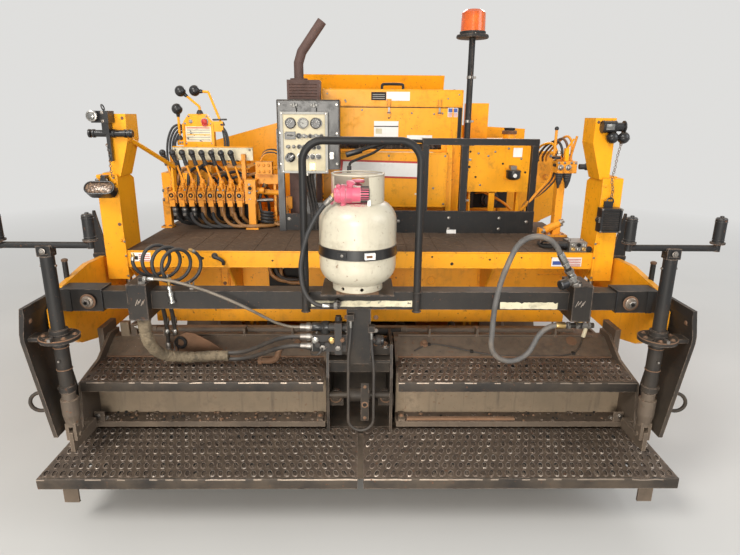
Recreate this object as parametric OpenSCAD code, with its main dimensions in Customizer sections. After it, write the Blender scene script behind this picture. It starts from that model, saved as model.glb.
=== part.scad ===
// Tracked asphalt paver with a low operator deck, a front hopper and a rear screed.
// Modelled with +Y forward and +Z up. Lengths along Y are measured from the walkboards' rear edge,
// and place() then moves the middle of the machine's length to the origin.

/* [Overall] */
// Length from the walkboards' rear edge to the front of the push rollers
overall_length = 3980; // [3940:10:4200]
// Thickness of the frame's side plates
frame_plate = 16; // [10:1:20]
// Thickness of panels, covers and guards
sheet = 6; // [4:1:8]

/* [Tractor] */
// Half the width over the frame's side plates
frame_half_w = 640; // [620:5:650]
// Height of the deck's walking surface
deck_z = 1035; // [1020:5:1060]
// Height of the deck's edge band
deck_edge_h = 78; // [60:2:90]
// Half the width of the deck
deck_half_w = 1105; // [1080:5:1105]
// Distance of the deck's rear edge from the walkboards' rear edge
deck_rear_y = 700; // [690:5:720]
// Distance of the rear bulkhead, which carries the deck
bulkhead_y = 1000; // [995:5:1010]
// Height of the bulkhead's lower edge
bulkhead_z = 573; // [565:2:590]
// Height of the conveyor tunnel's roof
tunnel_z = 640; // [620:5:660]

/* [Tracks] */
// Distance of each track's middle from the machine's middle
track_x = 910; // [890:5:920]
// Width of the track pads
track_w = 340; // [300:10:350]
// Radius of the track over its pads
track_r = 265; // [255:1:270]
// Distance between the sprocket's axle and the idler's
axle_gap = 1450; // [1400:10:1500]
// Distance of the sprocket's axle from the walkboards' rear edge
sprocket_y = 1625; // [1620:5:1640]
// Number of pads on a track
pad_count = 34; // [28:1:38]
// Height of a track pad
pad_h = 30; // [24:1:34]
// Number of rollers on the ground side of a track
roller_count = 5; // [4:1:6]

/* [Hopper] */
// Distance of the hopper's rear wall from the walkboards' rear edge
hopper_y = 2300; // [2290:5:2320]
// Distance from the frame's front end to the front of the push rollers
push_reach = 250; // [240:5:280]
// Distance of a wing's hinge from the machine's middle
wing_hinge_x = 620; // [615:5:635]
// Height of a wing's hinge
wing_hinge_z = 560; // [550:5:575]
// Distance of a lowered wing's outer side from the machine's middle
wing_outer_x = 1480; // [1440:10:1520]
// Height where a lowered wing's floor meets its outer side
wing_floor_z = 960; // [940:10:980]
// Height of a lowered wing's top edge
wing_top_z = 1235; // [1200:5:1250]
// Thickness of the hopper's plates
hopper_plate = 10; // [8:1:12]
// Height of the hopper's rear wall
hopper_wall_z = 1800; // [1760:10:1820]

/* [Tow arms and cross beam] */
// Distance of the arms' pivot from the walkboards' rear edge
arm_pivot_y = 2180; // [2160:5:2200]
// Height of the arms' pivot
arm_pivot_z = 620; // [615:5:630]
// Distance of an arm's inner face from the machine's middle
arm_x = 1215; // [1210:1:1225]
// Thickness of an arm
arm_t = 25; // [20:1:30]
// Size of the square cross beam
beam_size = 76; // [70:1:80]
// Distance of the cross beam's rear face from the walkboards' rear edge
beam_y = 300; // [290:5:310]
// Height of the cross beam's top
beam_top_z = 965; // [955:5:975]

/* [Screed] */
// Height of the screed's sole above the ground with the machine parked
sole_z = 60; // [55:1:70]
// Half the width of the screed
screed_half_w = 1190; // [1170:5:1195]
// Length of a walkboard from rear to front
walk_length = 370; // [350:5:380]
// Height of a walkboard's surface
walk_z = 300; // [290:5:320]
// Height of the upper step's surface
step_z = 570; // [560:5:585]
// Travel of a screed extension
extension_travel = 750; // [600:10:760]
// Radius of an extension's guide tubes
guide_r = 28; // [24:1:32]

/* [Augers and rollers] */
// Radius of an auger's flight
auger_r = 148; // [130:2:150]
// Pitch of an auger's flight
auger_pitch = 300; // [240:10:360]
// Radius of a push roller
push_r = 75; // [60:1:80]

/* [Engine housing] */
// Distance of the housing's left side from the machine's middle
hood_left = -236; // [-240:2:-230]
// Distance of the housing's right side from the machine's middle
hood_right = 600; // [590:2:605]
// Distance of the housing's rear wall from the walkboards' rear edge
hood_y = 1600; // [1590:5:1610]
// Height of the seam between the housing and its lid
hood_seam_z = 1703; // [1690:1:1715]
// Height of the lid's top
hood_top_z = 1800; // [1790:5:1815]

/* [Towers and rails] */
// Width of a tower
tower_w = 91; // [85:1:95]
// Depth of a tower from rear to front
tower_depth = 190; // [180:5:200]
// Height of a tower's channel
tower_z = 1385; // [1375:5:1400]
// Height of a tower's head
tower_top_z = 1650; // [1640:5:1670]
// Size of the handrail's square tube
rail_size = 34; // [30:1:38]
// Height of the handrail
rail_z = 1540; // [1520:5:1560]

/* [Gas cylinder] */
// Radius of the gas cylinder
gas_r = 155; // [150:1:158]
// Height of the gas cylinder without its collar
gas_h = 360; // [340:5:370]

/* [Hidden] */
$fn = 48;
clear = 5;
seat = 0.3;
fit = 0.5;

// Routes of the hoses: across, from the walkboards' rear edge, height
grey_r = 11;
grey_route = [[776, 250, 1140], [758.1, 246.4, 1168], [735, 246, 1192], [705, 245, 1206],
    [672, 244, 1209], [640, 243, 1201], [613, 242, 1182], [594, 241, 1155], [581, 240, 1124],
    [570, 240, 1093], [559, 239, 1061], [550, 238, 1029], [543, 237, 997], [537, 236, 964],
    [532, 235, 931], [530, 234, 898], [528, 233, 865], [528, 233, 832], [528, 235, 798], [528, 238, 765],
    [537, 243, 733], [556, 248, 706], [583, 255, 687], [614, 261, 678], [647, 268, 680], [678, 275, 693],
    [702, 281, 715], [719, 287, 744], [734, 292, 773], [756, 296, 799], [784, 299, 816],
    [816.5, 300, 822], [849.7, 300, 822]];
steel_r = 6;
steel_route = [[-847.7, 270, 1024], [-820.1, 270, 1024], [-793, 269, 1022], [-765, 267, 1019],
    [-738, 265, 1015], [-711, 262, 1009], [-684, 259, 1002], [-658, 257, 995], [-631, 254, 987],
    [-605, 253, 978], [-579, 252, 968], [-554, 252, 957], [-529, 252, 946], [-504, 254, 933],
    [-481, 258, 920], [-458, 262, 906], [-436, 269, 891], [-414, 277, 875], [-393, 286, 859],
    [-372, 296, 843], [-352, 307, 828], [-330, 317, 816], [-308, 325, 806], [-282.9, 330, 800],
    [-255.3, 330, 800]];
wrapped_r = 28;
wrapped_route = [[-889, 300, 853.7], [-889, 300, 819.4], [-890, 306, 787], [-890, 318, 756],
    [-889, 332, 727], [-886, 349, 701], [-880, 366, 678], [-870, 384, 658], [-855, 400, 642],
    [-837, 414, 630], [-814, 426, 621], [-788, 435, 615], [-758, 441, 612], [-726, 445, 612],
    [-693, 447, 613], [-659, 448, 615], [-624.3, 448, 616], [-590, 448, 616]];
black_r = 10;
upper_route = [[-589.7, 446, 632], [-562.1, 446, 632], [-536, 442, 636], [-512, 435, 644],
    [-489, 426, 655], [-466, 414, 668], [-444, 402, 682], [-423, 388, 696], [-401, 375, 711],
    [-379, 362, 724], [-357, 351, 737], [-333, 341, 747], [-309, 334, 754], [-282.9, 330, 758],
    [-255.3, 330, 758]];
lower_route = [[-589.7, 449, 600], [-563.7, 449, 600], [-539, 446, 603], [-516, 440, 609],
    [-494, 431, 617], [-472, 421, 626], [-452, 410, 638], [-431, 397, 650], [-411, 384, 662],
    [-391, 372, 675], [-371, 360, 686], [-350, 349, 697], [-328, 340, 706], [-306, 334, 712],
    [-281.3, 330, 716], [-255.3, 330, 716]];
gas_hose_r = 9;
gas_route = [[-120, 262, 1344], [-140.3, 262, 1324.5], [-159, 261, 1302], [-176, 260, 1276],
    [-191, 259, 1248], [-205, 257, 1219], [-216, 255, 1188], [-225, 253, 1156], [-231, 251, 1124],
    [-236, 249, 1093], [-237, 248, 1062], [-235, 246, 1033], [-231, 244, 1006], [-223, 243, 981],
    [-212, 242, 960], [-196, 241, 943], [-177, 240, 931], [-153.4, 240, 925], [-125.3, 240, 925]];
column_hose_r = 6;
column_route = [[-43, 292, 844.7], [-43, 292, 808], [-45, 291, 772], [-48, 289, 736], [-52, 287, 700],
    [-54, 286, 664], [-54, 286, 628], [-54, 286, 580], [-54, 286, 532], [-54, 286, 484], [-54, 286, 440],
    [-54, 286, 392], [-50, 286, 371], [-38, 286, 354], [-21, 286, 342], [0, 286, 338], [21, 286, 342],
    [38, 286, 354], [50, 286, 371], [54, 286, 392], [54, 286, 440], [54, 286, 486], [54, 286, 532],
    [54, 286, 578], [54, 286, 614], [52, 287, 650], [48, 289, 686], [45, 291, 722], [43, 292, 758],
    [43, 292, 794.7]];
idler_y = sprocket_y + axle_gap;
frame_front_y = overall_length - push_reach;
hopper_length = frame_front_y - 40 - hopper_y;
tower_outer = deck_half_w + tower_w;
deck_under_z = deck_z - deck_edge_h;
tower_inner = deck_half_w + seat;
wing_y0 = hopper_y + 2 * hopper_plate + clear;
wing_y1 = hopper_y + hopper_length;
push_y = overall_length - push_r;
auger_y = bulkhead_y + 150;
auger_z = 380;

module place() translate([0, -overall_length / 2, 0]) children();
module mirrored() mirror([1, 0, 0]) children();
module both_sides() {
    children();
    mirrored() children();
}
// A block between two corners
module slab(x0, x1, y0, y1, z0, z1) translate([x0, y0, z0]) cube([x1 - x0, y1 - y0, z1 - z0]);
module rod_x(x0, x1, y, z, r) translate([x0, y, z]) rotate([0, 90, 0]) cylinder(r = r, h = x1 - x0);
module rod_y(x, y0, y1, z, r) translate([x, y0, z]) rotate([-90, 0, 0]) cylinder(r = r, h = y1 - y0);
module rod_z(x, y, z0, z1, r) translate([x, y, z0]) cylinder(r = r, h = z1 - z0);
// An outline drawn in Y and Z, as thick as x0 to x1
module side_plate(x0, x1, points) {
    translate([x0, 0, 0]) rotate([90, 0, 90]) linear_extrude(x1 - x0) polygon(points);
}
module side_shape(x0, x1) translate([x0, 0, 0]) rotate([90, 0, 90]) linear_extrude(x1 - x0) children();
// An outline drawn in X and Z, as thick as y0 to y1
module cross_plate(y0, y1, points) {
    translate([0, y1, 0]) rotate([90, 0, 0]) linear_extrude(y1 - y0) polygon(points);
}
// A quarter bend of round tube in the X and Z plane: from straight up at [0, 0, 0] to level along +X
module bend_xz(bend_r, r, angle = 90) {
    translate([bend_r, 0, 0]) rotate([90, 0, 0]) rotate([0, 0, 180 - angle])
        rotate_extrude(angle = angle) translate([bend_r, 0]) circle(r = r, $fn = 32);
}

// Tracks

function pitch_length() = 2 * axle_gap + 2 * PI * track_r;
// Place and turn of a point that lies s along the loop, starting below the sprocket
function loop_place(s, y0, gap, z, r) =
    s < gap ? [y0 + s, z - r, 180] :
    s < gap + PI * r ? [y0 + gap + r * sin((s - gap) / r * 180 / PI),
                        z - r * cos((s - gap) / r * 180 / PI), 180 + (s - gap) / r * 180 / PI] :
    s < 2 * gap + PI * r ? [y0 + 2 * gap + PI * r - s, z + r, 0] :
    [y0 - r * sin((s - 2 * gap - PI * r) / r * 180 / PI),
     z + r * cos((s - 2 * gap - PI * r) / r * 180 / PI), (s - 2 * gap - PI * r) / r * 180 / PI];
module loop_outline(y0, gap, z, r) {
    for (y = [y0, y0 + gap]) translate([y, z]) circle(r = r, $fn = 96);
    translate([y0, z - r]) square([gap, 2 * r]);
}
module loop_band(y0, gap, z, r_in, r_out) {
    difference() {
        loop_outline(y0, gap, z, r_out);
        loop_outline(y0, gap, z, r_in);
    }
}
// Blocks round a loop, wider at their foot than at their tip
module loop_blocks(y0, gap, z, r_foot, r_tip, count, foot, tip) {
    length = 2 * gap + 2 * PI * r_foot;
    for (i = [0 : count - 1]) {
        p = loop_place((i + 0.25) * length / count, y0, gap, z, r_foot);
        translate([p[0], p[1]]) rotate(p[2]) polygon([
            [-foot / 2, -2], [foot / 2, -2], [tip / 2, r_tip - r_foot], [-tip / 2, r_tip - r_foot]]);
    }
}
chain_in = track_r - pad_h - 35;
belt_in = track_r - pad_h - 8;
belt_out = track_r - pad_h;
rail_in = 32;
rail_out = 60;
module track() {
    color("dimgray") {
        side_shape(track_x - track_w / 2, track_x + track_w / 2) {
            loop_band(sprocket_y, axle_gap, track_r, belt_in, belt_out);
            loop_blocks(sprocket_y, axle_gap, track_r, belt_out, track_r, pad_count,
                0.86 * (2 * axle_gap + 2 * PI * belt_out) / pad_count, 0.7 * pitch_length() / pad_count);
        }
        for (side = [-1, 1]) side_shape(track_x + (side < 0 ? -rail_out : rail_in),
                                        track_x + (side < 0 ? -rail_in : rail_out))
            loop_band(sprocket_y, axle_gap, track_r, chain_in, belt_in + 1);
    }
}
beam_in = 76;
beam_out = 90;
track_roller_r = 52;
carrier_r = 36;
carrier_y = sprocket_y + axle_gap / 2;
module track_frame() {
    color("orange") difference() {
        union() {
            for (side = [-1, 1]) {
                x0 = track_x + (side < 0 ? -beam_out : beam_in);
                side_plate(x0, x0 + beam_out - beam_in, [
                    [sprocket_y - 60, track_r - 60], [sprocket_y + 150, 95], [idler_y - 150, 95],
                    [idler_y + 60, track_r - 60], [idler_y + 60, track_r + 60], [idler_y - 200, track_r + 70],
                    [carrier_y + 90, track_r + 70], [carrier_y + 40, track_r + 185],
                    [carrier_y - 40, track_r + 185], [carrier_y - 90, track_r + 70],
                    [sprocket_y + 200, track_r + 70], [sprocket_y - 60, track_r + 60]]);
            }
            slab(track_x - beam_in, track_x + beam_in, sprocket_y + 260, idler_y - 260,
                track_r + 58, track_r + 70);
            for (y = [sprocket_y + 330, idler_y - 330])
                rod_x(frame_half_w, track_x - beam_out, y, track_r + 10, 48);
        }
        rod_x(track_x - beam_out - 1, track_x + beam_out + 1, sprocket_y, track_r, 62);
        translate([0, idler_y - 30, 0]) slab(track_x - beam_out - 1, track_x + beam_out + 1, -35, 65,
            track_r - 26, track_r + 26);
    }
}
module toothed_disc(x0, x1, y, r_root, r_tip, teeth) {
    side_shape(x0, x1) translate([y, track_r]) {
        circle(r = r_root);
        for (i = [0 : teeth - 1]) rotate(i * 360 / teeth) polygon([
            [r_root - 4, -20], [r_tip, -8], [r_tip, 8], [r_root - 4, 20]]);
    }
}
module track_wheels() {
    color("gray") {
        drum_r = chain_in - seat;
        toothed_disc(track_x - 24, track_x + 24, sprocket_y, drum_r - 8, belt_in - 4, 13);
        rod_x(track_x - rail_out, track_x + rail_out, sprocket_y, track_r, drum_r - 40);
        rod_x(track_x - beam_out - 30, track_x + beam_out + 26, sprocket_y, track_r, 60);
        for (side = [-1, 1]) rod_x(track_x + (side < 0 ? -rail_out : rail_in), track_x +
            (side < 0 ? -rail_in : rail_out), sprocket_y, track_r, drum_r);
        rod_x(track_x - rail_out, track_x + rail_out, idler_y, track_r, drum_r);
        rod_x(track_x - 24, track_x + 24, idler_y, track_r, drum_r + 14);
        rod_x(track_x - beam_out - 10, track_x + beam_out + 10, idler_y, track_r, 25);
        for (i = [0 : roller_count - 1]) {
            y = sprocket_y + 235 + i * (axle_gap - 470) / (roller_count - 1);
            z = track_r - chain_in + track_roller_r + seat;
            rod_x(track_x - rail_out, track_x + rail_out, y, z, track_roller_r);
            rod_x(track_x - beam_in + seat, track_x + beam_in - seat, y, z, 20);
        }
        rod_x(track_x - rail_out, track_x + rail_out, carrier_y, track_r + chain_in - carrier_r - seat,
            carrier_r);
        rod_x(track_x - beam_in + seat, track_x + beam_in - seat, carrier_y,
            track_r + chain_in - carrier_r - seat, 16);
    }
}

// Tractor

tunnel_rear_y = 1345;
floor_z = 322;
floor_t = 12;
chain_y0 = tunnel_rear_y + 80;
chain_y1 = frame_front_y - 130;
// Places of the tie-down eyes: distance along the machine, height
eyes = [[frame_front_y - 50, 430]];
eye_r = 20;
module main_frame() {
    color("orange") {
        both_sides() difference() {
            side_plate(frame_half_w - frame_plate, frame_half_w, [
                [bulkhead_y, bulkhead_z], [tunnel_rear_y - 20, bulkhead_z], [tunnel_rear_y, 222],
                [frame_front_y - 60, 222], [frame_front_y, 350], [frame_front_y, 520],
                [hopper_y, 520], [hopper_y, deck_under_z], [bulkhead_y, deck_under_z]]);
            for (p = eyes) rod_x(frame_half_w - frame_plate - 1, frame_half_w + 1, p[0], p[1], eye_r);
        }
        // Rear bulkhead with its end gussets and the ribs that carry the deck's overhang
        difference() {
            slab(-deck_half_w, deck_half_w, bulkhead_y, bulkhead_y + 10, bulkhead_z, deck_under_z);
            slab(-345, -225, bulkhead_y - 1, bulkhead_y + 11, 880, 925);
        }
        slab(-frame_half_w + frame_plate, frame_half_w - frame_plate, bulkhead_y + 10,
            tunnel_rear_y, bulkhead_z, bulkhead_z + 10);
        both_sides() for (x = [120, frame_half_w - 10, deck_half_w - 10]) side_plate(x, x + 10, [
            [bulkhead_y, 720], [bulkhead_y, deck_under_z], [deck_rear_y + 20, deck_under_z],
            [deck_rear_y + 20, deck_under_z - 14], [bulkhead_y - 30, 720]]);
        // Tunnel roof and conveyor floor
        slab(-frame_half_w + frame_plate, frame_half_w - frame_plate, tunnel_rear_y - 60, hopper_y,
            tunnel_z, tunnel_z + 10);
        slab(-frame_half_w + frame_plate, frame_half_w - frame_plate, chain_y0 + 29 + clear,
            chain_y1 - 29 - clear, floor_z, floor_z + floor_t);
        slab(-frame_half_w + frame_plate, frame_half_w - frame_plate, frame_front_y - 14,
            frame_front_y, 352, 510);
        slab(-12, 12, tunnel_rear_y + 60, hopper_y, floor_z + floor_t, tunnel_z);
        // Tow beam across the machine with the arms' pins
        rod_x(-arm_x + seat, arm_x - seat, arm_pivot_y, arm_pivot_z, 40);
        both_sides() rod_x(arm_x - seat - 1, arm_x + arm_t + 4, arm_pivot_y, arm_pivot_z, 25);
        both_sides() rod_x(arm_x + arm_t + 1, arm_x + arm_t + 9, arm_pivot_y, arm_pivot_z, 42);
    }
    side_decks();
}
module deck() {
    color("saddlebrown") difference() {
        slab(-deck_half_w, deck_half_w, deck_rear_y, hood_y - 100, deck_under_z, deck_z);
        slab(-deck_half_w + 8, deck_half_w - 8, deck_rear_y + 8, hood_y - 108, deck_under_z - 1,
            deck_z - 8);
    }
}
fender_z = 1000;
module side_decks() {
    color("orange") difference() {
        slab(-frame_half_w, frame_half_w, hood_y - 100 + seat, hopper_y, deck_under_z, deck_under_z + 8);
        slab(hood_left - 4, hood_right + 4, hood_y - 4, hood_front_y + 4, deck_under_z, deck_under_z + 9);
    }
    color("orange") both_sides() difference() {
        side_plate(frame_half_w, deck_half_w, [
            [hood_y - 100 + seat, deck_under_z - 120], [hopper_y - 90, deck_under_z - 120],
            [hopper_y - 60, deck_under_z - 60], [hopper_y - 60, fender_z], [hood_y - 100 + seat, fender_z]]);
        side_plate(frame_half_w + 8, deck_half_w - 8, [
            [hood_y - 92, deck_under_z - 121], [hopper_y - 98, deck_under_z - 121],
            [hopper_y - 68, deck_under_z - 58], [hopper_y - 68, fender_z - 8], [hood_y - 92, fender_z - 8]]);
    }
}
// Corner post: an open channel with a narrower head, made for the right side
cylinder_x = (tower_outer + deck_half_w) / 2;
barrel_y = deck_rear_y + 110;
barrel_z = 1325;
module tower() {
    color("orange") {
        y1 = deck_rear_y + tower_depth;
        difference() {
            side_plate(tower_inner, tower_outer, [[deck_rear_y, deck_under_z - 60],
                [deck_rear_y + 60, deck_under_z - 60], [y1, deck_under_z], [y1, tower_z - 30],
                [y1 - 60, tower_z], [deck_rear_y, tower_z]]);
            slab(tower_inner + 8, tower_outer - 8, deck_rear_y + 8, y1 + 1, deck_under_z - 80, tower_z - 8);
            slab(tower_outer - 9, tower_outer + 1, barrel_y - 48, y1 + 1, deck_under_z - 80, rod_eye_z + 190);
        }
        rod_x(tower_inner + 8, tower_outer - 8, barrel_y, barrel_z, 12);
        // Foot flange on the deck's end
        side_plate(tower_inner - 8 - seat, tower_inner + 1, [[deck_rear_y - 8, deck_under_z - 60],
            [deck_rear_y - seat, deck_under_z - 60], [deck_rear_y - seat, deck_z + 60],
            [deck_rear_y - 8, deck_z + 60]]);
        // Head with a sloped side
        head_x = tower_inner - 60;
        difference() {
            cross_plate(deck_rear_y + 20, y1 - 40, [
                [tower_inner - 10, tower_z - 8], [tower_inner + 34, tower_z - 8], [tower_inner + 34,
                    tower_top_z],
                [head_x, tower_top_z], [head_x, tower_top_z - 110],
                [tower_inner - 25, tower_z + 40]]);
            cross_plate(deck_rear_y + 28, y1 - 39, [
                [tower_inner - 2, tower_z - 9], [tower_inner + 26, tower_z - 9],
                [tower_inner + 26, tower_top_z - 8], [head_x + 8, tower_top_z - 8],
                [head_x + 8, tower_top_z - 106], [tower_inner - 17, tower_z + 36]]);
        }
    }
}
// Work lamp and cable head on the left tower, drawn on the right
module lamp_left() {
    color("black") {
        lamp_z = 1325;
        translate([(tower_inner + tower_outer) / 2 + 12, deck_rear_y - 44, lamp_z]) rotate([-32, 0, 0]) {
            difference() {
                translate([0, 22, 0]) rotate([90, 0, 0]) linear_extrude(44) {
                    for (side = [-1, 1]) translate([side * 36, 0]) circle(r = 31);
                    square([72, 62], center = true);
                }
                translate([0, -16, 0]) rotate([90, 0, 0]) linear_extrude(8) {
                    for (side = [-1, 1]) translate([side * 36, 0]) circle(r = 26);
                    square([72, 52], center = true);
                }
            }
            for (i = [-3 : 3]) translate([i * 16 - 3, 20, -24]) cube([6, 14, 48]);
        }
        slab((tower_inner + tower_outer) / 2 - 10, (tower_inner + tower_outer) / 2 + 10, deck_rear_y - 40,
            deck_rear_y - seat, lamp_z + 10, lamp_z + 60);
        // Cable head above the lamp
        z0 = tower_top_z - 84;
        rod_x(tower_inner - 92, tower_outer - 14, deck_rear_y + 4, z0, 15);
        rod_y(tower_inner + 12, deck_rear_y - 20, deck_rear_y + 20 - seat, z0 + 70, 20);
        slab(tower_inner - 12, tower_inner + 62, deck_rear_y - 46, deck_rear_y + 20 - seat, z0 + 46, z0 + 96);
        rod_y(tower_inner + 44, deck_rear_y - 74, deck_rear_y - 40, z0 + 74, 21);
        slab(tower_inner, tower_inner + 30, deck_rear_y - 22, deck_rear_y + 12, z0, z0 + 50);
        slab(tower_inner + 4, tower_inner + 20, deck_rear_y - 12, deck_rear_y + 6, z0 - 120, z0);
    }
}
// Floodlight and warning horns on the right tower
module lamp_right() {
    color("black") {
        lamp_z = 1200;
        x0 = tower_inner - 15;
        difference() {
            slab(x0, x0 + 95, deck_rear_y - 62, deck_rear_y - 8, lamp_z - 55, lamp_z + 55);
            slab(x0 + 8, x0 + 87, deck_rear_y - 63, deck_rear_y - 54, lamp_z - 47, lamp_z + 47);
        }
        for (i = [0 : 4]) slab(x0 + 7 + i * 19, x0 + 12 + i * 19, deck_rear_y - 9, deck_rear_y - seat,
            lamp_z - 50, lamp_z + 50);
        slab(x0 + 20, x0 + 60, deck_rear_y - 30, deck_rear_y - 20, lamp_z + 54, lamp_z + 84);
        for (x = [tower_inner + 12, tower_inner + 62]) {
            translate([x, deck_rear_y - 8, 1566]) sphere(r = 25);
            rod_y(x, deck_rear_y - 8, deck_rear_y + 20 - seat, 1566, 9);
        }
        rod_x(tower_inner + 12, tower_inner + 62, deck_rear_y - 8, 1566, 7);
        rod_x(tower_inner - 40, tower_inner + 20, deck_rear_y - 6.3, 1612, 26);
        rod_x(tower_inner + 20, tower_inner + 60, deck_rear_y - 6.3, 1612, 19);
    }
}
module tower_lamps() {
    mirrored() lamp_left();
    lamp_right();
}
module lift_barrel() {
    color("black") difference() {
        union() {
            rod_z(cylinder_x, barrel_y, 1040, 1305, 28);
            rod_x(cylinder_x - 20, cylinder_x + 20, barrel_y, barrel_z, 26);
        }
        rod_z(cylinder_x, barrel_y, 1039, 1296, 15 + fit);
        rod_x(cylinder_x - 21, cylinder_x + 21, barrel_y, barrel_z, 12 + fit);
    }
}
rod_eye_z = 800;
module lift_rod() {
    color("silver") difference() {
        union() {
            rod_z(cylinder_x, barrel_y, rod_eye_z + 20, 1090, 15);
            rod_x(cylinder_x - 16, cylinder_x + 16, barrel_y, rod_eye_z, 32);
        }
        rod_x(cylinder_x - 17, cylinder_x + 17, barrel_y, rod_eye_z, 22);
    }
}
module hopper_bed() {
    color("orange") {
        slope_x = 380;
        in_x = frame_half_w - frame_plate - seat;
        // Rear wall with shoulders that fall to the sides, and the mouths of the two conveyors
        difference() {
            cross_plate(hopper_y + seat, hopper_y + hopper_plate, [
                [-1180, deck_under_z], [-1180, 1440], [-600, 1600], [-420, 1610], [-420, hopper_wall_z],
                [575, hopper_wall_z], [575, 1600], [1180, 1570], [1180, deck_under_z],
                [in_x, 700], [in_x, floor_z + floor_t + seat], [-in_x, floor_z + floor_t + seat],
                [-in_x, 700]]);
            both_sides() slab(20, slope_x, hopper_y - 1, hopper_y + hopper_plate + 1, 300, 600);
        }
        // Flared apron on the rear wall
        side_plate(-420, 575, [[hopper_y + hopper_plate, hopper_wall_z], [hopper_y + seat, hopper_wall_z],
            [hopper_y - 42, 1925], [hopper_y - 34, 1925]]);
        // Sloped cheeks between the conveyors and the wings, with the hinge knuckles
        both_sides() {
            difference() {
                cross_plate(hopper_y + hopper_plate - 1, wing_y1, [
                    [slope_x, floor_z + floor_t + seat], [slope_x + 12, floor_z + floor_t + seat],
                    [wing_hinge_x - 22, wing_hinge_z - 12], [wing_hinge_x - 22, wing_hinge_z],
                    [wing_hinge_x - 30, wing_hinge_z + 4], [slope_x, 380]]);
                rod_x(slope_x - 1, frame_half_w, chain_y1, floor_z + floor_t / 2, 16 + fit);
            }
            for (i = [0 : 2 : 8]) {
                y0 = wing_y0 + 10 + i * (wing_y1 - wing_y0 - 40) / 9;
                rod_y(wing_hinge_x, y0, y0 + (wing_y1 - wing_y0 - 40) / 9 - 4, wing_hinge_z, 22);
            }
            rod_y(wing_hinge_x, wing_y0 + 5, wing_y1 - 5, wing_hinge_z, 11);
            slab(in_x - 34, in_x, hopper_y + hopper_plate - 1, frame_front_y - 40, 440, wing_hinge_z - 24);
        }
        slab(-20, 20, hopper_y + hopper_plate - 1, wing_y1 + 7, floor_z + floor_t + seat, 400);
    }
    color("black") slab(-560, 560, wing_y1 + 6, wing_y1 + 16, floor_z + floor_t + 8, 620);
}
// Hopper wing for the right side, lowered
module wing() {
    color("orange") difference() {
        union() {
            // Floor and outer side
            cross_plate(wing_y0, wing_y1, [
                [wing_hinge_x + 30, wing_hinge_z + 8], [wing_outer_x - 14, wing_floor_z + 2],
                [wing_outer_x - hopper_plate, wing_floor_z + 20], [wing_outer_x - hopper_plate, wing_top_z],
                [wing_outer_x, wing_top_z], [wing_outer_x, wing_floor_z + 6],
                [wing_outer_x - 8, wing_floor_z - 8], [wing_hinge_x + 30, wing_hinge_z - 4]]);
            // Rear wall
            cross_plate(wing_y0, wing_y0 + hopper_plate, [
                [wing_hinge_x + 30, wing_hinge_z], [wing_outer_x - 4, wing_floor_z],
                [wing_outer_x - 4, wing_top_z], [wing_hinge_x + 120, wing_top_z],
                [wing_hinge_x + 30, wing_hinge_z + 240]]);
            // Ribs under the floor
            for (i = [0 : 2]) cross_plate(wing_y0 + 180 + i * 480, wing_y0 + 192 + i * 480, [
                [wing_hinge_x + 60, wing_hinge_z + 8], [wing_outer_x - 30, wing_floor_z - 14],
                [wing_outer_x - 60, wing_floor_z - 100], [wing_hinge_x + 140, wing_hinge_z + 4]]);
            for (i = [1 : 2 : 8]) {
                y0 = wing_y0 + 10 + i * (wing_y1 - wing_y0 - 40) / 9;
                y1 = y0 + (wing_y1 - wing_y0 - 40) / 9 - 4;
                rod_y(wing_hinge_x, y0, y1, wing_hinge_z, 22);
                slab(wing_hinge_x + 12, wing_hinge_x + 40, y0, y1, wing_hinge_z - 8, wing_hinge_z + 8);
            }
        }
        rod_y(wing_hinge_x, wing_y0 - 1, wing_y1 + 1, wing_hinge_z, 11 + fit);
    }
}
flight_h = 20;
module conveyors() {
    color("dimgray") both_sides() {
        y0 = chain_y0;
        gap = chain_y1 - chain_y0;
        side_shape(40, 350) {
            loop_band(y0, gap, floor_z + floor_t / 2, 30, 36);
            loop_blocks(y0, gap, floor_z + floor_t / 2, 36, 36 + flight_h, 32, 26, 18);
        }
        for (y = [y0, y0 + gap]) rod_x(36, 354, y, floor_z + floor_t / 2, 29);
        for (y = [y0, y0 + gap]) rod_x(21, frame_half_w - frame_plate - seat, y, floor_z + floor_t / 2, 16);
    }
}
push_z = 430;
module push_beam() {
    color("dimgray") {
        beam_x = frame_half_w - 30;
        slab(-beam_x, beam_x, frame_front_y + seat, frame_front_y + 60, push_z - 70, push_z + 70);
        for (x = [-545, -35, 475]) slab(x, x + 70, frame_front_y + 60, push_y + 30, push_z - 35, push_z + 35);
        both_sides() slab(frame_half_w - 90, frame_half_w - 40, frame_front_y + 60, frame_front_y + 100,
            push_z - 50, push_z + 50);
    }
}
module push_roller() {
    color("silver") {
        rod_x(45, 465, push_y, push_z, push_r);
        rod_x(35 + seat, 475 - seat, push_y, push_z, 22);
    }
}

// Power pack and tanks

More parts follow.
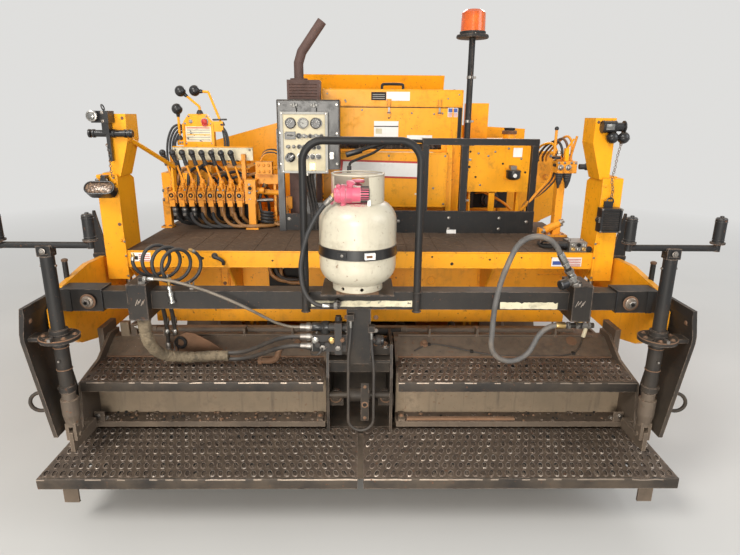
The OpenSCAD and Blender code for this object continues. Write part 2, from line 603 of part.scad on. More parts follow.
module engine() {
    color("dimgray") slab(-60, 440, hood_y + 60, arm_pivot_y - 60, tunnel_z + 10 + seat, 1420);
}
hood_front_y = hopper_y - 60;
hinge_y = hood_front_y - 90;
lid_axis_z = hood_top_z + 10;
hinge_xs = [hood_left + 160, hood_right - 160];
latch_xs = [hood_left + 396, hood_right - 139];
lower_y = hood_y - 92;
module engine_housing() {
    color("orange") {
        difference() {
            union() {
                slab(hood_left, hood_right, hood_y, hood_front_y, deck_under_z - 60, hood_seam_z);
                slab(-165, 510, lower_y, hood_y + 10, 1120, 1445);
                side_plate(510, 545, [[lower_y + 20, deck_z + seat], [hood_y + 10, deck_z + seat],
                    [hood_y + 10, 1500], [lower_y + 60, 1470]]);
            }
            slab(hood_left + sheet, hood_right - sheet, hood_y + sheet, hood_front_y - sheet,
                deck_under_z - 61, hood_seam_z + 1);
            slab(-165 + sheet, 510 - sheet, lower_y + sheet, hood_y + sheet + 1, 1119, 1445 - sheet);
            // Louvres in both sides
            for (i = [0 : 9]) slab(hood_left - 1, hood_right + 1, hood_y + 120, hood_front_y - 120,
                1180 + i * 46, 1198 + i * 46);
            slab(-130, 480, hood_y - 1, hood_y + sheet + 1, 1458, 1492);
        }
        // Catches under the lid, handle of the lower door and stiffening straps
        for (x = latch_xs) {
            slab(x - 9, x + 9, hood_y - 10, hood_y + 1, hood_seam_z - 46, hood_seam_z - 26);
            slab(x - 9, x + 9, hood_y - 6, hood_y + 1, hood_seam_z - 60, hood_seam_z - 6);
        }
        slab(hood_right - 62, hood_right - 54, hood_y - 5, hood_y + 1, 1500, hood_seam_z - 6);
        slab(hood_left + 20, hood_left + 28, hood_y - 5, hood_y + 1, 1500, hood_seam_z - 6);
        // Fixed front strip with the lid's hinge
        difference() {
            slab(hood_left, hood_right, hinge_y, hood_front_y, hood_seam_z - 1, hood_top_z);
            slab(hood_left + sheet, hood_right - sheet, hinge_y - 1, hood_front_y - sheet,
                hood_seam_z - 2, hood_top_z - sheet);
        }
        for (x = hinge_xs) {
            rod_x(x - 62, x + 62, hinge_y, lid_axis_z, 5);
            for (side = [-1, 1]) {
                rod_x(x + side * 47 - 15, x + side * 47 + 15, hinge_y, lid_axis_z, 9);
                slab(x + side * 47 - 15, x + side * 47 + 15, hinge_y + 1, hinge_y + 40, hood_top_z - 1,
                    hood_top_z + 8);
            }
        }
        // Feet down to the frame
        for (x = [hood_left + sheet, hood_right - sheet - 40]) for (y = [hood_y + sheet, arm_pivot_y - 85])
            slab(x, x + 40, y, y + 40, tunnel_z + 10 + seat, hood_seam_z - 60);
    }
}
module hood_lid() {
    color("orange") {
        difference() {
            slab(hood_left, hood_right, hood_y, hinge_y - clear, hood_seam_z + seat, hood_top_z);
            slab(hood_left + sheet, hood_right - sheet, hood_y + sheet, hinge_y - clear + 1,
                hood_seam_z, hood_top_z - sheet);
        }
        for (x = latch_xs) slab(x - 9, x + 9, hood_y - 8, hood_y + 1, hood_seam_z + 4, hood_seam_z + 44);
        for (x = hinge_xs) difference() {
            union() {
                rod_x(x - 30, x + 30, hinge_y, lid_axis_z, 9);
                slab(x - 30, x + 30, hinge_y - 40, hinge_y - 4, hood_top_z - 1, hood_top_z + 5);
            }
            rod_x(x - 31, x + 31, hinge_y, lid_axis_z, 5 + 0.05);
        }
    }
}
stack_x = -362;
stack_y = 1530;
module exhaust() {
    color("rosybrown") {
        difference() {
            slab(-424, hood_left - 4, stack_y - 70, stack_y + 70, deck_z + seat, 1842);
            for (z = [1700 : 16 : 1812]) slab(-410, hood_left - 18, stack_y - 71, stack_y - 64, z, z + 7);
        }
        rod_z(stack_x, stack_y, 1842, 1852, 50);
        rod_z(stack_x, stack_y, 1852, 1935, 27);
        translate([stack_x, stack_y, 1935]) sphere(r = 27);
        translate([stack_x, stack_y, 1935]) rotate([0, 18, 0]) cylinder(r = 27, h = 62);
        translate([stack_x + 62 * sin(18), stack_y, 1935 + 62 * cos(18)]) sphere(r = 27);
        translate([stack_x + 62 * sin(18), stack_y, 1935 + 62 * cos(18)]) rotate([0, 36, 0]) difference() {
            cylinder(r = 27, h = 200);
            translate([0, 0, 120]) cylinder(r = 23, h = 90);
        }
    }
}
module fuel_tank() {
    color("orange") {
        slab(626, 1018, 1550, 2120, 1211, 1500);
        slab(615, 1030, 1540, 2130, 1500, 1510);
        rod_z(930, 1760, 1510, 1550, 38);
        rod_z(905, 1560, 1300, 1352, 40);
        rod_z(905, 1560, 1290, 1302, 46);
        slab(690, 820, 1900, 2060, 1510, 1735);
        for (y = [1600, 2060]) side_plate(660 + 0, 670, [[y - 40, fender_z + seat], [y + 60, fender_z + seat],
            [y + 30, 1211], [y - 10, 1211]]);
        for (y = [1600, 2060]) slab(960, 980, y, y + 40, fender_z + seat, 1211);
    }
}
module hydraulic_tank() {
    color("orange") {
        slab(-1060, -700, 1620, 2160, fender_z + seat, 1330);
        slab(-1072, -688, 1610, 2170, 1330, 1340);
        rod_z(-900, 1760, 1340, 1385, 40);
        rod_z(-800, 1960, 1340, 1400, 55);
    }
}

// Operator's stations

module control_panel() {
    color("black") {
        slab(-440, -124, 1185, 1290, 1372, 1725);
        slab(-452, -418, 1185, 1219, deck_z + seat, 1580);
        slab(-300, -250, 1215, 1265, deck_z + seat, 1372);
        slab(-330, -150, 1205, 1290, deck_z + seat, 1190);
    }
    color("beige") slab(-423, -180, 1150, 1185, 1357, 1666);
    color("black") {
        for (x = [-375, -302, -232]) difference() {
            rod_y(x, 1140, 1151, 1612, 25);
            rod_y(x, 1139, 1144, 1612, 20);
        }
        slab(-404, -346, 1143, 1151, 1530, 1562);
        for (p = panel_knobs) rod_y(p[0], 1138, 1151, p[1], p[2]);
        for (x = [-366, -262]) slab(x, x + 24, 1152, 1185, 1664, 1688);
    }
}
// Knobs on the panel: across, height, radius
panel_knobs = [[-322, 1545, 10], [-290, 1545, 8], [-258, 1545, 8], [-226, 1545, 8], [-390, 1492, 8],
    [-356, 1492, 8], [-322, 1492, 8], [-290, 1492, 8], [-258, 1490, 11], [-226, 1490, 11], [-384, 1434, 20],
    [-322, 1440, 12], [-290, 1440, 12], [-258, 1440, 12], [-226, 1440, 12]];
lever_x0 = -deck_half_w + 60;
lever_pitch = 53;
lever_count = 8;
bank_y = 1240;
module lever_bank() {
    x9 = lever_x0 + lever_count * lever_pitch;
    color("orange") {
        for (i = [0 : lever_count - 1]) {
            x = lever_x0 + i * lever_pitch;
            side_plate(x - 22, x + 22, [[bank_y, 1178], [bank_y + 80, 1178], [bank_y + 80, 1262],
                [bank_y + 34, 1270], [bank_y, 1235]]);
            slab(x - 14, x + 14, bank_y - 14, bank_y + 4, 1160, 1196);
            rod_y(x, bank_y - 16, bank_y + 2, 1222, 16);
            rod_z(x, bank_y + 42, 1262, 1300, 14);
        }
        slab(lever_x0 - 44, x9, bank_y + 26, bank_y + 60, 1190, 1250);
        slab(lever_x0 - 44, lever_x0 - 20, bank_y + 4, bank_y + 70, 1184, 1258);
        slab(x9 - 24, x9 + 36, bank_y - 4, bank_y + 84, 1176, 1300);
        rod_x(x9 + 30, x9 + 76, bank_y + 40, 1245, 17);
        // Feet at both ends
        slab(lever_x0 - 66, lever_x0 - 26, bank_y + 26, bank_y + 66, deck_z + seat, 1200);
        slab(lever_x0 - 80, lever_x0 - 20, bank_y + 6, bank_y + 74, deck_z + seat, deck_z + 10);
        slab(x9 - 8, x9 + 32, bank_y - 10, bank_y + 30, deck_z + seat, 1200);
        slab(x9 - 22, x9 + 46, bank_y - 30, bank_y + 38, deck_z + seat, deck_z + 10);
        // Levers up to the grips
        for (i = [0 : lever_count - 1]) translate([lever_x0 + i * lever_pitch, bank_y + 42, 1290])
            rotate([3, -16, 0]) {
                cylinder(r = 6, h = 110);
                translate([-8, -4, -8]) cube([16, 8, 30]);
            }
        // Stays of the backing bar
        for (x = [lever_x0 - 20, x9 - 50]) slab(x, x + 22, bank_y + 70, bank_y + 100, 1200, 1440);
    }
    color("beige") slab(lever_x0 - 10, x9 + 10, bank_y + 100, bank_y + 112, 1404, 1476);
    color("black") for (i = [0 : lever_count - 1]) translate([lever_x0 + i * lever_pitch, bank_y + 42, 1290])
        rotate([3, -16, 0]) {
            translate([0, 0, 104]) cylinder(r1 = 9, r2 = 13, h = 50);
            translate([0, 0, 160]) sphere(r = 16);
        }
}
// Hoses that leave the valves downwards and turn along the deck into a rubber strip
module valve_hoses() {
    strip_y = bank_y + 150;
    color("black") slab(lever_x0 + 90, lever_x0 + (lever_count - 1) * lever_pitch + 150, strip_y,
        strip_y + 30, deck_z + seat, deck_z + 44);
    color("black") for (i = [0 : lever_count - 1]) {
        r = 11;
        x = lever_x0 + i * lever_pitch;
        y = bank_y + 30;
        low_z = deck_z + r + 2;
        rod_z(x, y, 1118, 1178 - seat, r + 4);
        hose([[x, y, 1150], [x, y, deck_z + 84], [x + 8, y + 8, deck_z + 54], [x + 26, y + 28, deck_z + 28],
            [x + 56, y + 60, low_z], [x + 118, strip_y + 15, low_z]], r);
    }
}
module steering_console() {
    color("orange") {
        cross_plate(1450, 1480, [[-1018, 1440], [-1018, 1610], [-985, 1653], [-885, 1653], [-852, 1610],
            [-852, 1440]]);
        slab(-1018, -852, 1410, 1480, 1440, 1470);
        slab(-1000, -870, 1420, 1480, deck_z + seat, 1440);
    }
    color("black") for (p = [[-1020, 1775], [-940, 1778], [-1046, 1679]])
        translate([p[0], 1450, p[1]]) sphere(r = 29);
    color("orange") {
        translate([-1020, 1460, 1775]) rotate([0, 130, 0]) cylinder(r = 7, h = 130);
        rod_z(-922, 1460, 1653, 1692, 7);
        translate([-940, 1460, 1778]) rotate([0, 95, 0]) cylinder(r = 7, h = 75);
        translate([-866, 1460, 1771]) rotate([0, 160, 0]) cylinder(r = 7, h = 190);
        rod_z(-1046, 1460, 1500, 1679, 7);
        slab(-1060, -1018, 1450, 1475, 1480, 1510);
        slab(-852, -795, 1450, 1475, 1560, 1610);
    }
    color("darkred") rod_y(-895, 1440, 1450, 1600, 16);
}
module side_valve() {
    color("orange") {
        x1 = deck_half_w - 6;
        slab(x1 - 100, x1, 1020, 1110, 1376, 1436);
        for (x = [x1 - 84, x1 - 44]) rod_z(x, 1064, 1436, 1462, 15);
        slab(x1 - 74, x1 - 34, 1070, 1120, deck_z + seat, 1376);
        slab(x1 - 110, x1, 1050, 1140, deck_z + seat, deck_z + 12);
        // Small cylinder that leans towards the tower
        translate([x1 - 130, 1080, 1060]) rotate([0, 62, 0]) cylinder(r = 20, h = 110);
        slab(x1 - 150, x1 - 116, 1062, 1098, deck_z + seat, 1080);
    }
    color("black") for (x = [deck_half_w - 90, deck_half_w - 46]) {
        translate([x, 1030, 1376]) mirror([0, 0, 1]) {
            cylinder(r1 = 20, r2 = 15, h = 40);
            translate([0, 0, 40]) cylinder(r1 = 15, r2 = 5, h = 30);
        }
    }
}
rail_y = 1150;
module handrail() {
    color("black") {
        for (x = [322, 530, 905]) slab(x, x + rail_size, rail_y + 5, rail_y + 5 + rail_size, deck_z + seat,
            rail_z - rail_size);
        slab(322, 905 + rail_size, rail_y + 5, rail_y + 5 + rail_size, rail_z - rail_size, rail_z);
        slab(-118, 940, rail_y - 5, rail_y + 5, deck_z + seat, deck_z + 120);
    }
    beacon_mast();
}
mast_x = 563;
module beacon_mast() {
    color("black") {
        rod_z(mast_x, rail_y + 65, deck_z + seat, 2035, 16);
        slab(mast_x - 14, mast_x + 14, rail_y + 38, rail_y + 52, rail_z - 34, rail_z);
        rod_z(mast_x, rail_y + 65, 2035, 2050, 80);
        rod_z(mast_x, rail_y + 65, 2050, 2066, 66);
    }
}
module beacon_lens() {
    color("orangered") translate([mast_x, rail_y + 65, 2066 + seat]) {
        cylinder(r1 = 62, r2 = 60, h = 88);
        translate([0, 0, 88]) cylinder(r1 = 60, r2 = 40, h = 14);
    }
}

// Augers

module auger_case() {
    color("orange") {
        difference() {
            slab(-38, 38, auger_y - 60, auger_y + 70, auger_z - 60, bulkhead_z - seat);
            rod_x(-60, 60, auger_y, auger_z, 30 + fit);
        }
        both_sides() {
            difference() {
                union() {
                    slab(612, 628, auger_y - 40, auger_y + 40, auger_z, bulkhead_z - seat);
                    rod_x(600, 640, auger_y, auger_z, 52);
                }
                rod_x(599, 641, auger_y, auger_z, 30 + fit);
            }
        }
    }
}
// One flight, wound round the shaft from x0 over a length
module flight(x0, length) {
    translate([x0, auger_y, auger_z]) rotate([0, 90, 0])
        linear_extrude(height = length, twist = 360 * length / auger_pitch, slices = round(length / 24))
            polygon([[27, -10], [auger_r, -12], [auger_r, 12], [27, 10]]);
}
module auger() {
    color("dimgray") {
        rod_x(1, 1180, auger_y, auger_z, 30);
        flight(60, 530);
        flight(655, 520);
    }
}

// Screed

crank_x = 1150;
crank_y = 140;
crank_r = 20;
disc_z = 830;
guide_top = disc_z - 8;
guide_bottom = 605;
module tow_arm() {
    color("orange") {
        difference() {
            union() {
                side_shape(arm_x, arm_x + arm_t) translate([arm_pivot_y, arm_pivot_z]) circle(r = 75);
                side_plate(arm_x, arm_x + arm_t, [
                    [arm_pivot_y, arm_pivot_z - 75], [1000, 640], [620, 640], [420, 690], [300, 765],
                    [235, 805], [235, 905], [330, 975], [560, 1010], [800, 1000], [1000, 800],
                    [arm_pivot_y, arm_pivot_z + 75]]);
            }
            rod_x(arm_x - 1, arm_x + arm_t + 1, arm_pivot_y, arm_pivot_z, 25 + fit);
        }
        // Lug for the lift cylinder's rod, and stiffeners inside the arm
        rod_x(cylinder_x - 15, arm_x, barrel_y, rod_eye_z, 15);
        rod_x(cylinder_x + 17, arm_x, barrel_y, rod_eye_z, 34);
        side_plate(arm_x + arm_t, arm_x + arm_t + 8, [[1000, 664], [arm_pivot_y - 90, arm_pivot_z - 20],
            [arm_pivot_y - 90, arm_pivot_z + 20], [1000, 700]]);
    }
}
// Bent plate behind the arm, with the depth screw's disc and guide tube
module arm_end() {
    color("black") {
        o = arm_x + arm_t + seat;
        cross_plate(90, 320, [[o, 960], [o + 14, 960], [o + 30, 858], [o + 30, 828], [o - 34, 425],
            [o - 50, 425], [o + 14, 830], [o + 14, 852], [o, 925]]);
        difference() {
            union() {
                rod_z(crank_x, crank_y, disc_z - 8, disc_z + 8, 72);
                slab(crank_x, o + 22, crank_y - 30, crank_y + 30, disc_z - 8, disc_z + 8);
                rod_z(crank_x, crank_y, guide_bottom, guide_top + 1, 27);
                rod_z(crank_x, crank_y, guide_bottom, guide_bottom + 24, 31);
            }
            rod_z(crank_x, crank_y, guide_bottom - 1, disc_z + 9, crank_r + fit);
            for (i = [0 : 3]) rotate_at(crank_x, crank_y, i * 90 + 45) rod_z(54, 0, disc_z - 9,
                disc_z + 9, 7);
        }
        for (y = [130, 280]) rod_x(o + 12, o + 22, y, 930, 15);
        // Lifting ring
        translate([o - 14, 190, 548]) rotate([90, 0, 0]) rotate_extrude() translate([42, 0])
            circle(r = 6.5, $fn = 16);
    }
}
module rotate_at(x, y, a) translate([x, y, 0]) rotate(a) children();
module crank() {
    color("black") {
        rod_z(crank_x, crank_y, disc_z + 8 + seat, 1150, 25);
        rod_z(crank_x, crank_y, disc_z + 8 + seat, disc_z + 34, 34);
        rod_z(crank_x, crank_y, guide_bottom + 30, disc_z + 12, crank_r);
        rod_x(crank_x - 165, crank_x + 165, crank_y, 1190, 12);
        for (side = [-1, 1]) {
            rod_z(crank_x + side * 165, crank_y, 1178, 1215, 12);
            rod_z(crank_x + side * 165, crank_y, 1212, 1300, 20);
            rod_z(crank_x + side * 165, crank_y, 1208, 1213, 26);
        }
        slab(crank_x - 26, crank_x + 26, crank_y - 20, crank_y + 20, 1150, 1190);
    }
}
module cross_beam() {
    color("black") {
        under_z = beam_top_z - beam_size;
        difference() {
            slab(-arm_x, arm_x, beam_y, beam_y + beam_size, beam_top_z - beam_size, beam_top_z);
            slab(-arm_x - 1, arm_x + 1, beam_y + 6, beam_y + beam_size - 6, beam_top_z - beam_size + 6,
                beam_top_z - 6);
        }
        both_sides() {
            difference() {
                slab(1045, arm_x, beam_y - 8, beam_y + beam_size + 8, under_z - 8, beam_top_z + 8);
                slab(1044, arm_x + 1, beam_y, beam_y + beam_size, beam_top_z - beam_size, beam_top_z);
            }
            rod_y(1095, beam_y - 22, beam_y - 8, beam_top_z - beam_size / 2, 22);
            difference() {
                slab(850, 928, beam_y - 45, beam_y + beam_size + 25, under_z - 35, beam_top_z + 40);
                slab(849, 929, beam_y, beam_y + beam_size, beam_top_z - beam_size, beam_top_z);
            }
        }
        slab(-160, 130, beam_y - 60, beam_y + 180, beam_top_z, beam_top_z + sheet);
        // Hose fittings
        rod_z(866, 269, beam_top_z + 39, beam_top_z + 58, 16);
        translate([862, 268, 1005]) rotate([0, 33.1, 191.8]) {
            cylinder(r = 10, h = 160.7);
            translate([0, 0, 70]) cylinder(r = 13, h = 24);
        }
        rod_z(905, 300, 811, under_z - 34, 15);
        rod_x(850, 965, 300, 822, 11);
        rod_z(-870, 270, beam_top_z + 39, 1034, 10);
        rod_x(-880, -848, 270, 1024, 9);
        rod_y(-95, 236, beam_y + 1, 925, 12);
        rod_x(-125, -83, 240, 925, 12);
    }
    cylinder_hoop();
}
gas_x = -15;
gas_y = 350;
gas_z = beam_top_z + sheet;
module gas_cylinder() {
    color("ivory") {
        translate([gas_x, gas_y, gas_z]) difference() {
            cylinder(r = 102, h = 34);
            translate([0, 0, -1]) cylinder(r = 96, h = 36);
            for (i = [0 : 7]) rotate(i * 45 + 10) rod_y(0, -120, 0, 16, 7);
        }
        translate([gas_x, gas_y, gas_z + 24]) rotate_extrude($fn = 96) difference() {
            union() {
                translate([0, 80]) square([gas_r, gas_h - 24 - 160]);
                intersection() {
                    union() {
                        translate([gas_r - 80, 80]) circle(r = 80);
                        translate([gas_r - 80, gas_h - 24 - 80]) circle(r = 80);
                        square([gas_r - 80, gas_h - 24]);
                        translate([0, 80]) square([gas_r, gas_h - 24 - 160]);
                    }
                    square([gas_r, gas_h]);
                }
            }
            translate([-400, 0]) square([400, gas_h]);
        }
        // Collar, open towards the rear
        translate([gas_x, gas_y, gas_z + gas_h - 6]) difference() {
            cylinder(r = 104, h = 103);
            translate([0, 0, -1]) cylinder(r = 99, h = 105);
            rotate(-90) translate([0, -90, -1]) cube([160, 132, 106]);
            slab(-25, 25, 60, 120, 60, 82);
        }
    }
    color("black") difference() {
        translate([gas_x, gas_y, gas_z + 148]) cylinder(r = gas_r + 3, h = 40);
        translate([gas_x, gas_y, gas_z + 147]) cylinder(r = gas_r + 0.2, h = 42);
    }
    color("palevioletred") {
        translate([gas_x, gas_y, gas_z + gas_h - 6]) cylinder(r = 18, h = 52);
        rod_y(gas_x, 262, 340, 1351, 12);
        rod_x(-102, -4, 262, 1365, 32);
    }
    color("black") {
        rod_x(-5, 27, 262, 1365, 28);
        translate([-98, 262, 1365]) rotate([0, -133.7, 0]) cylinder(r = 10, h = 30);
    }
}
module cylinder_hoop() {
    color("black") {
        hoop_y = beam_y - 13;
        both_sides() {
            rod_z(-225, hoop_y, beam_top_z - beam_size, 1561 - 80, 15);
            translate([-225, hoop_y, 1561 - 80]) bend_xz(80, 15);
        }
        rod_x(-145, 145, hoop_y, 1561, 15);
    }
}
step_y0 = 280;
step_y1 = 530;
face_y = 425;
column_x0 = -150;
column_x1 = 138;
column_t = 12;
ledge_z = walk_z - 6 - seat;
module main_screed() {
    color("dimgray") {
        both_sides() {
            x0 = 158;
            x1 = screed_half_w - 12;
            slab(0, x1, 330, 700, sole_z, sole_z + 12);
            slab(0, x1, 690, 700, sole_z + 12, 600);
            slab(0, x1, 330, 340, sole_z + 12, ledge_z - 8);
            slab(0, x1, 330, 470, ledge_z - 8, ledge_z);
            slab(x0, x1, face_y, face_y + 10, ledge_z, step_z - 8);
            translate([0, 0, step_z - 8]) linear_extrude(8) tread_outline(x0, x1, step_y0, step_y1,
                step_rows, step_count, 26);
            slab(x0, x1, step_y0, step_y0 + 8, step_z - 45, step_z - 8);
            slab(x0, x1, 342, face_y + 1, 339, 347);
            slab(x0, x1, 342, 348, 322, 340);
            side_plate(x0, x1, [[step_y1, step_z - 8], [step_y1, step_z], [640, 630], [700, 630], [700, 600],
                [690, 600], [690, 622], [642, 622], [step_y1 + 6, step_z - 8]]);
            side_plate(x1, screed_half_w, [[700, sole_z], [700, 655], [600, 660], [470, 590], [290, 560],
                [250, walk_z + seat], [walk_length + seat, walk_z + seat], [walk_length + seat, ledge_z],
                [330, ledge_z], [330, sole_z]]);
            side_plate(x0, x0 + 12, [[700, ledge_z], [700, 620], [600, 620], [470, 562], [face_y, 562],
                [face_y, ledge_z]]);
            // Housing and fork at the depth screw's foot, and the bracket that the tow arm carries
            slab(crank_x - 8, crank_x + 8, 110, 300, 350, 392);
            slab(crank_x, x1 + 1, 270, 300, 350, 392);
            slab(crank_x - 8, crank_x + 8, 110, 170, 392, 432);
            for (side = [-1, 1]) slab(crank_x + side * 15 - 6, crank_x + side * 15 + 6, 116, 164, 395, 470);
            rod_x(crank_x - 27, crank_x + 27, crank_y, 414, 9);
            rod_z(crank_x, crank_y, 455, guide_bottom - clear, 26);
            translate([crank_x, crank_y, 455]) cylinder(r1 = 24, r2 = 33, h = 50);
            rod_z(crank_x, crank_y, 505, 570, 33);
            slab(screed_half_w, arm_x, 560, 700, 480, 700);
            // Slide tube above the front edge, with its clamps
            rod_x(0, 1060, 740, 617, 21);
            for (x = [200, 560, 1010]) {
                rod_x(x, x + 26, 740, 617, 27);
                slab(x + 3, x + 23, 690, 740, 592, 612);
            }
            // Guide tubes for the extension
            for (y = [770, 910]) rod_x(50, 1130, y, 470, guide_r);
            slab(1118, 1130, 700, 935, 440, 500);
        }
        slab(-62, 62, 700, 960, 420, 520);
    }
}
// A tread plate with staggered rows of slanted openings
module tread_outline(x0, x1, y0, y1, rows, count, margin) {
    pitch = (x1 - x0 - 2 * margin) / count;
    difference() {
        translate([x0, y0]) square([x1 - x0, y1 - y0]);
        for (j = [0 : rows - 1]) for (i = [0 : count - 1])
            translate([x0 + margin + (i + (j % 2 == 0 ? 0.3 : 0.7)) * pitch, y0 + 32 + j * 66])
                rotate(-12) polygon([[-9, 0], [0, -24], [9, 0], [0, 24]]);
    }
}
step_rows = 3;
step_count = 16;
walk_rows = 5;
walk_count = 20;
board_x0 = 12;
board_x1 = 1245;
module walkboards() {
    color("dimgray") both_sides() {
        translate([0, 0, walk_z - 6]) linear_extrude(6) tread_outline(board_x0, board_x1, 0, walk_length,
            walk_rows, walk_count, 30);
        slab(board_x0, board_x1, 0, 6, walk_z - 45, walk_z - 6);
        slab(board_x0, board_x1, 312, 318, walk_z - 36, walk_z - 6);
        for (x = [board_x0, 620, board_x1 - 6]) slab(x, x + 6, 6, 318, walk_z - 45, walk_z - 6);
    }
}
module screed_centre() {
    color("black") {
        for (x = [column_x0, column_x1 - column_t]) side_plate(x, x + column_t, [
            [340, ledge_z + seat + 6], [690 - seat, ledge_z + seat + 6], [690 - seat, 600], [560, 700],
            [380, 700], [340, 560]]);
        slab(column_x0 + column_t, column_x1 - column_t, 400, 412, 560, 690);
        slab(column_x0 + column_t, column_x1 - column_t, 376, 690 - seat, ledge_z + seat, ledge_z + seat + 8);
        slab(column_x0 + column_t, column_x1 - column_t, 340, 400, 632, 644);
        slab(-60, 40, beam_y + 10, beam_y + 60, 640, beam_top_z - beam_size - seat);
        rod_x(column_x0 + column_t, column_x1 - column_t, 360, 470, 14);
        rod_x(-60, 40, 360, 470, 30);
    }
    color("black") for (p = [[-56, 845], [30, 795]]) slab(p[0], p[0] + 26, 280, beam_y + 12, p[1], p[1] + 26);
}
// Burner valves and their fittings, left of the column
valve_x = -205;
valve_ports = [[-255, 800, 14], [-255, 758, 14], [-255, 716, 14]];
module burner_valves() {
    color("silver") {
        slab(valve_x, -60 - seat, 302, 358, 700, 775);
        slab(-110, -80, 292, 368, 690, 830);
        for (p = valve_ports) {
            rod_x(p[0], valve_x + 1, 330, p[1], p[2]);
            rod_x(valve_x - 24, valve_x - 6, 330, p[1], p[2] + 5);
        }
        rod_x(valve_x, -60 - seat, 330, 800, 18);
        rod_z(-150, 330, 775, 800, 12);
        for (x = [-180, -140]) rod_y(x, 284, 303, 738, 11);
        rod_z(-95, 330, 828, 850, 12);
        rod_x(40 + seat, 96, 330, 742, 16);
        rod_x(64, 82, 330, 742, 22);
    }
}
// Extension for the right side, pushed in
module extension() {
    color("gray") {
        x1 = screed_half_w + clear;
        difference() {
            union() {
                slab(75, x1, 712, 952, sole_z - 4, sole_z + 8);
                slab(75, x1, 940, 952, sole_z + 8, 560);
                slab(75, x1, 712, 952, 560, 568);
                slab(75, 95, 712, 940, sole_z + 8, 560);
                slab(340, 360, 712, 940, sole_z + 8, 560);
                side_plate(x1, x1 + 12, [[640, sole_z - 4], [990, sole_z - 4], [990, 330], [952, 590],
                    [712, 590], [702, 330], [640, 200]]);
            }
            for (y = [770, 910]) rod_x(60, 400, y, 470, guide_r + fit);
        }
        slab(x1 - 60, x1, 712, 940, 300, 312);
    }
}

// The way along a route at each point, with a side direction that turns no more than it must
function route_ways(points, i = 0, side = [0, 1, 0]) = i == len(points) ? [] : let (
    d = points[min(i + 1, len(points) - 1)] - points[max(i - 1, 0)],
    t = d / norm(d),
    w = side - (side * t) * t,
    u = w / norm(w)) concat([[t, u]], route_ways(points, i + 1, u));
// A round hose along points, as rings of eight corners that face along the route
module hose(points, r) {
    n = len(points);
    ways = route_ways(points);
    rings = [for (i = [0 : n - 1]) let (u = ways[i][1], v = cross(ways[i][0], u))
        for (k = [0 : 7]) points[i] + r * (cos(k * 45) * u + sin(k * 45) * v)];
    sides = [for (i = [0 : n - 2]) for (k = [0 : 7])
        [8 * i + k, 8 * i + 8 + k, 8 * i + 8 + (k + 1) % 8, 8 * i + (k + 1) % 8]];
    polyhedron(points = rings, faces = concat([[for (k = [0 : 7]) k]], sides,
        [[for (k = [0 : 7]) 8 * n - 1 - k]]));
}
module hose_grey() color("gray") hose(grey_route, grey_r);
module hose_steel() color("gray") hose(steel_route, steel_r);
module hose_wrapped() color("tan") hose(wrapped_route, wrapped_r);
module hose_upper() color("black") hose(upper_route, black_r);
module hose_lower() color("black") hose(lower_route, black_r);
module gas_hose() color("black") hose(gas_route, gas_hose_r);
module column_hose() color("black") hose(column_route, column_hose_r);
// The hank of hose over the left clamp, as one solid
module hose_hank() color("black") translate([0, 410, 0]) rotate([90, 0, 0]) linear_extrude(104) polygon([
    [-948, 1075], [-930, 1030], [-900, beam_top_z + 40 + seat], [-850 + seat, beam_top_z + 40 + seat],
    [-850 + seat, beam_top_z + seat], [-590, beam_top_z + seat], [-590, 990], [-640, 1010], [-628, 1060],
    [-650, 1120], [-700, 1148], [-880, 1148], [-930, 1120]]);

place() main_frame();
place() deck();
place() mirrored() tower();  // tower_left
place() tower();  // tower_right
place() hopper_bed();
place() conveyors();
place() mirrored() track();  // track_left
place() track();  // track_right
place() mirrored() track_frame();  // track_frame_left
place() track_frame();  // track_frame_right
place() both_sides() track_wheels();
place() push_beam();
place() mirrored() push_roller();  // push_roller_left
place() push_roller();  // push_roller_right
place() mirrored() wing();  // wing_left
place() wing();  // wing_right
place() engine();
place() engine_housing();
place() hood_lid();
place() exhaust();
place() fuel_tank();
place() hydraulic_tank();
place() control_panel();
place() lever_bank();
place() steering_console();
place() side_valve();
place() handrail();
place() beacon_lens();
place() mirrored() auger();  // auger_left
place() auger();  // auger_right
place() auger_case();
place() mirrored() tow_arm();  // tow_arm_left
place() tow_arm();  // tow_arm_right
place() both_sides() arm_end();  // arm_ends
place() cross_beam();
place() main_screed();
place() walkboards();
place() screed_centre();
place() burner_valves();
place() mirrored() extension();  // extension_left
place() extension();  // extension_right
place() mirrored() crank();  // crank_left
place() crank();  // crank_right
place() gas_cylinder();
place() mirrored() lift_barrel();  // lift_barrel_left
place() lift_barrel();  // lift_barrel_right
place() mirrored() lift_rod();  // lift_rod_left
place() lift_rod();  // lift_rod_right
place() tower_lamps();
place() valve_hoses();
place() hose_grey();
place() hose_steel();
place() hose_wrapped();
place() hose_upper();
place() hose_lower();
place() gas_hose();
place() column_hose();
place() hose_hank();
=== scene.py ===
import bpy, bmesh, math, random
from mathutils import Vector, Matrix


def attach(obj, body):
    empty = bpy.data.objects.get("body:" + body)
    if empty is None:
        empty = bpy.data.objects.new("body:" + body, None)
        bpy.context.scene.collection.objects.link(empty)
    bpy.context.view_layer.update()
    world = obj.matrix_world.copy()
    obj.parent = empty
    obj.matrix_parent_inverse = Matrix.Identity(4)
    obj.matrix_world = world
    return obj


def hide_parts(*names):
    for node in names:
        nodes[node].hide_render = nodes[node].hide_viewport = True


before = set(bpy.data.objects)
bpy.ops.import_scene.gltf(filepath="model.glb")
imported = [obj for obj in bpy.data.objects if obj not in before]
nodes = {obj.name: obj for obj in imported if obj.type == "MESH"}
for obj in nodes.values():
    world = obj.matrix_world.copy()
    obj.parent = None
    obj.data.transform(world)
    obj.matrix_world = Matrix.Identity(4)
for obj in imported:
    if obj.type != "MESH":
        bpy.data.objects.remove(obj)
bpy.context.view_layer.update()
random.seed(7)


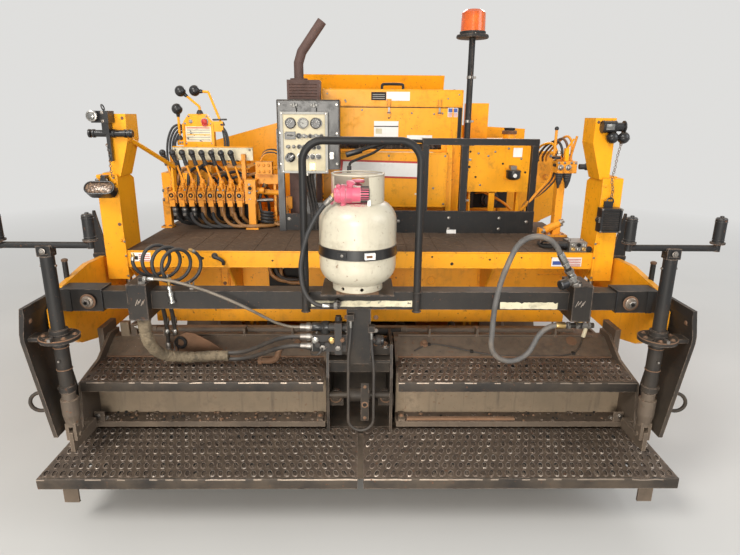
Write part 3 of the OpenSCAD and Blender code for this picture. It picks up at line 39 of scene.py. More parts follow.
def M(x, y, z):
    """Millimetres, with Y from the walkboards' rear edge, to metres in the row frame."""
    return Vector((x / 1000, (y - 1990) / 1000, z / 1000))


# Camera: at the photograph's place, looking down at the screed from behind
FOCAL_PX, PHOTO_WIDTH_PX, SENSOR_MM = 556, 740, 36
CAMERA_BACK, CAMERA_HIGH = 1.85, 1.65  # metres behind the walkboards' edge and over the ground
cam_data = bpy.data.cameras.new("camera")
cam_data.sensor_width = SENSOR_MM
cam_data.lens = SENSOR_MM * FOCAL_PX / PHOTO_WIDTH_PX
cam = bpy.data.objects.new("camera", cam_data)
bpy.context.scene.collection.objects.link(cam)
pitch, yaw, roll = math.radians(16.2), math.atan(9 / FOCAL_PX), math.radians(0.5)
cam.matrix_world = (Matrix.Translation((0, -CAMERA_BACK - 1.99, CAMERA_HIGH)) @ Matrix.Rotation(-yaw, 4, "Z")
                    @ Matrix.Rotation(math.pi / 2 - pitch, 4, "X") @ Matrix.Rotation(roll, 4, "Z"))
bpy.context.scene.camera = cam


# Materials: every one is made of nodes on object coordinates, which here are the row frame's metres
class Graph:
    def __init__(self, name):
        self.m = bpy.data.materials.new(name)
        self.m.use_nodes = True
        self.t = self.m.node_tree
        self.t.nodes.clear()
        self.bsdf = self.n("ShaderNodeBsdfPrincipled")
        out = self.n("ShaderNodeOutputMaterial")
        self.link(self.bsdf.outputs[0], out.inputs[0])
        self.tc = self.n("ShaderNodeTexCoord").outputs["Object"]
        self.normal = self.n("ShaderNodeNewGeometry").outputs["Normal"]

    def n(self, kind, **props):
        node = self.t.nodes.new(kind)
        for k, v in props.items():
            setattr(node, k, v)
        return node

    def link(self, a, b):
        self.t.links.new(a, b)

    def put(self, socket, value):
        if hasattr(value, "is_output"):
            self.link(value, socket)
        else:
            socket.default_value = value

    def space(self, stretch=(1, 1, 1), shift=(0, 0, 0)):
        node = self.n("ShaderNodeMapping")
        self.link(self.tc, node.inputs["Vector"])
        node.inputs["Scale"].default_value = stretch
        node.inputs["Location"].default_value = shift
        return node.outputs[0]

    def noise(self, scale, detail=4.0, rough=0.55, stretch=(1, 1, 1), shift=(0, 0, 0)):
        node = self.n("ShaderNodeTexNoise")
        self.link(self.space(stretch, shift), node.inputs["Vector"])
        node.inputs["Scale"].default_value = scale
        node.inputs["Detail"].default_value = detail
        node.inputs["Roughness"].default_value = rough
        return node.outputs[0]

    def cells(self, scale, stretch=(1, 1, 1), feature="F1"):
        node = self.n("ShaderNodeTexVoronoi", feature=feature)
        self.link(self.space(stretch), node.inputs["Vector"])
        node.inputs["Scale"].default_value = scale
        return node.outputs["Distance"]

    def fit(self, value, lo, hi, to_lo=0.0, to_hi=1.0):
        node = self.n("ShaderNodeMapRange")
        self.put(node.inputs[0], value)
        for i, v in enumerate((lo, hi, to_lo, to_hi)):
            node.inputs[i + 1].default_value = v
        return node.outputs[0]

    def math(self, op, a, b=0.0):
        node = self.n("ShaderNodeMath", operation=op)
        self.put(node.inputs[0], a)
        self.put(node.inputs[1], b)
        return node.outputs[0]

    def mix(self, fac, a, b):
        node = self.n("ShaderNodeMix", data_type="RGBA")
        self.put(node.inputs[0], fac)
        for s, v in ((node.inputs[6], a), (node.inputs[7], b)):
            self.put(s, v if hasattr(v, "is_output") else (*v, 1.0))
        return node.outputs[2]

    def height(self):
        node = self.n("ShaderNodeSeparateXYZ")
        self.link(self.tc, node.inputs[0])
        return node.outputs[2]

    def up(self):
        node = self.n("ShaderNodeSeparateXYZ")
        self.link(self.normal, node.inputs[0])
        return node.outputs[2]

    def edge(self, radius):
        """1 on edges within radius metres, from the bevelled normal against the true one."""
        bevel = self.n("ShaderNodeBevel", samples=4)
        bevel.inputs[0].default_value = radius
        dot = self.n("ShaderNodeVectorMath", operation="DOT_PRODUCT")
        self.link(bevel.outputs[0], dot.inputs[0])
        self.link(self.normal, dot.inputs[1])
        return self.fit(dot.outputs["Value"], 0.985, 0.85)

    def bump(self, value, strength, distance):
        node = self.n("ShaderNodeBump")
        node.inputs["Strength"].default_value = strength
        node.inputs["Distance"].default_value = distance
        self.put(node.inputs["Height"], value)
        self.link(node.outputs[0], self.bsdf.inputs["Normal"])

    def done(self, colour, rough, metal=0.0, coat=0.0):
        self.put(self.bsdf.inputs["Base Color"], colour if hasattr(colour, "is_output") else (*colour, 1.0))
        self.put(self.bsdf.inputs["Roughness"], rough)
        self.put(self.bsdf.inputs["Metallic"], metal)
        if coat:
            self.bsdf.inputs["Coat Weight"].default_value = coat
            self.bsdf.inputs["Coat Roughness"].default_value = 0.25
        return self.m


DUST = (0.40, 0.29, 0.19)
RUST = (0.16, 0.065, 0.03)


def worn(name, colour, rough=0.45, metal=0.0, grime=0.4, grime_colour=(0.05, 0.035, 0.02), dust=0.3, low_dust=0.5,
         rust=0.3, rust_colour=RUST, edge=0.6, edge_colour=None, edge_size=0.005, streaks=0.3, bump=0.08, coat=0.0,
         vary=0.14, spot=70.0, shine=0.5):
    """Painted or bare metal: tone variation, grime, runs, dust from below and on top, chips, worn edges."""
    g = Graph(name)
    pale = tuple(min(1.0, c * (1 + vary)) for c in colour)
    deep = tuple(c * (1 - 1.6 * vary) for c in colour)
    big = g.noise(1.7, 5, 0.6)
    c = g.mix(g.fit(big, 0.3, 0.7), deep, pale)
    fine = g.noise(24, 8, 0.68)
    soft = g.noise(6.5, 6, 0.62, shift=(3, 1, 2))
    g_mask = g.math("MULTIPLY", g.fit(fine, 0.50, 0.74), g.fit(soft, 0.40, 0.66))
    c = g.mix(g.math("MULTIPLY", g_mask, grime), c, grime_colour)
    side = g.fit(g.math("ABSOLUTE", g.up()), 0.7, 0.2)
    run = g.math("MULTIPLY", g.fit(g.noise(9, 4, 0.6, stretch=(5, 5, 0.35)), 0.56, 0.74), side)
    c = g.mix(g.math("MULTIPLY", run, streaks), c, tuple(0.35 * a + 0.65 * b for a, b in zip(colour, grime_colour)))
    low = g.math("MULTIPLY", g.fit(g.height(), 1.1, 0.05), g.fit(soft, 0.25, 0.7))
    top = g.math("MULTIPLY", g.fit(g.up(), 0.6, 0.98), g.fit(fine, 0.30, 0.62))
    d_mask = g.math("MAXIMUM", g.math("MULTIPLY", low, low_dust), g.math("MULTIPLY", top, dust))
    c = g.mix(d_mask, c, DUST)
    chips = g.math("MULTIPLY", g.fit(g.noise(spot, 3, 0.5, shift=(1, 5, 2)), 0.665, 0.70), g.fit(big, 0.38, 0.60))
    c = g.mix(g.math("MULTIPLY", chips, rust), c, rust_colour)
    wear = g.math("MULTIPLY", g.edge(edge_size), g.fit(g.noise(34, 6, 0.7, shift=(7, 2, 9)), 0.40, 0.58))
    c = g.mix(g.math("MULTIPLY", wear, edge), c, edge_colour or rust_colour)
    r = g.math("ADD", g.math("MULTIPLY", g.math("MAXIMUM", d_mask, g_mask), 0.35), rough)
    r = g.math("ADD", r, g.fit(big, 0.3, 0.7, -0.05, 0.05))
    hills = g.math("SUBTRACT", g.math("ADD", g.math("MULTIPLY", fine, 0.5), g.noise(160, 3, 0.5)), chips)
    g.bump(hills, bump, 0.002)
    g.bsdf.inputs["Specular IOR Level"].default_value = shine
    return g.done(c, r, metal, coat)


ORANGE = (0.90, 0.375, 0.010)
mats = {"orange": worn("orange_paint", ORANGE, rough=0.36, grime=0.5, dust=0.16, low_dust=0.30, rust=0.8, edge=0.5,
        streaks=0.22, vary=0.07, shine=0.3), "orange_dirty": worn("orange_paint_oily", (0.80, 0.31, 0.02),
        rough=0.42, grime=0.95, dust=0.2, low_dust=0.3, rust=0.9, edge=0.9, streaks=0.55, vary=0.12, spot=95,
        # The black material is black paint, and is also painted shade on the screed's middle, behind the lever bank
        # and at the housing's right edge.
        shine=0.3), "black": worn("black_paint_and_painted_shade", (0.015, 0.015, 0.0155), rough=0.48, grime=0.3,
        grime_colour=(0.07, 0.05, 0.035), dust=0.14, low_dust=0.22, rust=0.55, shine=0.25, edge=0.85,
        edge_colour=(0.24, 0.18, 0.14), streaks=0.2, vary=0.2), "screed": worn("screed_steel",
        (0.095, 0.073, 0.056), rough=0.62, metal=0.25, grime=0.9, grime_colour=(0.022, 0.018, 0.016), dust=0.34,
        low_dust=0.26, rust=0.8, edge=0.9, edge_colour=(0.35, 0.26, 0.19), streaks=0.6, bump=0.25, vary=0.25,
        spot=48), "face": worn("screed_face", (0.20, 0.155, 0.105), rough=0.66, metal=0.1, grime=0.9,
        grime_colour=(0.05, 0.045, 0.04), dust=0.3, low_dust=0.4, rust=0.5, edge=0.6, streaks=0.95, bump=0.2,
        vary=0.2), "tread": worn("tread_plate", (0.060, 0.043, 0.035), rough=0.62, metal=0.3, grime=0.9,
        grime_colour=(0.02, 0.016, 0.014), dust=0.22, low_dust=0.2, rust=0.7, edge=1.0,
        edge_colour=(0.42, 0.33, 0.26), edge_size=0.004, streaks=0.1, bump=0.5, vary=0.3, spot=40),
        "bright": worn("worn_edge_steel", (0.34, 0.28, 0.23), rough=0.42, metal=0.8, grime=0.9, dust=0.3,
        low_dust=0.2, rust=0.9, edge=0.5, edge_colour=(0.6, 0.55, 0.5), vary=0.3, spot=60),
        "deck": worn("deck_tread", (0.070, 0.037, 0.018), rough=0.78, grime=0.8, grime_colour=(0.03, 0.02, 0.014),
        dust=0.10, low_dust=0.0, rust=0.5, edge=0.5, edge_colour=(0.28, 0.19, 0.12), bump=0.6, vary=0.25,
        spot=55), "track": worn("track_steel", (0.10, 0.078, 0.062), rough=0.66, metal=0.35, grime=0.8, dust=0.6,
        low_dust=0.75, rust=0.7, edge=0.9, edge_colour=(0.36, 0.31, 0.26), bump=0.4, vary=0.3),
        "steel": worn("bare_steel", (0.27, 0.255, 0.235), rough=0.42, metal=0.9, grime=0.8, dust=0.2, low_dust=0.2,
        rust=0.7, edge=0.3, vary=0.12), "chrome": worn("bright_fitting", (0.40, 0.39, 0.365), rough=0.30,
        metal=1.0, grime=0.55, dust=0.1, low_dust=0.0, rust=0.35, edge=0.2, vary=0.08, bump=0.03),
        "brass": worn("brass_fitting", (0.62, 0.42, 0.17), rough=0.32, metal=0.9, grime=0.7, dust=0.1,
        low_dust=0.0, rust=0.2, edge=0.2), "rusty": worn("rusty_steel", (0.17, 0.085, 0.045), rough=0.74,
        metal=0.2, grime=0.8, dust=0.35, low_dust=0.3, rust=0.9, rust_colour=(0.28, 0.12, 0.05), edge=0.5,
        edge_colour=(0.30, 0.2, 0.14), bump=0.45, vary=0.35, spot=45), "pipe": worn("exhaust_steel",
        (0.115, 0.068, 0.058), rough=0.72, metal=0.25, grime=0.5, dust=0.2, low_dust=0.0, rust=0.8,
        rust_colour=(0.25, 0.10, 0.05), edge=0.4, bump=0.35, vary=0.3), "cylinder": worn("cream_paint",
        (0.54, 0.50, 0.395), rough=0.34, grime=0.6, grime_colour=(0.22, 0.18, 0.12), dust=0.1, low_dust=0.0,
        rust=0.7, edge=0.5, streaks=0.25, coat=0.15, vary=0.05, spot=60), "panel": worn("panel_paint",
        (0.54, 0.47, 0.30), rough=0.42, grime=0.4, grime_colour=(0.2, 0.15, 0.08), dust=0.06, low_dust=0.0,
        rust=0.3, edge=0.4, streaks=0.15, vary=0.05), "grey": worn("grey_trim", (0.36, 0.355, 0.33), rough=0.5,
        metal=0.1, grime=0.4, dust=0.1, low_dust=0.1, edge=0.3), "cream": worn("cream_sticker",
        (0.68, 0.62, 0.44), rough=0.55, grime=0.95, grime_colour=(0.10, 0.08, 0.06), dust=0.1, low_dust=0.0,
        rust=0.9, rust_colour=(0.03, 0.03, 0.03), edge=0.0, streaks=0.0, spot=34, bump=0.05),
        "white": worn("white_sticker", (0.80, 0.79, 0.76), rough=0.5, grime=0.35, grime_colour=(0.3, 0.26, 0.2),
        dust=0.06, low_dust=0.0, rust=0.25, edge=0.0, streaks=0.1, bump=0.03, vary=0.03),
        "red": worn("red_sticker", (0.48, 0.028, 0.018), rough=0.45, grime=0.4, dust=0.08, low_dust=0.0, rust=0.2,
        edge=0.0, vary=0.1, bump=0.03), "blue": worn("blue_sticker", (0.05, 0.09, 0.32), rough=0.5, grime=0.3,
        dust=0.08, low_dust=0.0, rust=0.1, edge=0.0, bump=0.03), "pink": worn("pink_regulator",
        (0.60, 0.10, 0.17), rough=0.42, grime=0.9, grime_colour=(0.13, 0.08, 0.08), dust=0.15, low_dust=0.0,
        rust=0.5, edge=0.6, edge_colour=(0.5, 0.4, 0.4), bump=0.15, vary=0.15), "rubber": worn("black_rubber",
        (0.020, 0.020, 0.021), rough=0.55, grime=0.35, grime_colour=(0.10, 0.075, 0.055), dust=0.30,
        low_dust=0.25, rust=0.0, edge=0.2, edge_colour=(0.1, 0.09, 0.08), bump=0.12, vary=0.2),
        "plastic": worn("black_plastic", (0.014, 0.014, 0.015), rough=0.32, grime=0.2,
        grime_colour=(0.08, 0.06, 0.05), dust=0.2, low_dust=0.0, rust=0.0, edge=0.2,
        # The dark material serves near-black parts, and is also painted shade: in the tread slits, the bulkhead's
        # windows, a strap hole, under the deck's band and behind the pump.
        edge_colour=(0.08, 0.07, 0.07), bump=0.04), "dark": worn("near_black_and_painted_shade", (0.010, 0.009, 0.008), rough=0.8,
        grime=0.2, dust=0.05, low_dust=0.0, rust=0.0, edge=0.0), "engine": worn("engine_iron",
        (0.045, 0.042, 0.040), rough=0.6, metal=0.4, grime=0.7, dust=0.2, low_dust=0.0, rust=0.6, edge=0.4,
        bump=0.3), "oily": worn("oily_hose", (0.32, 0.15, 0.045), rough=0.45, grime=0.9,
        grime_colour=(0.03, 0.025, 0.02), dust=0.2, low_dust=0.1, rust=0.0, edge=0.2,
        edge_colour=(0.4, 0.25, 0.1), bump=0.2, vary=0.35), }


def woven(name, colour, dark, scale, rough, metal=0.0, dusty=0.3):
    """A braided hose cover: two crossed sets of fine waves."""
    g = Graph(name)
    waves = []
    for way in ((1, 0.35, 1), (-1, 0.35, 1)):
        w = g.n("ShaderNodeTexWave", wave_type="BANDS", bands_direction="DIAGONAL")
        g.link(g.space(way), w.inputs["Vector"])
        w.inputs["Scale"].default_value = scale
        w.inputs["Distortion"].default_value = 0.6
        waves.append(w.outputs["Fac"])
    weave = g.math("MAXIMUM", waves[0], waves[1])
    c = g.mix(weave, dark, colour)
    grime = g.noise(11, 6, 0.65)
    c = g.mix(g.fit(grime, 0.50, 0.72, 0.0, 0.7), c, dark)
    c = g.mix(g.fit(g.noise(7, 5, 0.6, shift=(2, 2, 2)), 0.5, 0.75, 0.0, dusty), c, DUST)
    g.bump(weave, 0.35, 0.001)
    return g.done(c, g.fit(grime, 0.3, 0.7, rough, rough + 0.2), metal)


mats["grey_hose"] = woven("grey_hose_cover", (0.13, 0.125, 0.12), (0.05, 0.047, 0.045), 260, 0.45)
mats["steel_hose"] = woven("steel_braid", (0.26, 0.225, 0.18), (0.08, 0.06, 0.045), 420, 0.42, 0.4)


def wrap_cloth():
    g = Graph("oily_wrap_cloth")
    big = g.noise(9, 8, 0.7)
    c = g.mix(g.fit(big, 0.3, 0.7), (0.035, 0.026, 0.018), (0.30, 0.235, 0.15))
    c = g.mix(g.fit(g.noise(40, 6, 0.7, shift=(4, 4, 1)), 0.52, 0.68, 0.0, 0.75), c, (0.05, 0.04, 0.028))
    folds = g.math("ADD", g.noise(30, 8, 0.7, stretch=(2.2, 1, 1)), g.math("MULTIPLY", g.noise(240, 2), 0.25))
    g.bump(folds, 0.8, 0.008)
    return g.done(c, g.fit(big, 0.3, 0.7, 0.95, 0.7))


mats["wrap"] = wrap_cloth()


def amber():
    g = Graph("amber_lens")
    c = g.mix(g.fit(g.noise(14, 4), 0.4, 0.7), (0.86, 0.16, 0.012), (0.60, 0.09, 0.008))
    g.bump(g.noise(90, 2), 0.05, 0.001)
    m = g.done(c, 0.2, 0.0, 0.4)
    g.bsdf.inputs["Transmission Weight"].default_value = 0.35
    g.bsdf.inputs["IOR"].default_value = 1.45
    return m


def lamp_glass(name, colour, dots):
    """A lamp's front: lens cells, each painted bright in its middle and dark to its border, as painted glints and
    shade on the facets.
    """
    g = Graph(name)
    cell = g.cells(dots)
    # Bright cell middles and dark borders: painted glints and shade on the lens facets.
    c = g.mix(g.fit(cell, 0.1, 0.6), colour, tuple(v * 0.25 for v in colour))
    g.bump(cell, 0.5, 0.003)
    return g.done(c, 0.18, 0.2, 0.6)


mats["amber"] = amber()
mats["lamp"] = lamp_glass("lamp_lens", (0.36, 0.22, 0.13), 120)
mats["clear"] = lamp_glass("clear_lens", (0.5, 0.5, 0.48), 40)


# Geometry: pieces are built in the part's millimetres and end up in metres at the origin
def smooth_path(points, steps=6):
    """Catmull-Rom points through a route."""
    out = []
    p = [Vector(q) for q in points]
    for i in range(len(p) - 1):
        a, b, c, d = p[max(i - 1, 0)], p[i], p[i + 1], p[min(i + 2, len(p) - 1)]
        for k in range(steps):
            t = k / steps
            out.append(0.5 * ((2 * b) + (c - a) * t + (2 * a - 5 * b + 4 * c - d) * t * t
                              + (3 * b - 3 * c + d - a) * t ** 3))
    out.append(p[-1])
    return out


def frame_of(t):
    t = Vector(t).normalized()
    u = t.orthogonal().normalized()
    return t, u, t.cross(u)


REAR, FRONT, LEFT, RIGHT, UP, DOWN = (0, -1, 0), (0, 1, 0), (-1, 0, 0), (1, 0, 0), (0, 0, 1), (0, 0, -1)


class Kit:
    """Many small shapes that make up one piece on one body."""

    def __init__(self, name, body, slot, *materials):
        self.name, self.body, self.slot, self.materials = name, body, slot, materials
        self.bm = bmesh.new()

    def face(self, verts, mat, smooth=False):
        try:
            f = self.bm.faces.new(verts)
            f.material_index = mat
            f.smooth = smooth
        except ValueError:
            pass

    def vert(self, p):
        return self.bm.verts.new(M(*p))

    def box(self, x0, x1, y0, y1, z0, z1, mat=0, turn=None, about=None):
        pts = [(x, y, z) for x in (x0, x1) for y in (y0, y1) for z in (z0, z1)]
        if turn:
            c = Vector(about or ((x0 + x1) / 2, (y0 + y1) / 2, (z0 + z1) / 2))
            pts = [tuple(c + turn @ (Vector(p) - c)) for p in pts]
        v = [self.vert(p) for p in pts]
        for f in ((0, 1, 3, 2), (4, 6, 7, 5), (0, 4, 5, 1), (2, 3, 7, 6), (0, 2, 6, 4), (1, 5, 7, 3)):
            self.face([v[i] for i in f], mat)

    def lathe(self, base, axis, profile, mat=0, n=24, smooth=True, caps=True):
        """profile is (radius, distance along the axis) pairs."""
        t, u, w = frame_of(axis)
        rings = []
        for r, h in profile:
            c = Vector(base) + t * h
            turns = [2 * math.pi * k / n for k in range(n)]
            rings.append([self.vert(c + r * (math.cos(a) * u + math.sin(a) * w)) for a in turns])
        for a, b in zip(rings, rings[1:]):
            for k in range(n):
                self.face([a[k], a[(k + 1) % n], b[(k + 1) % n], b[k]], mat, smooth)
        if caps:
            self.face(rings[0][::-1], mat)
            self.face(rings[-1], mat)

    def rod(self, a, b, r, mat=0, n=20, r2=None, soft=0.0):
        a, b = Vector(a), Vector(b)
        h, r2 = (b - a).length, r if r2 is None else r2
        if soft:
            prof = [(r - soft, 0), (r - 0.3 * soft, 0.3 * soft), (r, soft), (r2, h - soft),
                    (r2 - 0.3 * soft, h - 0.3 * soft), (r2 - soft, h)]
        else:
            prof = [(r, 0), (r2, h)]
        self.lathe(a, b - a, prof, mat, n)

    def bolt(self, p, axis, r, mat=0, washer=True):
        t, u, w = frame_of(axis)
        p = Vector(p)
        if washer:
            self.lathe(p, t, [(r * 1.65, 0), (r * 1.65, r * 0.22), (r * 1.5, r * 0.3)], mat, 20)
        self.lathe(p + t * r * 0.25, t, [(r * 1.12, 0), (r * 1.12, r * 0.62), (r * 0.92, r * 0.82)], mat, 6,
                smooth=False)

    def nut(self, base, axis, profile, mat=0):
        """A lathe with six flats."""
        self.lathe(base, axis, profile, mat, 6, smooth=False)

    def ball(self, c, r, mat=0, n=16, squash=(1, 1, 1)):
        rings = n // 2
        rows = []
        for i in range(1, rings):
            a = math.pi * i / rings
            rows.append([self.vert((c[0] + squash[0] * r * math.sin(a) * math.cos(2 * math.pi * k / n),
                                    c[1] + squash[1] * r * math.sin(a) * math.sin(2 * math.pi * k / n),
                                    c[2] + squash[2] * r * math.cos(a))) for k in range(n)])
        top, low = self.vert((c[0], c[1], c[2] + squash[2] * r)), self.vert((c[0], c[1], c[2] - squash[2] * r))
        for a, b in zip(rows, rows[1:]):
            for k in range(n):
                self.face([a[k], b[k], b[(k + 1) % n], a[(k + 1) % n]], mat, True)
        for k in range(n):
            self.face([top, rows[0][k], rows[0][(k + 1) % n]], mat, True)
            self.face([low, rows[-1][(k + 1) % n], rows[-1][k]], mat, True)

    def tube(self, points, r, mat=0, n=10, steps=5, ends=None, ripple=None):
        """A round tube along a smooth route; ripple(i, k) scales single points."""
        pts = smooth_path(points, steps) if steps > 1 else [Vector(p) for p in points]
        side = None
        rings = []
        for i, p in enumerate(pts):
            t = (pts[min(i + 1, len(pts) - 1)] - pts[max(i - 1, 0)]).normalized()
            side = t.orthogonal() if side is None else side - side.dot(t) * t
            side.normalize()
            up = t.cross(side)
            rr = r(i / (len(pts) - 1)) if callable(r) else r
            ring = []
            for k in range(n):
                a, scale = 2 * math.pi * k / n, rr * (ripple(i, k) if ripple else 1)
                ring.append(self.vert(p + scale * (math.cos(a) * side + math.sin(a) * up)))
            rings.append(ring)
        for a, b in zip(rings, rings[1:]):
            for k in range(n):
                self.face([a[k], a[(k + 1) % n], b[(k + 1) % n], b[k]], mat, True)
        self.face(rings[0][::-1], mat)
        self.face(rings[-1], mat)
        return pts

    def plate(self, outline, axis, a, b, mat=0):
        """An outline in the two other axes, pulled from a to b along axis."""
        def at(p, d):
            return {"x": (d, p[0], p[1]), "y": (p[0], d, p[1]), "z": (p[0], p[1], d)}[axis]
        low, high = [self.vert(at(p, a)) for p in outline], [self.vert(at(p, b)) for p in outline]
        n = len(outline)
        for k in range(n):
            self.face([low[k], low[(k + 1) % n], high[(k + 1) % n], high[k]], mat)
        self.face(low[::-1], mat)
        self.face(high, mat)

    def torus(self, c, axis, big, small, mat=0, n=32, m=10):
        t, u, w = frame_of(axis)
        rows = []
        for i in range(n):
            a = 2 * math.pi * i / n
            out = math.cos(a) * u + math.sin(a) * w
            rows.append([self.vert(Vector(c) + out * (big + small * math.cos(2 * math.pi * k / m))
                                   + t * small * math.sin(2 * math.pi * k / m)) for k in range(m)])
        for i in range(n):
            a, b = rows[i], rows[(i + 1) % n]
            for k in range(m):
                self.face([a[k], a[(k + 1) % m], b[(k + 1) % m], b[k]], mat, True)

    def done(self, bevel=0.0, angle=35, replaces=()):
        bmesh.ops.recalc_face_normals(self.bm, faces=self.bm.faces)
        mesh = bpy.data.meshes.new(self.name)
        self.bm.to_mesh(mesh)
        self.bm.free()
        o = bpy.data.objects.new(self.name, mesh)
        bpy.context.scene.collection.objects.link(o)
        for m in self.materials:
            mesh.materials.append(mats[m])
        mesh.set_sharp_from_angle(angle=math.radians(angle))
        if bevel:
            b = o.modifiers.new("bevel", "BEVEL")
            b.width, b.segments, b.limit_method, b.angle_limit = bevel / 1000, 2, "ANGLE", math.radians(38)
        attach(o, self.body)
        if replaces:
            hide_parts(*replaces)
        return o


def curve_piece(name, pts, r, material, node):
    """A round curve through points in metres, which stands for a CAD node of the screed."""
    data = bpy.data.curves.new(name, "CURVE")
    data.dimensions = "3D"
    spline = data.splines.new("POLY")
    spline.points.add(len(pts) - 1)
    for q, p in zip(spline.points, pts):
        q.co = (*p, 1)
    data.bevel_depth, data.bevel_resolution, data.use_fill_caps = r / 1000, 5, True
    data.materials.append(mats[material])
    o = bpy.data.objects.new(name, data)
    bpy.context.scene.collection.objects.link(o)
    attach(o, "screed")
    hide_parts(node)
    return o


def route_of(node, start):
    """Middles of the rings of corners along a CAD hose, in the part's millimetres, from its end at start."""
    bm = bmesh.new()
    bm.from_mesh(nodes[node].data)
    bmesh.ops.remove_doubles(bm, verts=bm.verts, dist=1e-5)
    first = min((v.co - M(*start)).length for v in bm.verts)
    ring = {v for v in bm.verts if (v.co - M(*start)).length < 1.05 * first}
    seen, route = set(), []
    while ring:
        c = sum((v.co for v in ring), Vector()) / len(ring)
        route.append((round(c.x * 1000, 1), round(c.y * 1000 + 1990, 1), round(c.z * 1000, 1)))
        seen |= ring
        ring = {e.other_vert(v) for v in ring for e in v.link_edges} - seen
    bm.free()
    return route


def cord_piece(name, start, r, material, slot, node, **facts):
    """A free hose along its CAD node, from its end at start."""
    pts = [M(*p) for p in smooth_path(route_of(node, start), 5)]
    o = curve_piece(name, pts, r, material, node)


cord_piece("grey_pressure_hose", (776, 250, 1140), 11, "grey_hose", "grey_hose", "hose_grey", far_end="object",
           stiffness="stiff")
cord_piece("steel_braided_line", (-847.7, 270, 1024), 6, "steel_hose", "steel_hose", "hose_steel",
           far_end="object", stiffness="medium")
cord_piece("upper_black_hose", (-589.7, 446, 632), 10, "rubber", "rubber", "hose_upper", far_end="object",
           stiffness="stiff")
cord_piece("lower_black_hose", (-589.7, 449, 600), 10, "rubber", "rubber", "hose_lower", far_end="object",
           stiffness="stiff")
cord_piece("gas_supply_hose", (-120, 262, 1344), 9, "rubber", "rubber", "gas_hose", far_end="object",
           stiffness="medium")
cord_piece("column_loop_hose", (-43, 292, 844.7), 6, "rubber", "rubber", "column_hose", far_end="object",
           stiffness="medium", lay="hanging")


def hank():
    """Loops of black hose in a leaning coil, over the clamp and the beam, with brass and steel ends."""
    turns, n, r = 3.75, 30, 7.2
    ca, sa = math.cos(math.radians(40)), math.sin(math.radians(40))
    route = []
    for i in range(int(turns * n) + 1):
        s = i / (turns * n)
        a = math.radians(-200) + 2 * math.pi * i / n
        big = 64 + 9 * s
        h = big * math.cos(a)
        sag = 30 * s * s * (3 - 2 * s)
        route.append((-868 + 150 * s + h * ca, 358 + h * sa, 1078 - sag + big * math.sin(a)))
    pts = [M(*p) for p in route]
    o = curve_piece("black_hose_hank", pts, r, "rubber", "hose_hank")
    k = Kit("hank_end_fittings", "screed", "bare_steel", "brass", "chrome")
    for end, inner in ((route[0], route[1]), (route[-1], route[-2])):
        t = (Vector(end) - Vector(inner)).normalized()
        a = Vector(end) - 14 * t
        k.lathe(a, t, [(7.2, 0), (7.8, 2), (7.8, 14), (7.2, 16)], 1, 16)
        k.nut(a + 15 * t, t, [(8.2, 0), (8.2, 9)])
        k.lathe(a + 24 * t, t, [(5, 0), (5, 6)], 0, 14)
    ends = k.done(0.5)


hank()


def wrapped_hose():
    """The bundle in its oily cloth: a lumpy tube that follows the CAD route."""
    k = Kit("wrapped_hose_bundle", "screed", "wrap_fabric", "wrap")
    rng = random.Random(3)
    lumps = [[1 + rng.uniform(-0.10, 0.05) for _ in range(20)] for _ in range(120)]
    path = k.tube(route_of("hose_wrapped", (-889, 300, 853.7)),
                  lambda s: 27.5 * (1 - 0.12 * s + 0.03 * math.sin(40 * s)), n=20, steps=10,
                  ripple=lambda i, j: lumps[i // 2][j] * (0.93 if i % 9 == 0 else 1))
    o = k.done(angle=80, replaces=("hose_wrapped",))
    sub = o.modifiers.new("round", "SUBSURF")
    sub.levels = sub.render_levels = 1


wrapped_hose()


# CAD nodes: materials by node, and by place on a node that carries more than one
def paint(name, main, *rules):
    """Each rule is (material, test of the face's middle in part millimetres and its normal)."""
    o = nodes[name]
    me = o.data
    me.materials.clear()
    for m in (main,) + tuple(r[0] for r in rules):
        me.materials.append(mats[m])
    for p in me.polygons:
        c = Vector((p.center.x * 1000, p.center.y * 1000 + 1990, p.center.z * 1000))
        p.material_index = 0
        for i, (_, test) in enumerate(rules):
            if test(c, p.normal):
                p.material_index = i + 1
                break


def near(c, points, r):
    return min((c - Vector(p)).length for p in points) < r


def off_axis(c):
    """Distance from the gas cylinder's axis."""
    return math.hypot(c.x + 15, c.y - 350)


def on_regulator(c, n):
    """Valve, regulator and the nut of the gas hose."""
    nut = c.z > 1320 and c.x < -110 and 270 < c.y < 370 and abs(c.z - 1351) < 31
    return (c.z > 1325 and off_axis(c) < 98.5) or (c.z > 1322 and c.y < 245) or nut


GRIPS = ((-1020, 1450, 1775), (-940, 1450, 1778), (-1046, 1450, 1679))  # balls of the console's levers
SIDES = ((-1, "left"), (1, "right"))
DECK_Z, DECK_EDGE = 1035, 700  # the deck's top, and its rear edge
BANK_Y, LEVER_X, LEVER_GAP, LEVERS = 1240, -1045, 53, 8  # the lever bank
WALK_Z, STEP_Z = 300, 570  # tops of the walkboards and of the screed's upper step
TOWER_IN, TOWER_OUT = 1105.3, 1196  # the towers' faces from the middle
HOOD_Y, COVER_Y, CONSOLE_Y, TANK_Y = 1600, 1508, 1450, 1550  # rear faces: hood, its cover, console, tank
CRANK_X, CRANK_Y = 1150, 140  # the depth screws
SPROCKET_Y, IDLER_Y, AXLE_Z = 1625, 3075, 265  # the tracks' axles
PUSH_Y, PUSH_Z = 3905, 430  # the push rollers' axle
HOPPER_WALL_Y = 2313
paint("main_frame", "orange")
paint("deck", "orange", ("deck", lambda c, n: n.z > 0.5 and c.z > 1030))
for n in ("tower_left", "tower_right", "tow_arm_left", "tow_arm_right", "wing_left", "wing_right", "engine_housing",
          "hood_lid", "fuel_tank", "hydraulic_tank", "auger_case", "track_frame_left", "track_frame_right"):
    paint(n, "orange")
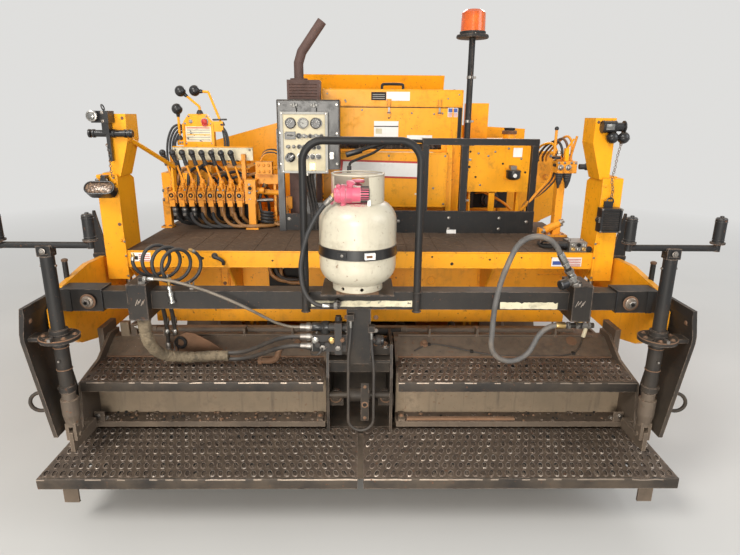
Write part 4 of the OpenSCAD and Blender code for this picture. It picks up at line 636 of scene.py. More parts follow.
paint("hopper_bed", "orange", ("rubber", lambda c, n: c.y > 3690), ("steel", lambda c, n: c.z < 560 and n.z > 0.3))
for n in ("conveyors", "track_left", "track_right", "auger_left", "auger_right", "track_wheels"):
    paint(n, "track")
for n in ("push_roller_left", "push_roller_right", "lift_rod_left", "lift_rod_right"):
    paint(n, "steel")
for n in ("push_beam", "lift_barrel_left", "lift_barrel_right", "arm_ends", "cross_beam", "crank_left",
          "crank_right", "handrail", "screed_centre"):
    paint(n, "black")
paint("tower_lamps", "plastic")
paint("valve_hoses", "rubber", ("oily", lambda c, n: c.x > LEVER_X + 2.5 * LEVER_GAP and c.y < BANK_Y + 64))
paint("burner_valves", "engine", ("steel", lambda c, n: c.x < -200))
paint("engine", "engine")
paint("exhaust", "pipe")
paint("beacon_lens", "amber")
paint("control_panel", "plastic",
      ("panel", lambda c, n: -424 < c.x < -179 and 1149 < c.y < 1186 and 1356 < c.z < 1667))
paint("lever_bank", "orange_dirty", ("cream", lambda c, n: c.z > 1400 and c.y > BANK_Y + 96),
      ("plastic", lambda c, n: c.z > 1391 and c.y < BANK_Y + 90))
paint("steering_console", "orange", ("plastic", lambda c, n: c.z > 1655 and c.y < 1485 and near(c, GRIPS, 30)),
      ("red", lambda c, n: near(c, [(-895, 1444, 1600)], 20)))
paint("side_valve", "orange_dirty", ("rubber", lambda c, n: c.z < 1376 and c.y < 1052 and c.z > 1290))
paint("gas_cylinder", "cylinder", ("plastic", lambda c, n: 1118 < c.z < 1160 and off_axis(c) > 155.1),
      ("pink", on_regulator))
# On the main screed, the faces in the middle between the steps take black paint: painted shade in that recess.
paint("main_screed", "screed", ("face", lambda c, n: 424 < c.y < 426 and n.y < -0.5),
      ("tread", lambda c, n: 560 < c.z < 572 and 279 < c.y < 531 and abs(c.x) < 1190),
      ("tread", lambda c, n: 335 < c.z < 350 and n.z > 0.5), ("black", lambda c, n: abs(c.x) < 158 and c.y > 300))
paint("walkboards", "tread")
for n in ("extension_left", "extension_right"):
    paint(n, "screed")


# Details: every piece sits on the CAD solid that carries it, in the part's millimetres
def ring(k, c, axis, r, width, height, mat=0, n=28):
    """A flat ring with a rounded outer edge."""
    k.lathe(c, axis, [(r - width, 0), (r, 0), (r, 0.6 * height), (r - 0.3 * height, height), (r - width, height),
            (r - width, 0)], mat, n, caps=False)


SLIT = [(1, 0), (1, 0.5), (1, 1), (0.35, 1), (-0.35, 1), (-1, 1), (-1, 0.5), (-1, 0), (-1, -0.5), (-1, -1),
        (-0.35, -1), (0.35, -1), (1, -1), (1, -0.5)]


def tread(name, x0, x1, y0, y1, z, columns, rows, lean, seed):
    """A tread plate: staggered rows of slanted slits, each with a raised lip, worn bright in places."""
    k = Kit(name, "screed", "worn_steel", "tread", "bright", "dark")
    rng = random.Random(seed)
    w, h = (x1 - x0) / columns, (y1 - y0) / rows
    for j in range(rows):
        cy, shift = y0 + (j + 0.5) * h, (j % 2) * w / 2
        for i in range(columns - j % 2):
            cx = x0 + shift + (i + 0.5) * w
            turn, worn_lip = math.radians(lean + rng.uniform(-3, 3)), rng.random() < 0.34
            high = rng.uniform(3.2, 5.4)
            rings = [[k.vert((cx + a * w / 2, cy + b * h / 2, z)) for a, b in SLIT]]
            for half, long, up in ((11.4, 22.5, 0), (9.2, 20, high), (7.6, 18, high - 1.2), (7.0, 17.2, -7)):
                row = []
                for n, (a, b) in enumerate(SLIT):
                    t = math.atan2(b, a)
                    u, v = half * math.cos(t), long * math.sin(t)
                    tooth = (0.55 if n % 2 and up > 0 else 1) * up if up > 0 else up
                    row.append(k.vert((cx + u * math.cos(turn) - v * math.sin(turn),
                                       cy + u * math.sin(turn) + v * math.cos(turn), z + tooth)))
                rings.append(row)
            for n, (a, b) in enumerate(zip(rings, rings[1:])):
                # The slits' inner walls take the near-black material: painted shade inside the openings.
                mat = 2 if n == 3 else 1 if n in (1, 2) and worn_lip else 0
                for m in range(len(SLIT)):
                    o = (m + 1) % len(SLIT)
                    k.face([a[m], a[o], b[o], b[m]], mat, n > 0)
        if j % 2:
            for a, b in ((x0, x0 + w / 2), (x1 - w / 2, x1)):
                corners = ((a, cy - h / 2, z), (b, cy - h / 2, z), (b, cy + h / 2, z), (a, cy + h / 2, z))
                k.face([k.vert(p) for p in corners], 0)
    for a, b in (((x0, y0), (x1, y0)), ((x1, y0), (x1, y1)), ((x1, y1), (x0, y1)), ((x0, y1), (x0, y0))):
        k.face([k.vert(p) for p in ((*a, z), (*b, z), (*b, z - 1.6), (*a, z - 1.6))], 0)
    k.done(angle=50)


tread("walkboard_tread_left", -1240, -16, 7, 363, WALK_Z + 1.2, 38, 7, 14, 11)
tread("walkboard_tread_right", 16, 1240, 7, 363, WALK_Z + 1.2, 38, 7, -14, 12)
tread("step_tread_left", -1174, -162, 290, 522, STEP_Z + 1.2, 32, 4, 14, 13)
tread("step_tread_right", 162, 1174, 290, 522, STEP_Z + 1.2, 32, 4, -14, 14)


# A lip's section: depth from the plate's edge in millimetres, and the share of its height
LIP = ((5, 0), (-1.5, 0), (-2.5, 0.12), (-2.5, 0.86), (-1.2, 0.97), (2, 1.02), (9, 1.0))


def edge_lips():
    """Worn front flanges of the steps and the walkboards, with their weld beads and dents."""
    k = Kit("step_and_board_lips", "screed", "worn_steel", "black", "bright")
    rng = random.Random(5)
    for side in (-1, 1):
        for x0, x1, y, z0, z1 in ((160, 1176, 280, 527, 571), (13, 1244, 0, 257, 301)):
            n = 40
            rows = []
            for i in range(n + 1):
                x = side * (x0 + (x1 - x0) * i / n)
                dent = rng.uniform(-0.9, 0.5) - (1.6 if rng.random() < 0.1 else 0)
                row = []
                for dy, dz in LIP:
                    back, up = (dent if dz > 0.6 else 0), (dent if dz > 0.95 else 0)
                    row.append(k.vert((x, y + dy + back, z0 + (z1 - z0) * dz + up)))
                rows.append(row)
            for a, b in zip(rows, rows[1:]):
                for m in range(len(LIP) - 1):
                    k.face([a[m], a[m + 1], b[m + 1], b[m]], 1 if m == 3 and rng.random() < 0.5 else 0, True)
    k.done(angle=30)


def control_panel_front():
    """Gauges, switches and the frame of the control panel."""
    k = Kit("control_panel_front", "tractor", "panel", "grey", "panel", "plastic", "white", "chrome", "red",
            "brass", "dark")
    face = 1150
    x0, x1, z0, z1 = -423, -180, 1357, 1666
    k.box(x0 - 2, x0 + 12, face - 5, face + 2, z0 - 2, z1 + 2)
    k.box(x1 - 12, x1 + 2, face - 5, face + 2, z0 - 2, z1 + 2)
    k.box(x0 + 12, x1 - 12, face - 5, face + 2, z0 - 2, z0 + 10)
    k.box(x0 + 12, x1 - 12, face - 5, face + 2, z1 - 10, z1 + 2)
    k.box(x0 + 15, x1 - 15, face - 1.5, face + 2, z0 + 13, z1 - 13, 1)
    for x, grey in ((-371, 0), (-307, 1), (-241, 0)):
        c = (x, face - 1, 1611)
        ring(k, c, REAR, 28, 5, 12, 0 if grey else 2)
        k.lathe(c, REAR, [(24, 0), (24, 5.5)], 0 if grey else 2, 28)
        for t in range(9):
            a = math.radians(-130 + 32.5 * t)
            p = Vector((x + 18.5 * math.sin(a), face - 7.2, 1611 + 18.5 * math.cos(a)))
            k.box(p.x - 0.8, p.x + 0.8, p.y, p.y + 1, p.z - 2.6, p.z + 2.6, 3, Matrix.Rotation(a, 3, "Y"))
        a = math.radians(-70 if grey else 35)
        k.box(x - 0.9, x + 0.9, face - 8.4, face - 7.4, 1605, 1627, 3 if not grey else 2,
                Matrix.Rotation(a, 3, "Y"), (x, face - 8, 1611))
        k.lathe((x, face - 6, 1611), REAR, [(3.4, 0), (3.2, 3.4)], 2, 12)
    k.box(-399, -347, face - 9, face, 1530, 1568, 2)
    k.box(-392, -354, face - 10, face - 8, 1541, 1558)
    for i in range(5):
        k.box(-389.5 + i * 7, -384.5 + i * 7, face - 10.8, face - 9.5, 1544, 1555, 7)
    for x, z, r, m in ((-329, 1547, 12, 2), (-303, 1547, 8, 0), (-270, 1547, 8, 2), (-240, 1547, 8, 0),
            (-212, 1547, 8, 2), (-384, 1492, 6, 0), (-358, 1492, 6, 0), (-329, 1492, 9, 2), (-303, 1492, 7, 2),
            (-277, 1490, 10, 5), (-252, 1490, 9, 2), (-227, 1490, 9, 2)):
        ring(k, (x, face - 1, z), REAR, r + 3.5, 3, 5, 0, 20)
        k.lathe((x, face - 1, z), REAR, [(r, 0), (r, 9), (r * 0.8, 12), (r * 0.3, 13)], m, 20)
    for x in (-384, -358):
        k.rod((x, face - 10, 1492), (x + 2, face - 24, 1486), 2.2, 4, 10, 3)
    for x in (-326, -292, -261, -230):
        ring(k, (x, face - 1, 1443), REAR, 16, 5, 6, 4, 26)
        k.lathe((x, face - 1, 1443), REAR, [(12, 0), (12, 10), (10.5, 13), (3, 13.6)], 2, 24)
    # Rotary switch with its bar handle
    k.lathe((-375, face - 1, 1437), REAR, [(25, 0), (25, 7), (22, 10), (17, 12), (16, 22), (14, 24)], 2, 30)
    k.box(-400, -350, face - 40, face - 20, 1430, 1444, 2, Matrix.Rotation(math.radians(-35), 3, "Y"),
            (-375, face - 30, 1437))
    k.box(-377, -373, face - 41.5, face - 39, 1440, 1458, 3, Matrix.Rotation(math.radians(-35 + 90), 3, "Y"),
            (-375, face - 40, 1437))
    k.box(-278, -246, face - 3.5, face, 1372, 1410, 6)
    for x, z in ((x0 + 7, z0 + 7), (x1 - 7, z0 + 7), (x0 + 7, z1 - 7), (x1 - 7, z1 - 7)):
        k.bolt((x, face - 5, z), REAR, 3.4, 4)
    # Wing nuts on the upper edge, on their clamps
    for x in (-354, -250):
        k.box(x - 12, x + 12, 1151, 1186, 1663, 1689, 2)
        k.rod((x, 1168, 1688), (x, 1168, 1712), 4.5, 0, 12)
        k.lathe((x, 1168, 1690), UP, [(9, 0), (8, 8), (5, 11)], 0, 14)
        for s in (-1, 1):
            k.ball((x + s * 13, 1168, 1701), 7, 0, 12, (1, 0.35, 1))
    # Latch on the side of the box behind
    k.box(-178, -142, 1176, 1186, 1420, 1470, 2)
    k.box(-170, -150, 1168, 1178, 1428, 1462, 4)
    k.rod((-172, 1172, 1452), (-148, 1172, 1452), 5, 4, 14)
    k.rod((-172, 1172, 1436), (-148, 1172, 1436), 3.6, 0, 14)
    k.done(0.5, 32)


def panel_box_trim():
    """Bolts, covers and the cable loom of the box behind the control panel."""
    k = Kit("panel_box_trim", "tractor", "black_steel", "black", "chrome")
    for x in (-432, -132):
        for z in (1400, 1560, 1705):
            k.bolt((x, 1185, z), REAR, 5, 1)
    k.box(-444, -120, 1182, 1294, 1722, 1729)
    k.box(-446, -440, 1182, 1294, 1372, 1725)
    k.box(-124, -118, 1182, 1294, 1372, 1725)
    # Cable loom from the panel's foot to the deck
    for dx, r in ((0, 9), (18, 7), (33, 6)):
        k.tube([(-300 + dx, 1180, 1360), (-302 + dx, 1184, 1320), (-290 + dx, 1196, 1240), (-276 + dx, 1200, 1160),
                (-270 + dx, 1196, 1080), (-268 + dx, 1200, 1040)], r, 0, 10, 4)
    k.lathe((-292, 1182, 1356), DOWN, [(13, 0), (13, 16), (10, 18)], 1, 16)
    k.done(0.8)


def hood_lid_details():
    """Latches, seam and bare stickers that ride on the hood's lid."""
    k = Kit("hood_lid_details", "hood_lid", "yellow_paint", "orange", "dark", "white", "steel", "orange_dirty",
            "grey")
    y = HOOD_Y
    k.box(-228, 592, y - 2.2, y + 1, 1707, 1712)
    k.box(54, 142, y - 2.2, y + 0.5, 1740, 1786, 1)
    k.box(144, 282, y - 2.2, y + 0.5, 1738, 1788, 2)
    for i in range(3):
        k.box(62, 134, y - 2.8, y, 1748 + i * 11, 1752 + i * 11, 5)
    for x in (-142, 160, 461):
        for s in (-1, 1):
            k.box(x + s * 12 - 2, x + s * 12 + 2, y - 7, y + 1, 1712, 1748)
        k.box(x - 12, x + 12, y - 4, y + 1, 1742, 1748)
        if x > 0:
            k.rod((x - 13, y - 5, 1740), (x + 13, y - 5, 1740), 2.6, 3, 12)
            k.box(x - 8, x + 8, y - 10, y - 3, 1706, 1742, 4)
    for x, z in ((-100, 1738), (-96, 1730), (510, 1752), (-205, 1775), (575, 1775)):
        k.bolt((x, y, z), REAR, 3.2, 3)
    # Rolled upper edge
    k.rod((-232, y + 3, 1799), (596, y + 3, 1799), 3.6, 0, 12)
    k.done(0.5)


def engine_housing_details():
    """Keepers, bare stickers, grille and lower cover of the engine's housing."""
    y = HOOD_Y
    k = Kit("engine_housing_details", "tractor", "yellow_paint", "orange", "dark", "white", "steel", "red", "cream",
            "blue", "rusty", "black")
    k.box(-228, 592, y - 1.6, y + 1, 1698, 1702.5, 1)
    for x in (160, 461):
        k.box(x - 8, x + 8, y - 12, y + 1, 1664, 1676, 3)
        k.box(x - 6, x + 6, y - 9, y - 5, 1672, 1700, 3)
        k.rod((x - 11, y - 11, 1670), (x + 11, y - 11, 1670), 3.2, 7, 12)
    for x, z in ((0, 1684), (296, 1668), (160, 1640), (166, 1646), (430, 1664), (480, 1668), (486, 1520),
            (-200, 1690)):
        k.bolt((x, y, z), REAR, 3.6, 7 if x in (160, 166) else 3)
    # Bare notice, bar and stickers, and a black strip of painted shade at the right edge
    k.box(72, 218, y - 2, y + 1, 1506, 1621, 2)
    k.box(72, 218, y - 2.8, y, 1588, 1594, 8)
    k.box(82, 120, y - 2.8, y, 1548, 1578, 5)
    k.box(271, 423, y - 2, y + 1, 1503, 1541, 2)
    k.box(511, 571, y - 2, y + 1, 1648, 1700, 2)
    k.box(514, 568, y - 2.8, y, 1674, 1697, 6)
    for i in range(3):
        k.box(514, 568, y - 2.8, y, 1652 + i * 7, 1655.5 + i * 7, 4)
    # A black strip down the housing's right edge: painted shade of the gap beside the hood's side.
    k.box(573, 596, y - 3, y + 1, 1500, 1700, 8)
    # Grille behind the slot, and a pale cream strip under it
    for i in range(22):
        x = -126 + i * 27.6
        k.box(x, x + 4, y + 1, y + 5, 1459, 1491, 8)
    for z in (1467, 1475, 1483):
        k.box(-129, 479, y + 2, y + 4, z, z + 2, 8)
    k.box(70, 424, 1509, 1560, 1444.5, 1446.5, 5)
    # Lower cover: folded rim, plain band in red and white, bolts and a lower handle
    y = COVER_Y
    k.box(-163, 508, y - 2.6, y + 1, 1436, 1443)
    k.box(-163, -156, y - 2.6, y + 1, 1122, 1443)
    k.box(501, 508, y - 2.6, y + 1, 1122, 1443)
    k.box(-163, 508, y - 2.6, y + 1, 1122, 1129)
    k.plate([(-135, 1302), (355, 1290), (352, 1392), (-126, 1402)], "y", y - 1.8, y + 0.5, 4)
    k.plate([(-118, 1312), (342, 1301), (340, 1381), (-111, 1391)], "y", y - 2.6, y, 2)
    for x, z in ((-148, 1425), (494, 1425), (-148, 1140), (494, 1140), (160, 1425), (160, 1140), (60, 1250),
            (430, 1235)):
        k.bolt((x, y, z), REAR, 4.2, 3)
    k.box(320, 395, y - 2, y + 1, 1196, 1205, 2)
    k.done(0.4)


def lever_bank_details():
    """Plugs, nuts, spools, boots and links on each of the eight valve sections."""
    k = Kit("lever_bank_details", "tractor", "yellow_paint", "orange_dirty", "steel", "plastic", "brass", "dark",
            "orange", "rusty", "chrome", "rubber", "oily")
    y = BANK_Y
    rng = random.Random(8)
    for i in range(LEVERS):
        x = LEVER_X + i * LEVER_GAP
        # Round port with its dark ring and plug
        ring(k, (x, y - 16, 1222), REAR, 19, 6, 5, 0, 22)
        k.lathe((x, y - 14, 1222), REAR, [(13, 0), (13, 3), (9, 3.4), (9, 6), (4, 7)], 4, 20)
        k.bolt((x, y - 17, 1222), REAR, 5, rng.choice((0, 1)), False)
        for s in (-1, 1):
            k.bolt((x + s * 15, y, 1190), REAR, 3.6, 0)
            k.bolt((x + s * 14, y + 2, 1250), (0, -1, 0.3), 3.4, 1 if rng.random() < 0.3 else 0)
            k.nut((x + s * 9, y + 8, 1248), (0, -0.5, 1), [(7, 0), (7, 14), (5, 17)])
        # Spool end, link and clevis up to the lever
        k.lathe((x, y + 22, 1262), UP, [(15, 0), (15, 8), (11, 10), (11, 22), (8, 24)], 0, 18)
        k.box(x - 12, x - 7, y + 34, y + 50, 1272, 1304)
        k.box(x + 7, x + 12, y + 34, y + 50, 1272, 1304)
        k.rod((x - 15, y + 42, 1294), (x + 15, y + 42, 1294), 4, 1, 12)
        k.tube([(x + 16, y + 22, 1286), (x + 22, y + 24, 1262), (x + 20, y + 10, 1240)], 3.2, 0, 8, 4)
        # Boot under the grip
        lean = Matrix.Rotation(math.radians(-16), 3, "Y") @ Matrix.Rotation(math.radians(3), 3, "X")
        foot = Vector((x, y + 42, 1290))
        up = lean @ Vector(UP)
        k.lathe(foot + up * 94, up, [(11, 0), (13, 4), (11, 8), (13.4, 12), (11, 16), (13, 20), (9, 26), (8, 40)],
                8, 18)
        k.ball(tuple(foot + up * 164), 17.5, 2, 16, (1, 1, 1.05))
        k.lathe(foot + up * 142, up, [(12, 0), (14.5, 5), (12, 12)], 2, 16)
        # Elbow and nuts under the section, where its hose starts
        k.nut((x, y + 30, 1178), DOWN, [(17, 0), (17, 12), (15, 13)])
        k.lathe((x, y + 30, 1164), DOWN, [(14, 0), (14, 18), (16.5, 19), (16.5, 30), (13.5, 32), (13.5, 60),
                (12.4, 63)], 9 if i > 2 else 1, 18)
        k.box(x - 25, x - 23, y - 2, y + 76, 1180, 1262, 6)
    x9 = LEVER_X + LEVERS * LEVER_GAP
    for z in (1196, 1238, 1280):
        k.bolt((x9 + 2, y - 4, z), REAR, 5.5, 1)
    ring(k, (x9 + 6, y - 4, 1262), REAR, 17, 6, 6, 0, 24)
    k.lathe((x9 + 6, y - 3, 1262), REAR, [(11, 0), (11, 2)], 4, 18)
    k.nut((x9 + 36, y + 40, 1245), RIGHT, [(20, 0), (20, 12), (17, 14)])
    k.box(x9 - 26, x9 + 38, y - 6, y + 88, 1300, 1305, 5)
    # Long draw bolts through the bank and their nuts at the left end
    for z, dy in ((1192, 16), (1192, 62), (1244, 18), (1244, 62)):
        k.rod((LEVER_X - 52, y + dy, z), (x9 + 44, y + dy, z), 4.5, 1, 10)
        k.nut((LEVER_X - 58, y + dy, z), RIGHT, [(9, 0), (9, 8)], 1)
    # Bar behind the grips: rounded lip, screws
    k.rod((LEVER_X - 10, y + 99, 1477), (x9 + 10, y + 99, 1477), 3, 5, 10)
    for x in (LEVER_X + 4, x9 - 6, (LEVER_X + x9) / 2):
        k.bolt((x, y + 100, 1462), REAR, 4, 1)
    # Feet: gussets and bolts
    for x in (LEVER_X - 50, x9 + 12):
        for dx in (-16, 18):
            k.bolt((x + dx, y + (16 if x < -900 else -20), 1045), UP, 6, 6)
    k.done(0.5, 34)


def manifold_at_bank():
    """Manifold at the bank's right end, with a loose spiral of wrapped hose under it."""
    k = Kit("manifold_at_bank", "tractor", "yellow_paint", "orange_dirty", "steel", "dark", "oily", "rubber",
            "brass")
    k.box(-592, -500, 1300, 1352, 1330, 1400)
    k.box(-600, -470, 1322, 1340, 1276, 1330)
    for dx in (-574, -546, -518):
        for z in (1348, 1382):
            k.bolt((dx, 1300, z), REAR, 5.5, 0)
    k.nut((-500, 1326, 1366), RIGHT, [(14, 0), (14, 14), (10, 16), (10, 40)])
    k.box(-596, -580, 1330, 1346, 1040, 1300)
    k.box(-500, -486, 1330, 1346, 1040, 1300)
    k.box(-606, -476, 1320, 1356, 1036, 1043)
    # A loose spiral of wrapped hose under it
    for r0, z in ((34, 1066), (34, 1084), (33, 1102), (32, 1119)):
        k.torus((-536, 1290, z), (0.12, 0.2, 1), r0, 8.2, 4, 26, 8)
    k.tube([(-568, 1290, 1124), (-576, 1300, 1190), (-560, 1316, 1250), (-548, 1324, 1278)], 8.2, 4, 10, 4)
    k.nut((-548, 1324, 1262), UP, [(11, 0), (11, 14)], 5)
    k.tube([(-504, 1292, 1064), (-470, 1280, 1052), (-440, 1300, 1052), (-420, 1360, 1062), (-440, 1420, 1110)],
            8.2, 3, 10, 5)
    k.nut((-440, 1420, 1106), (0, 0.4, 1), [(12, 0), (12, 16), (9, 18), (9, 36)])
    k.box(-470, -410, 1424, 1452, 1120, 1190)
    k.done(0.8)


def console_details():
    k = Kit("console_details", "tractor", "yellow_paint", "cream", "orange", "red", "plastic", "steel", "dark",
            "chrome", "grey", "rubber")
    y = CONSOLE_Y
    k.plate([(-1008, 1500), (-862, 1500), (-862, 1584), (-1008, 1584)], "y", y - 2, y + 0.5, 0)
    for z, m in ((1508, 7), (1522, 7), (1536, 1), (1548, 7), (1562, 7), (1574, 2)):
        k.box(-1000, -870, y - 2.8, y - 1, z, z + 5, m)
    ring(k, (-895, y, 1612), REAR, 21, 6, 6, 7, 26)
    k.lathe((-895, y - 2, 1612), REAR, [(14, 0), (14, 7), (16, 8), (16, 14), (12, 17), (4, 18)], 2, 24)
    k.lathe((-975, y, 1612), REAR, [(11, 0), (11, 4), (6, 5), (6, 9)], 4, 18)
    for x, z in ((-1008, 1490), (-862, 1490), (-1008, 1600), (-862, 1600), (-985, 1640), (-885, 1640)):
        k.bolt((x, y, z), REAR, 3.6, 4)
    k.box(-1024, -1012, y - 8, 1484, 1440, 1600, 1)
    k.box(-858, -846, y - 8, 1484, 1440, 1600, 1)
    k.box(-1020, -850, y - 10, y + 2, 1436, 1444, 1)
    # Grips with their ferrules, and boots at the levers' feet
    for p, d in (((-1020, 1460, 1775), (0.77, 0, -0.64)), ((-940, 1460, 1778), (1, 0, -0.09)),
            ((-1046, 1460, 1679), DOWN)):
        k.ball((p[0], 1450, p[2]), 30.2, 3, 20)
        a = Vector(p) + Vector(d).normalized() * 24
        k.lathe(a, d, [(12, 0), (11, 8), (9, 16), (8, 20)], 3, 16)
    k.lathe((-922, 1460, 1653), UP, [(20, 0), (19, 6), (13, 18), (9, 22)], 8, 18)
    k.lathe((-1046, 1460, 1510), UP, [(18, 0), (18, 8), (11, 20), (8, 24)], 8, 18)
    k.lathe((-800, 1460, 1590), UP, [(16, 0), (16, 8), (10, 18), (8, 22)], 8, 18)
    for x in (-1044, -1030):
        k.bolt((x, 1450, 1495), REAR, 4, 4)
    # Cable sleeves and lines that arch down behind the placard
    for i, x in enumerate((-1070, -1056, -1042, -1030)):
        k.tube([(x + 52, 1478, 1560 - 8 * i), (x + 26, 1474, 1592 - 10 * i), (x - 14, 1462, 1576 - 10 * i),
                (x - 36, 1430, 1510 - 6 * i), (x - 30 + 4 * i, 1380, 1420), (x - 4 + 5 * i, 1340, 1330),
                (x + 6 + 6 * i, 1322, 1262)], 6.6, 8, 8, 4)
    for i, x in enumerate((-848, -836, -826)):
        k.tube([(x - 10, 1474, 1590), (x + 16, 1468, 1602 - 6 * i), (x + 48, 1452, 1568 - 6 * i),
                (x + 66, 1420, 1500), (x + 72, 1380, 1440 - 8 * i), (x + 100 + 16 * i, 1350, 1400)], 5.2, 8, 8, 4)
    k.box(-858, -792, 1446, 1452, 1556, 1614, 1)
    k.rod((-850, 1452, 1622), (-770, 1452, 1624), 5, 3, 12)
    k.done(0.6, 34)


def cylinder_details():
    """Weld seam, strap screw, valve, regulator ribs and foot ring of the gas cylinder."""
    k = Kit("gas_cylinder_fittings", "screed", "cylinder_paint", "cylinder", "pink", "plastic", "steel", "white",
            "rubber", "dark", "brass", "rusty")
    cx, cy, z0 = -15, 350, 971
    k.torus((cx, cy, z0 + 182), UP, 155.2, 2.4, 0, 72, 8)
    k.torus((cx, cy, z0 + 300), UP, 143.6, 1.6, 0, 64, 8)
    k.torus((cx, cy, z0 + 463), UP, 101.5, 3.4, 0, 60, 8)
    k.torus((cx, cy, z0 + 34), UP, 99, 3.2, 0, 60, 8)
    # Strap with its joint, and a bare tag
    for z in (z0 + 149, z0 + 187):
        k.torus((cx, cy, z), UP, 158.6, 1.5, 2, 72, 6)
    k.box(cx + 26, cx + 66, cy - 160.5 - 4, cy - 150, z0 + 156, z0 + 180, 4, Matrix.Rotation(math.radians(15), 3,
            "Z"), (cx + 46, cy - 152, z0 + 168))
    k.box(cx + 30, cx + 54, cy - 160.5 - 5.4, cy - 152, z0 + 163, z0 + 173, 8, Matrix.Rotation(math.radians(15), 3,
            "Z"), (cx + 46, cy - 152, z0 + 168))
    k.bolt((cx - 58, cy - 148, z0 + 168), (-0.36, -0.93, 0), 6, 3)
    k.box(cx - 76, cx - 40, cy - 152, cy - 140, z0 + 158, z0 + 178, 2, Matrix.Rotation(math.radians(-21), 3, "Z"))
    # Valve, regulator body with screws, ribbed knob and vent
    k.lathe((cx, cy, z0 + 354), UP, [(26, 0), (26, 12), (21, 15), (20, 54), (15, 60), (15, 66), (8, 68)], 1, 20)
    k.lathe((cx, cy, z0 + 420), UP, [(7, 0), (7, 8), (26, 9), (28, 13), (26, 19), (8, 22)], 1, 12)
    k.lathe((-106, 262, 1365), RIGHT, [(20, 0), (30, 5), (34, 14), (34, 26), (37, 28), (37, 44), (34, 46), (34, 66),
            (30, 76), (24, 84), (24, 104)], 1, 30)
    for a in range(6):
        t = math.radians(60 * a + 20)
        k.bolt((-62, 262 + 33 * math.cos(t), 1365 + 33 * math.sin(t)), RIGHT, 4, 1, False)
    k.nut((-70, 262, 1330), (0, -0.3, -1), [(13, 0), (13, 10), (9, 12), (9, 26), (11, 27), (11, 34)], 1)
    k.lathe((-44, 250, 1396), (0.2, -0.3, 1), [(12, 0), (12, 8), (16, 10), (16, 18), (10, 20)], 1, 16)
    k.nut((-82, 240, 1388), (-0.6, -0.5, 1), [(9, 0), (9, 16), (6, 18)], 1)
    for i in range(18):
        t = 2 * math.pi * i / 18
        c = Vector((0, 262 + 28.5 * math.cos(t), 1365 + 28.5 * math.sin(t)))
        k.rod(c + Vector((-4, 0, 0)), c + Vector((28, 0, 0)), 2.6, 2, 8)
    k.lathe((26, 262, 1365), RIGHT, [(26, 0), (24, 3), (10, 4)], 2, 24)
    k.box(22, 34, 243, 251, 1322, 1346, 4)
    # Nut and ferrule of the gas hose
    d = Vector((-0.723, 0, -0.691))
    a = Vector((-98, 262, 1365))
    k.nut(a + d * 4, d, [(14, 0), (14, 12), (11, 13)], 7)
    k.lathe(a + d * 17, d, [(11.5, 0), (11.5, 11)], 3, 18)
    k.lathe(a + d * 31, d, [(10.6, 0), (11.2, 2), (11.2, 26), (10.2, 28)], 3, 18)
    # Base plate under the foot ring, with its screws
    k.box(-100, 70, 243, 470, 965.5, 972, 8)
    for x, y in ((-92, 250), (62, 250), (-92, 462), (62, 462)):
        k.bolt((x, y, 972), UP, 5, 8)
    k.done(0.5, 34)


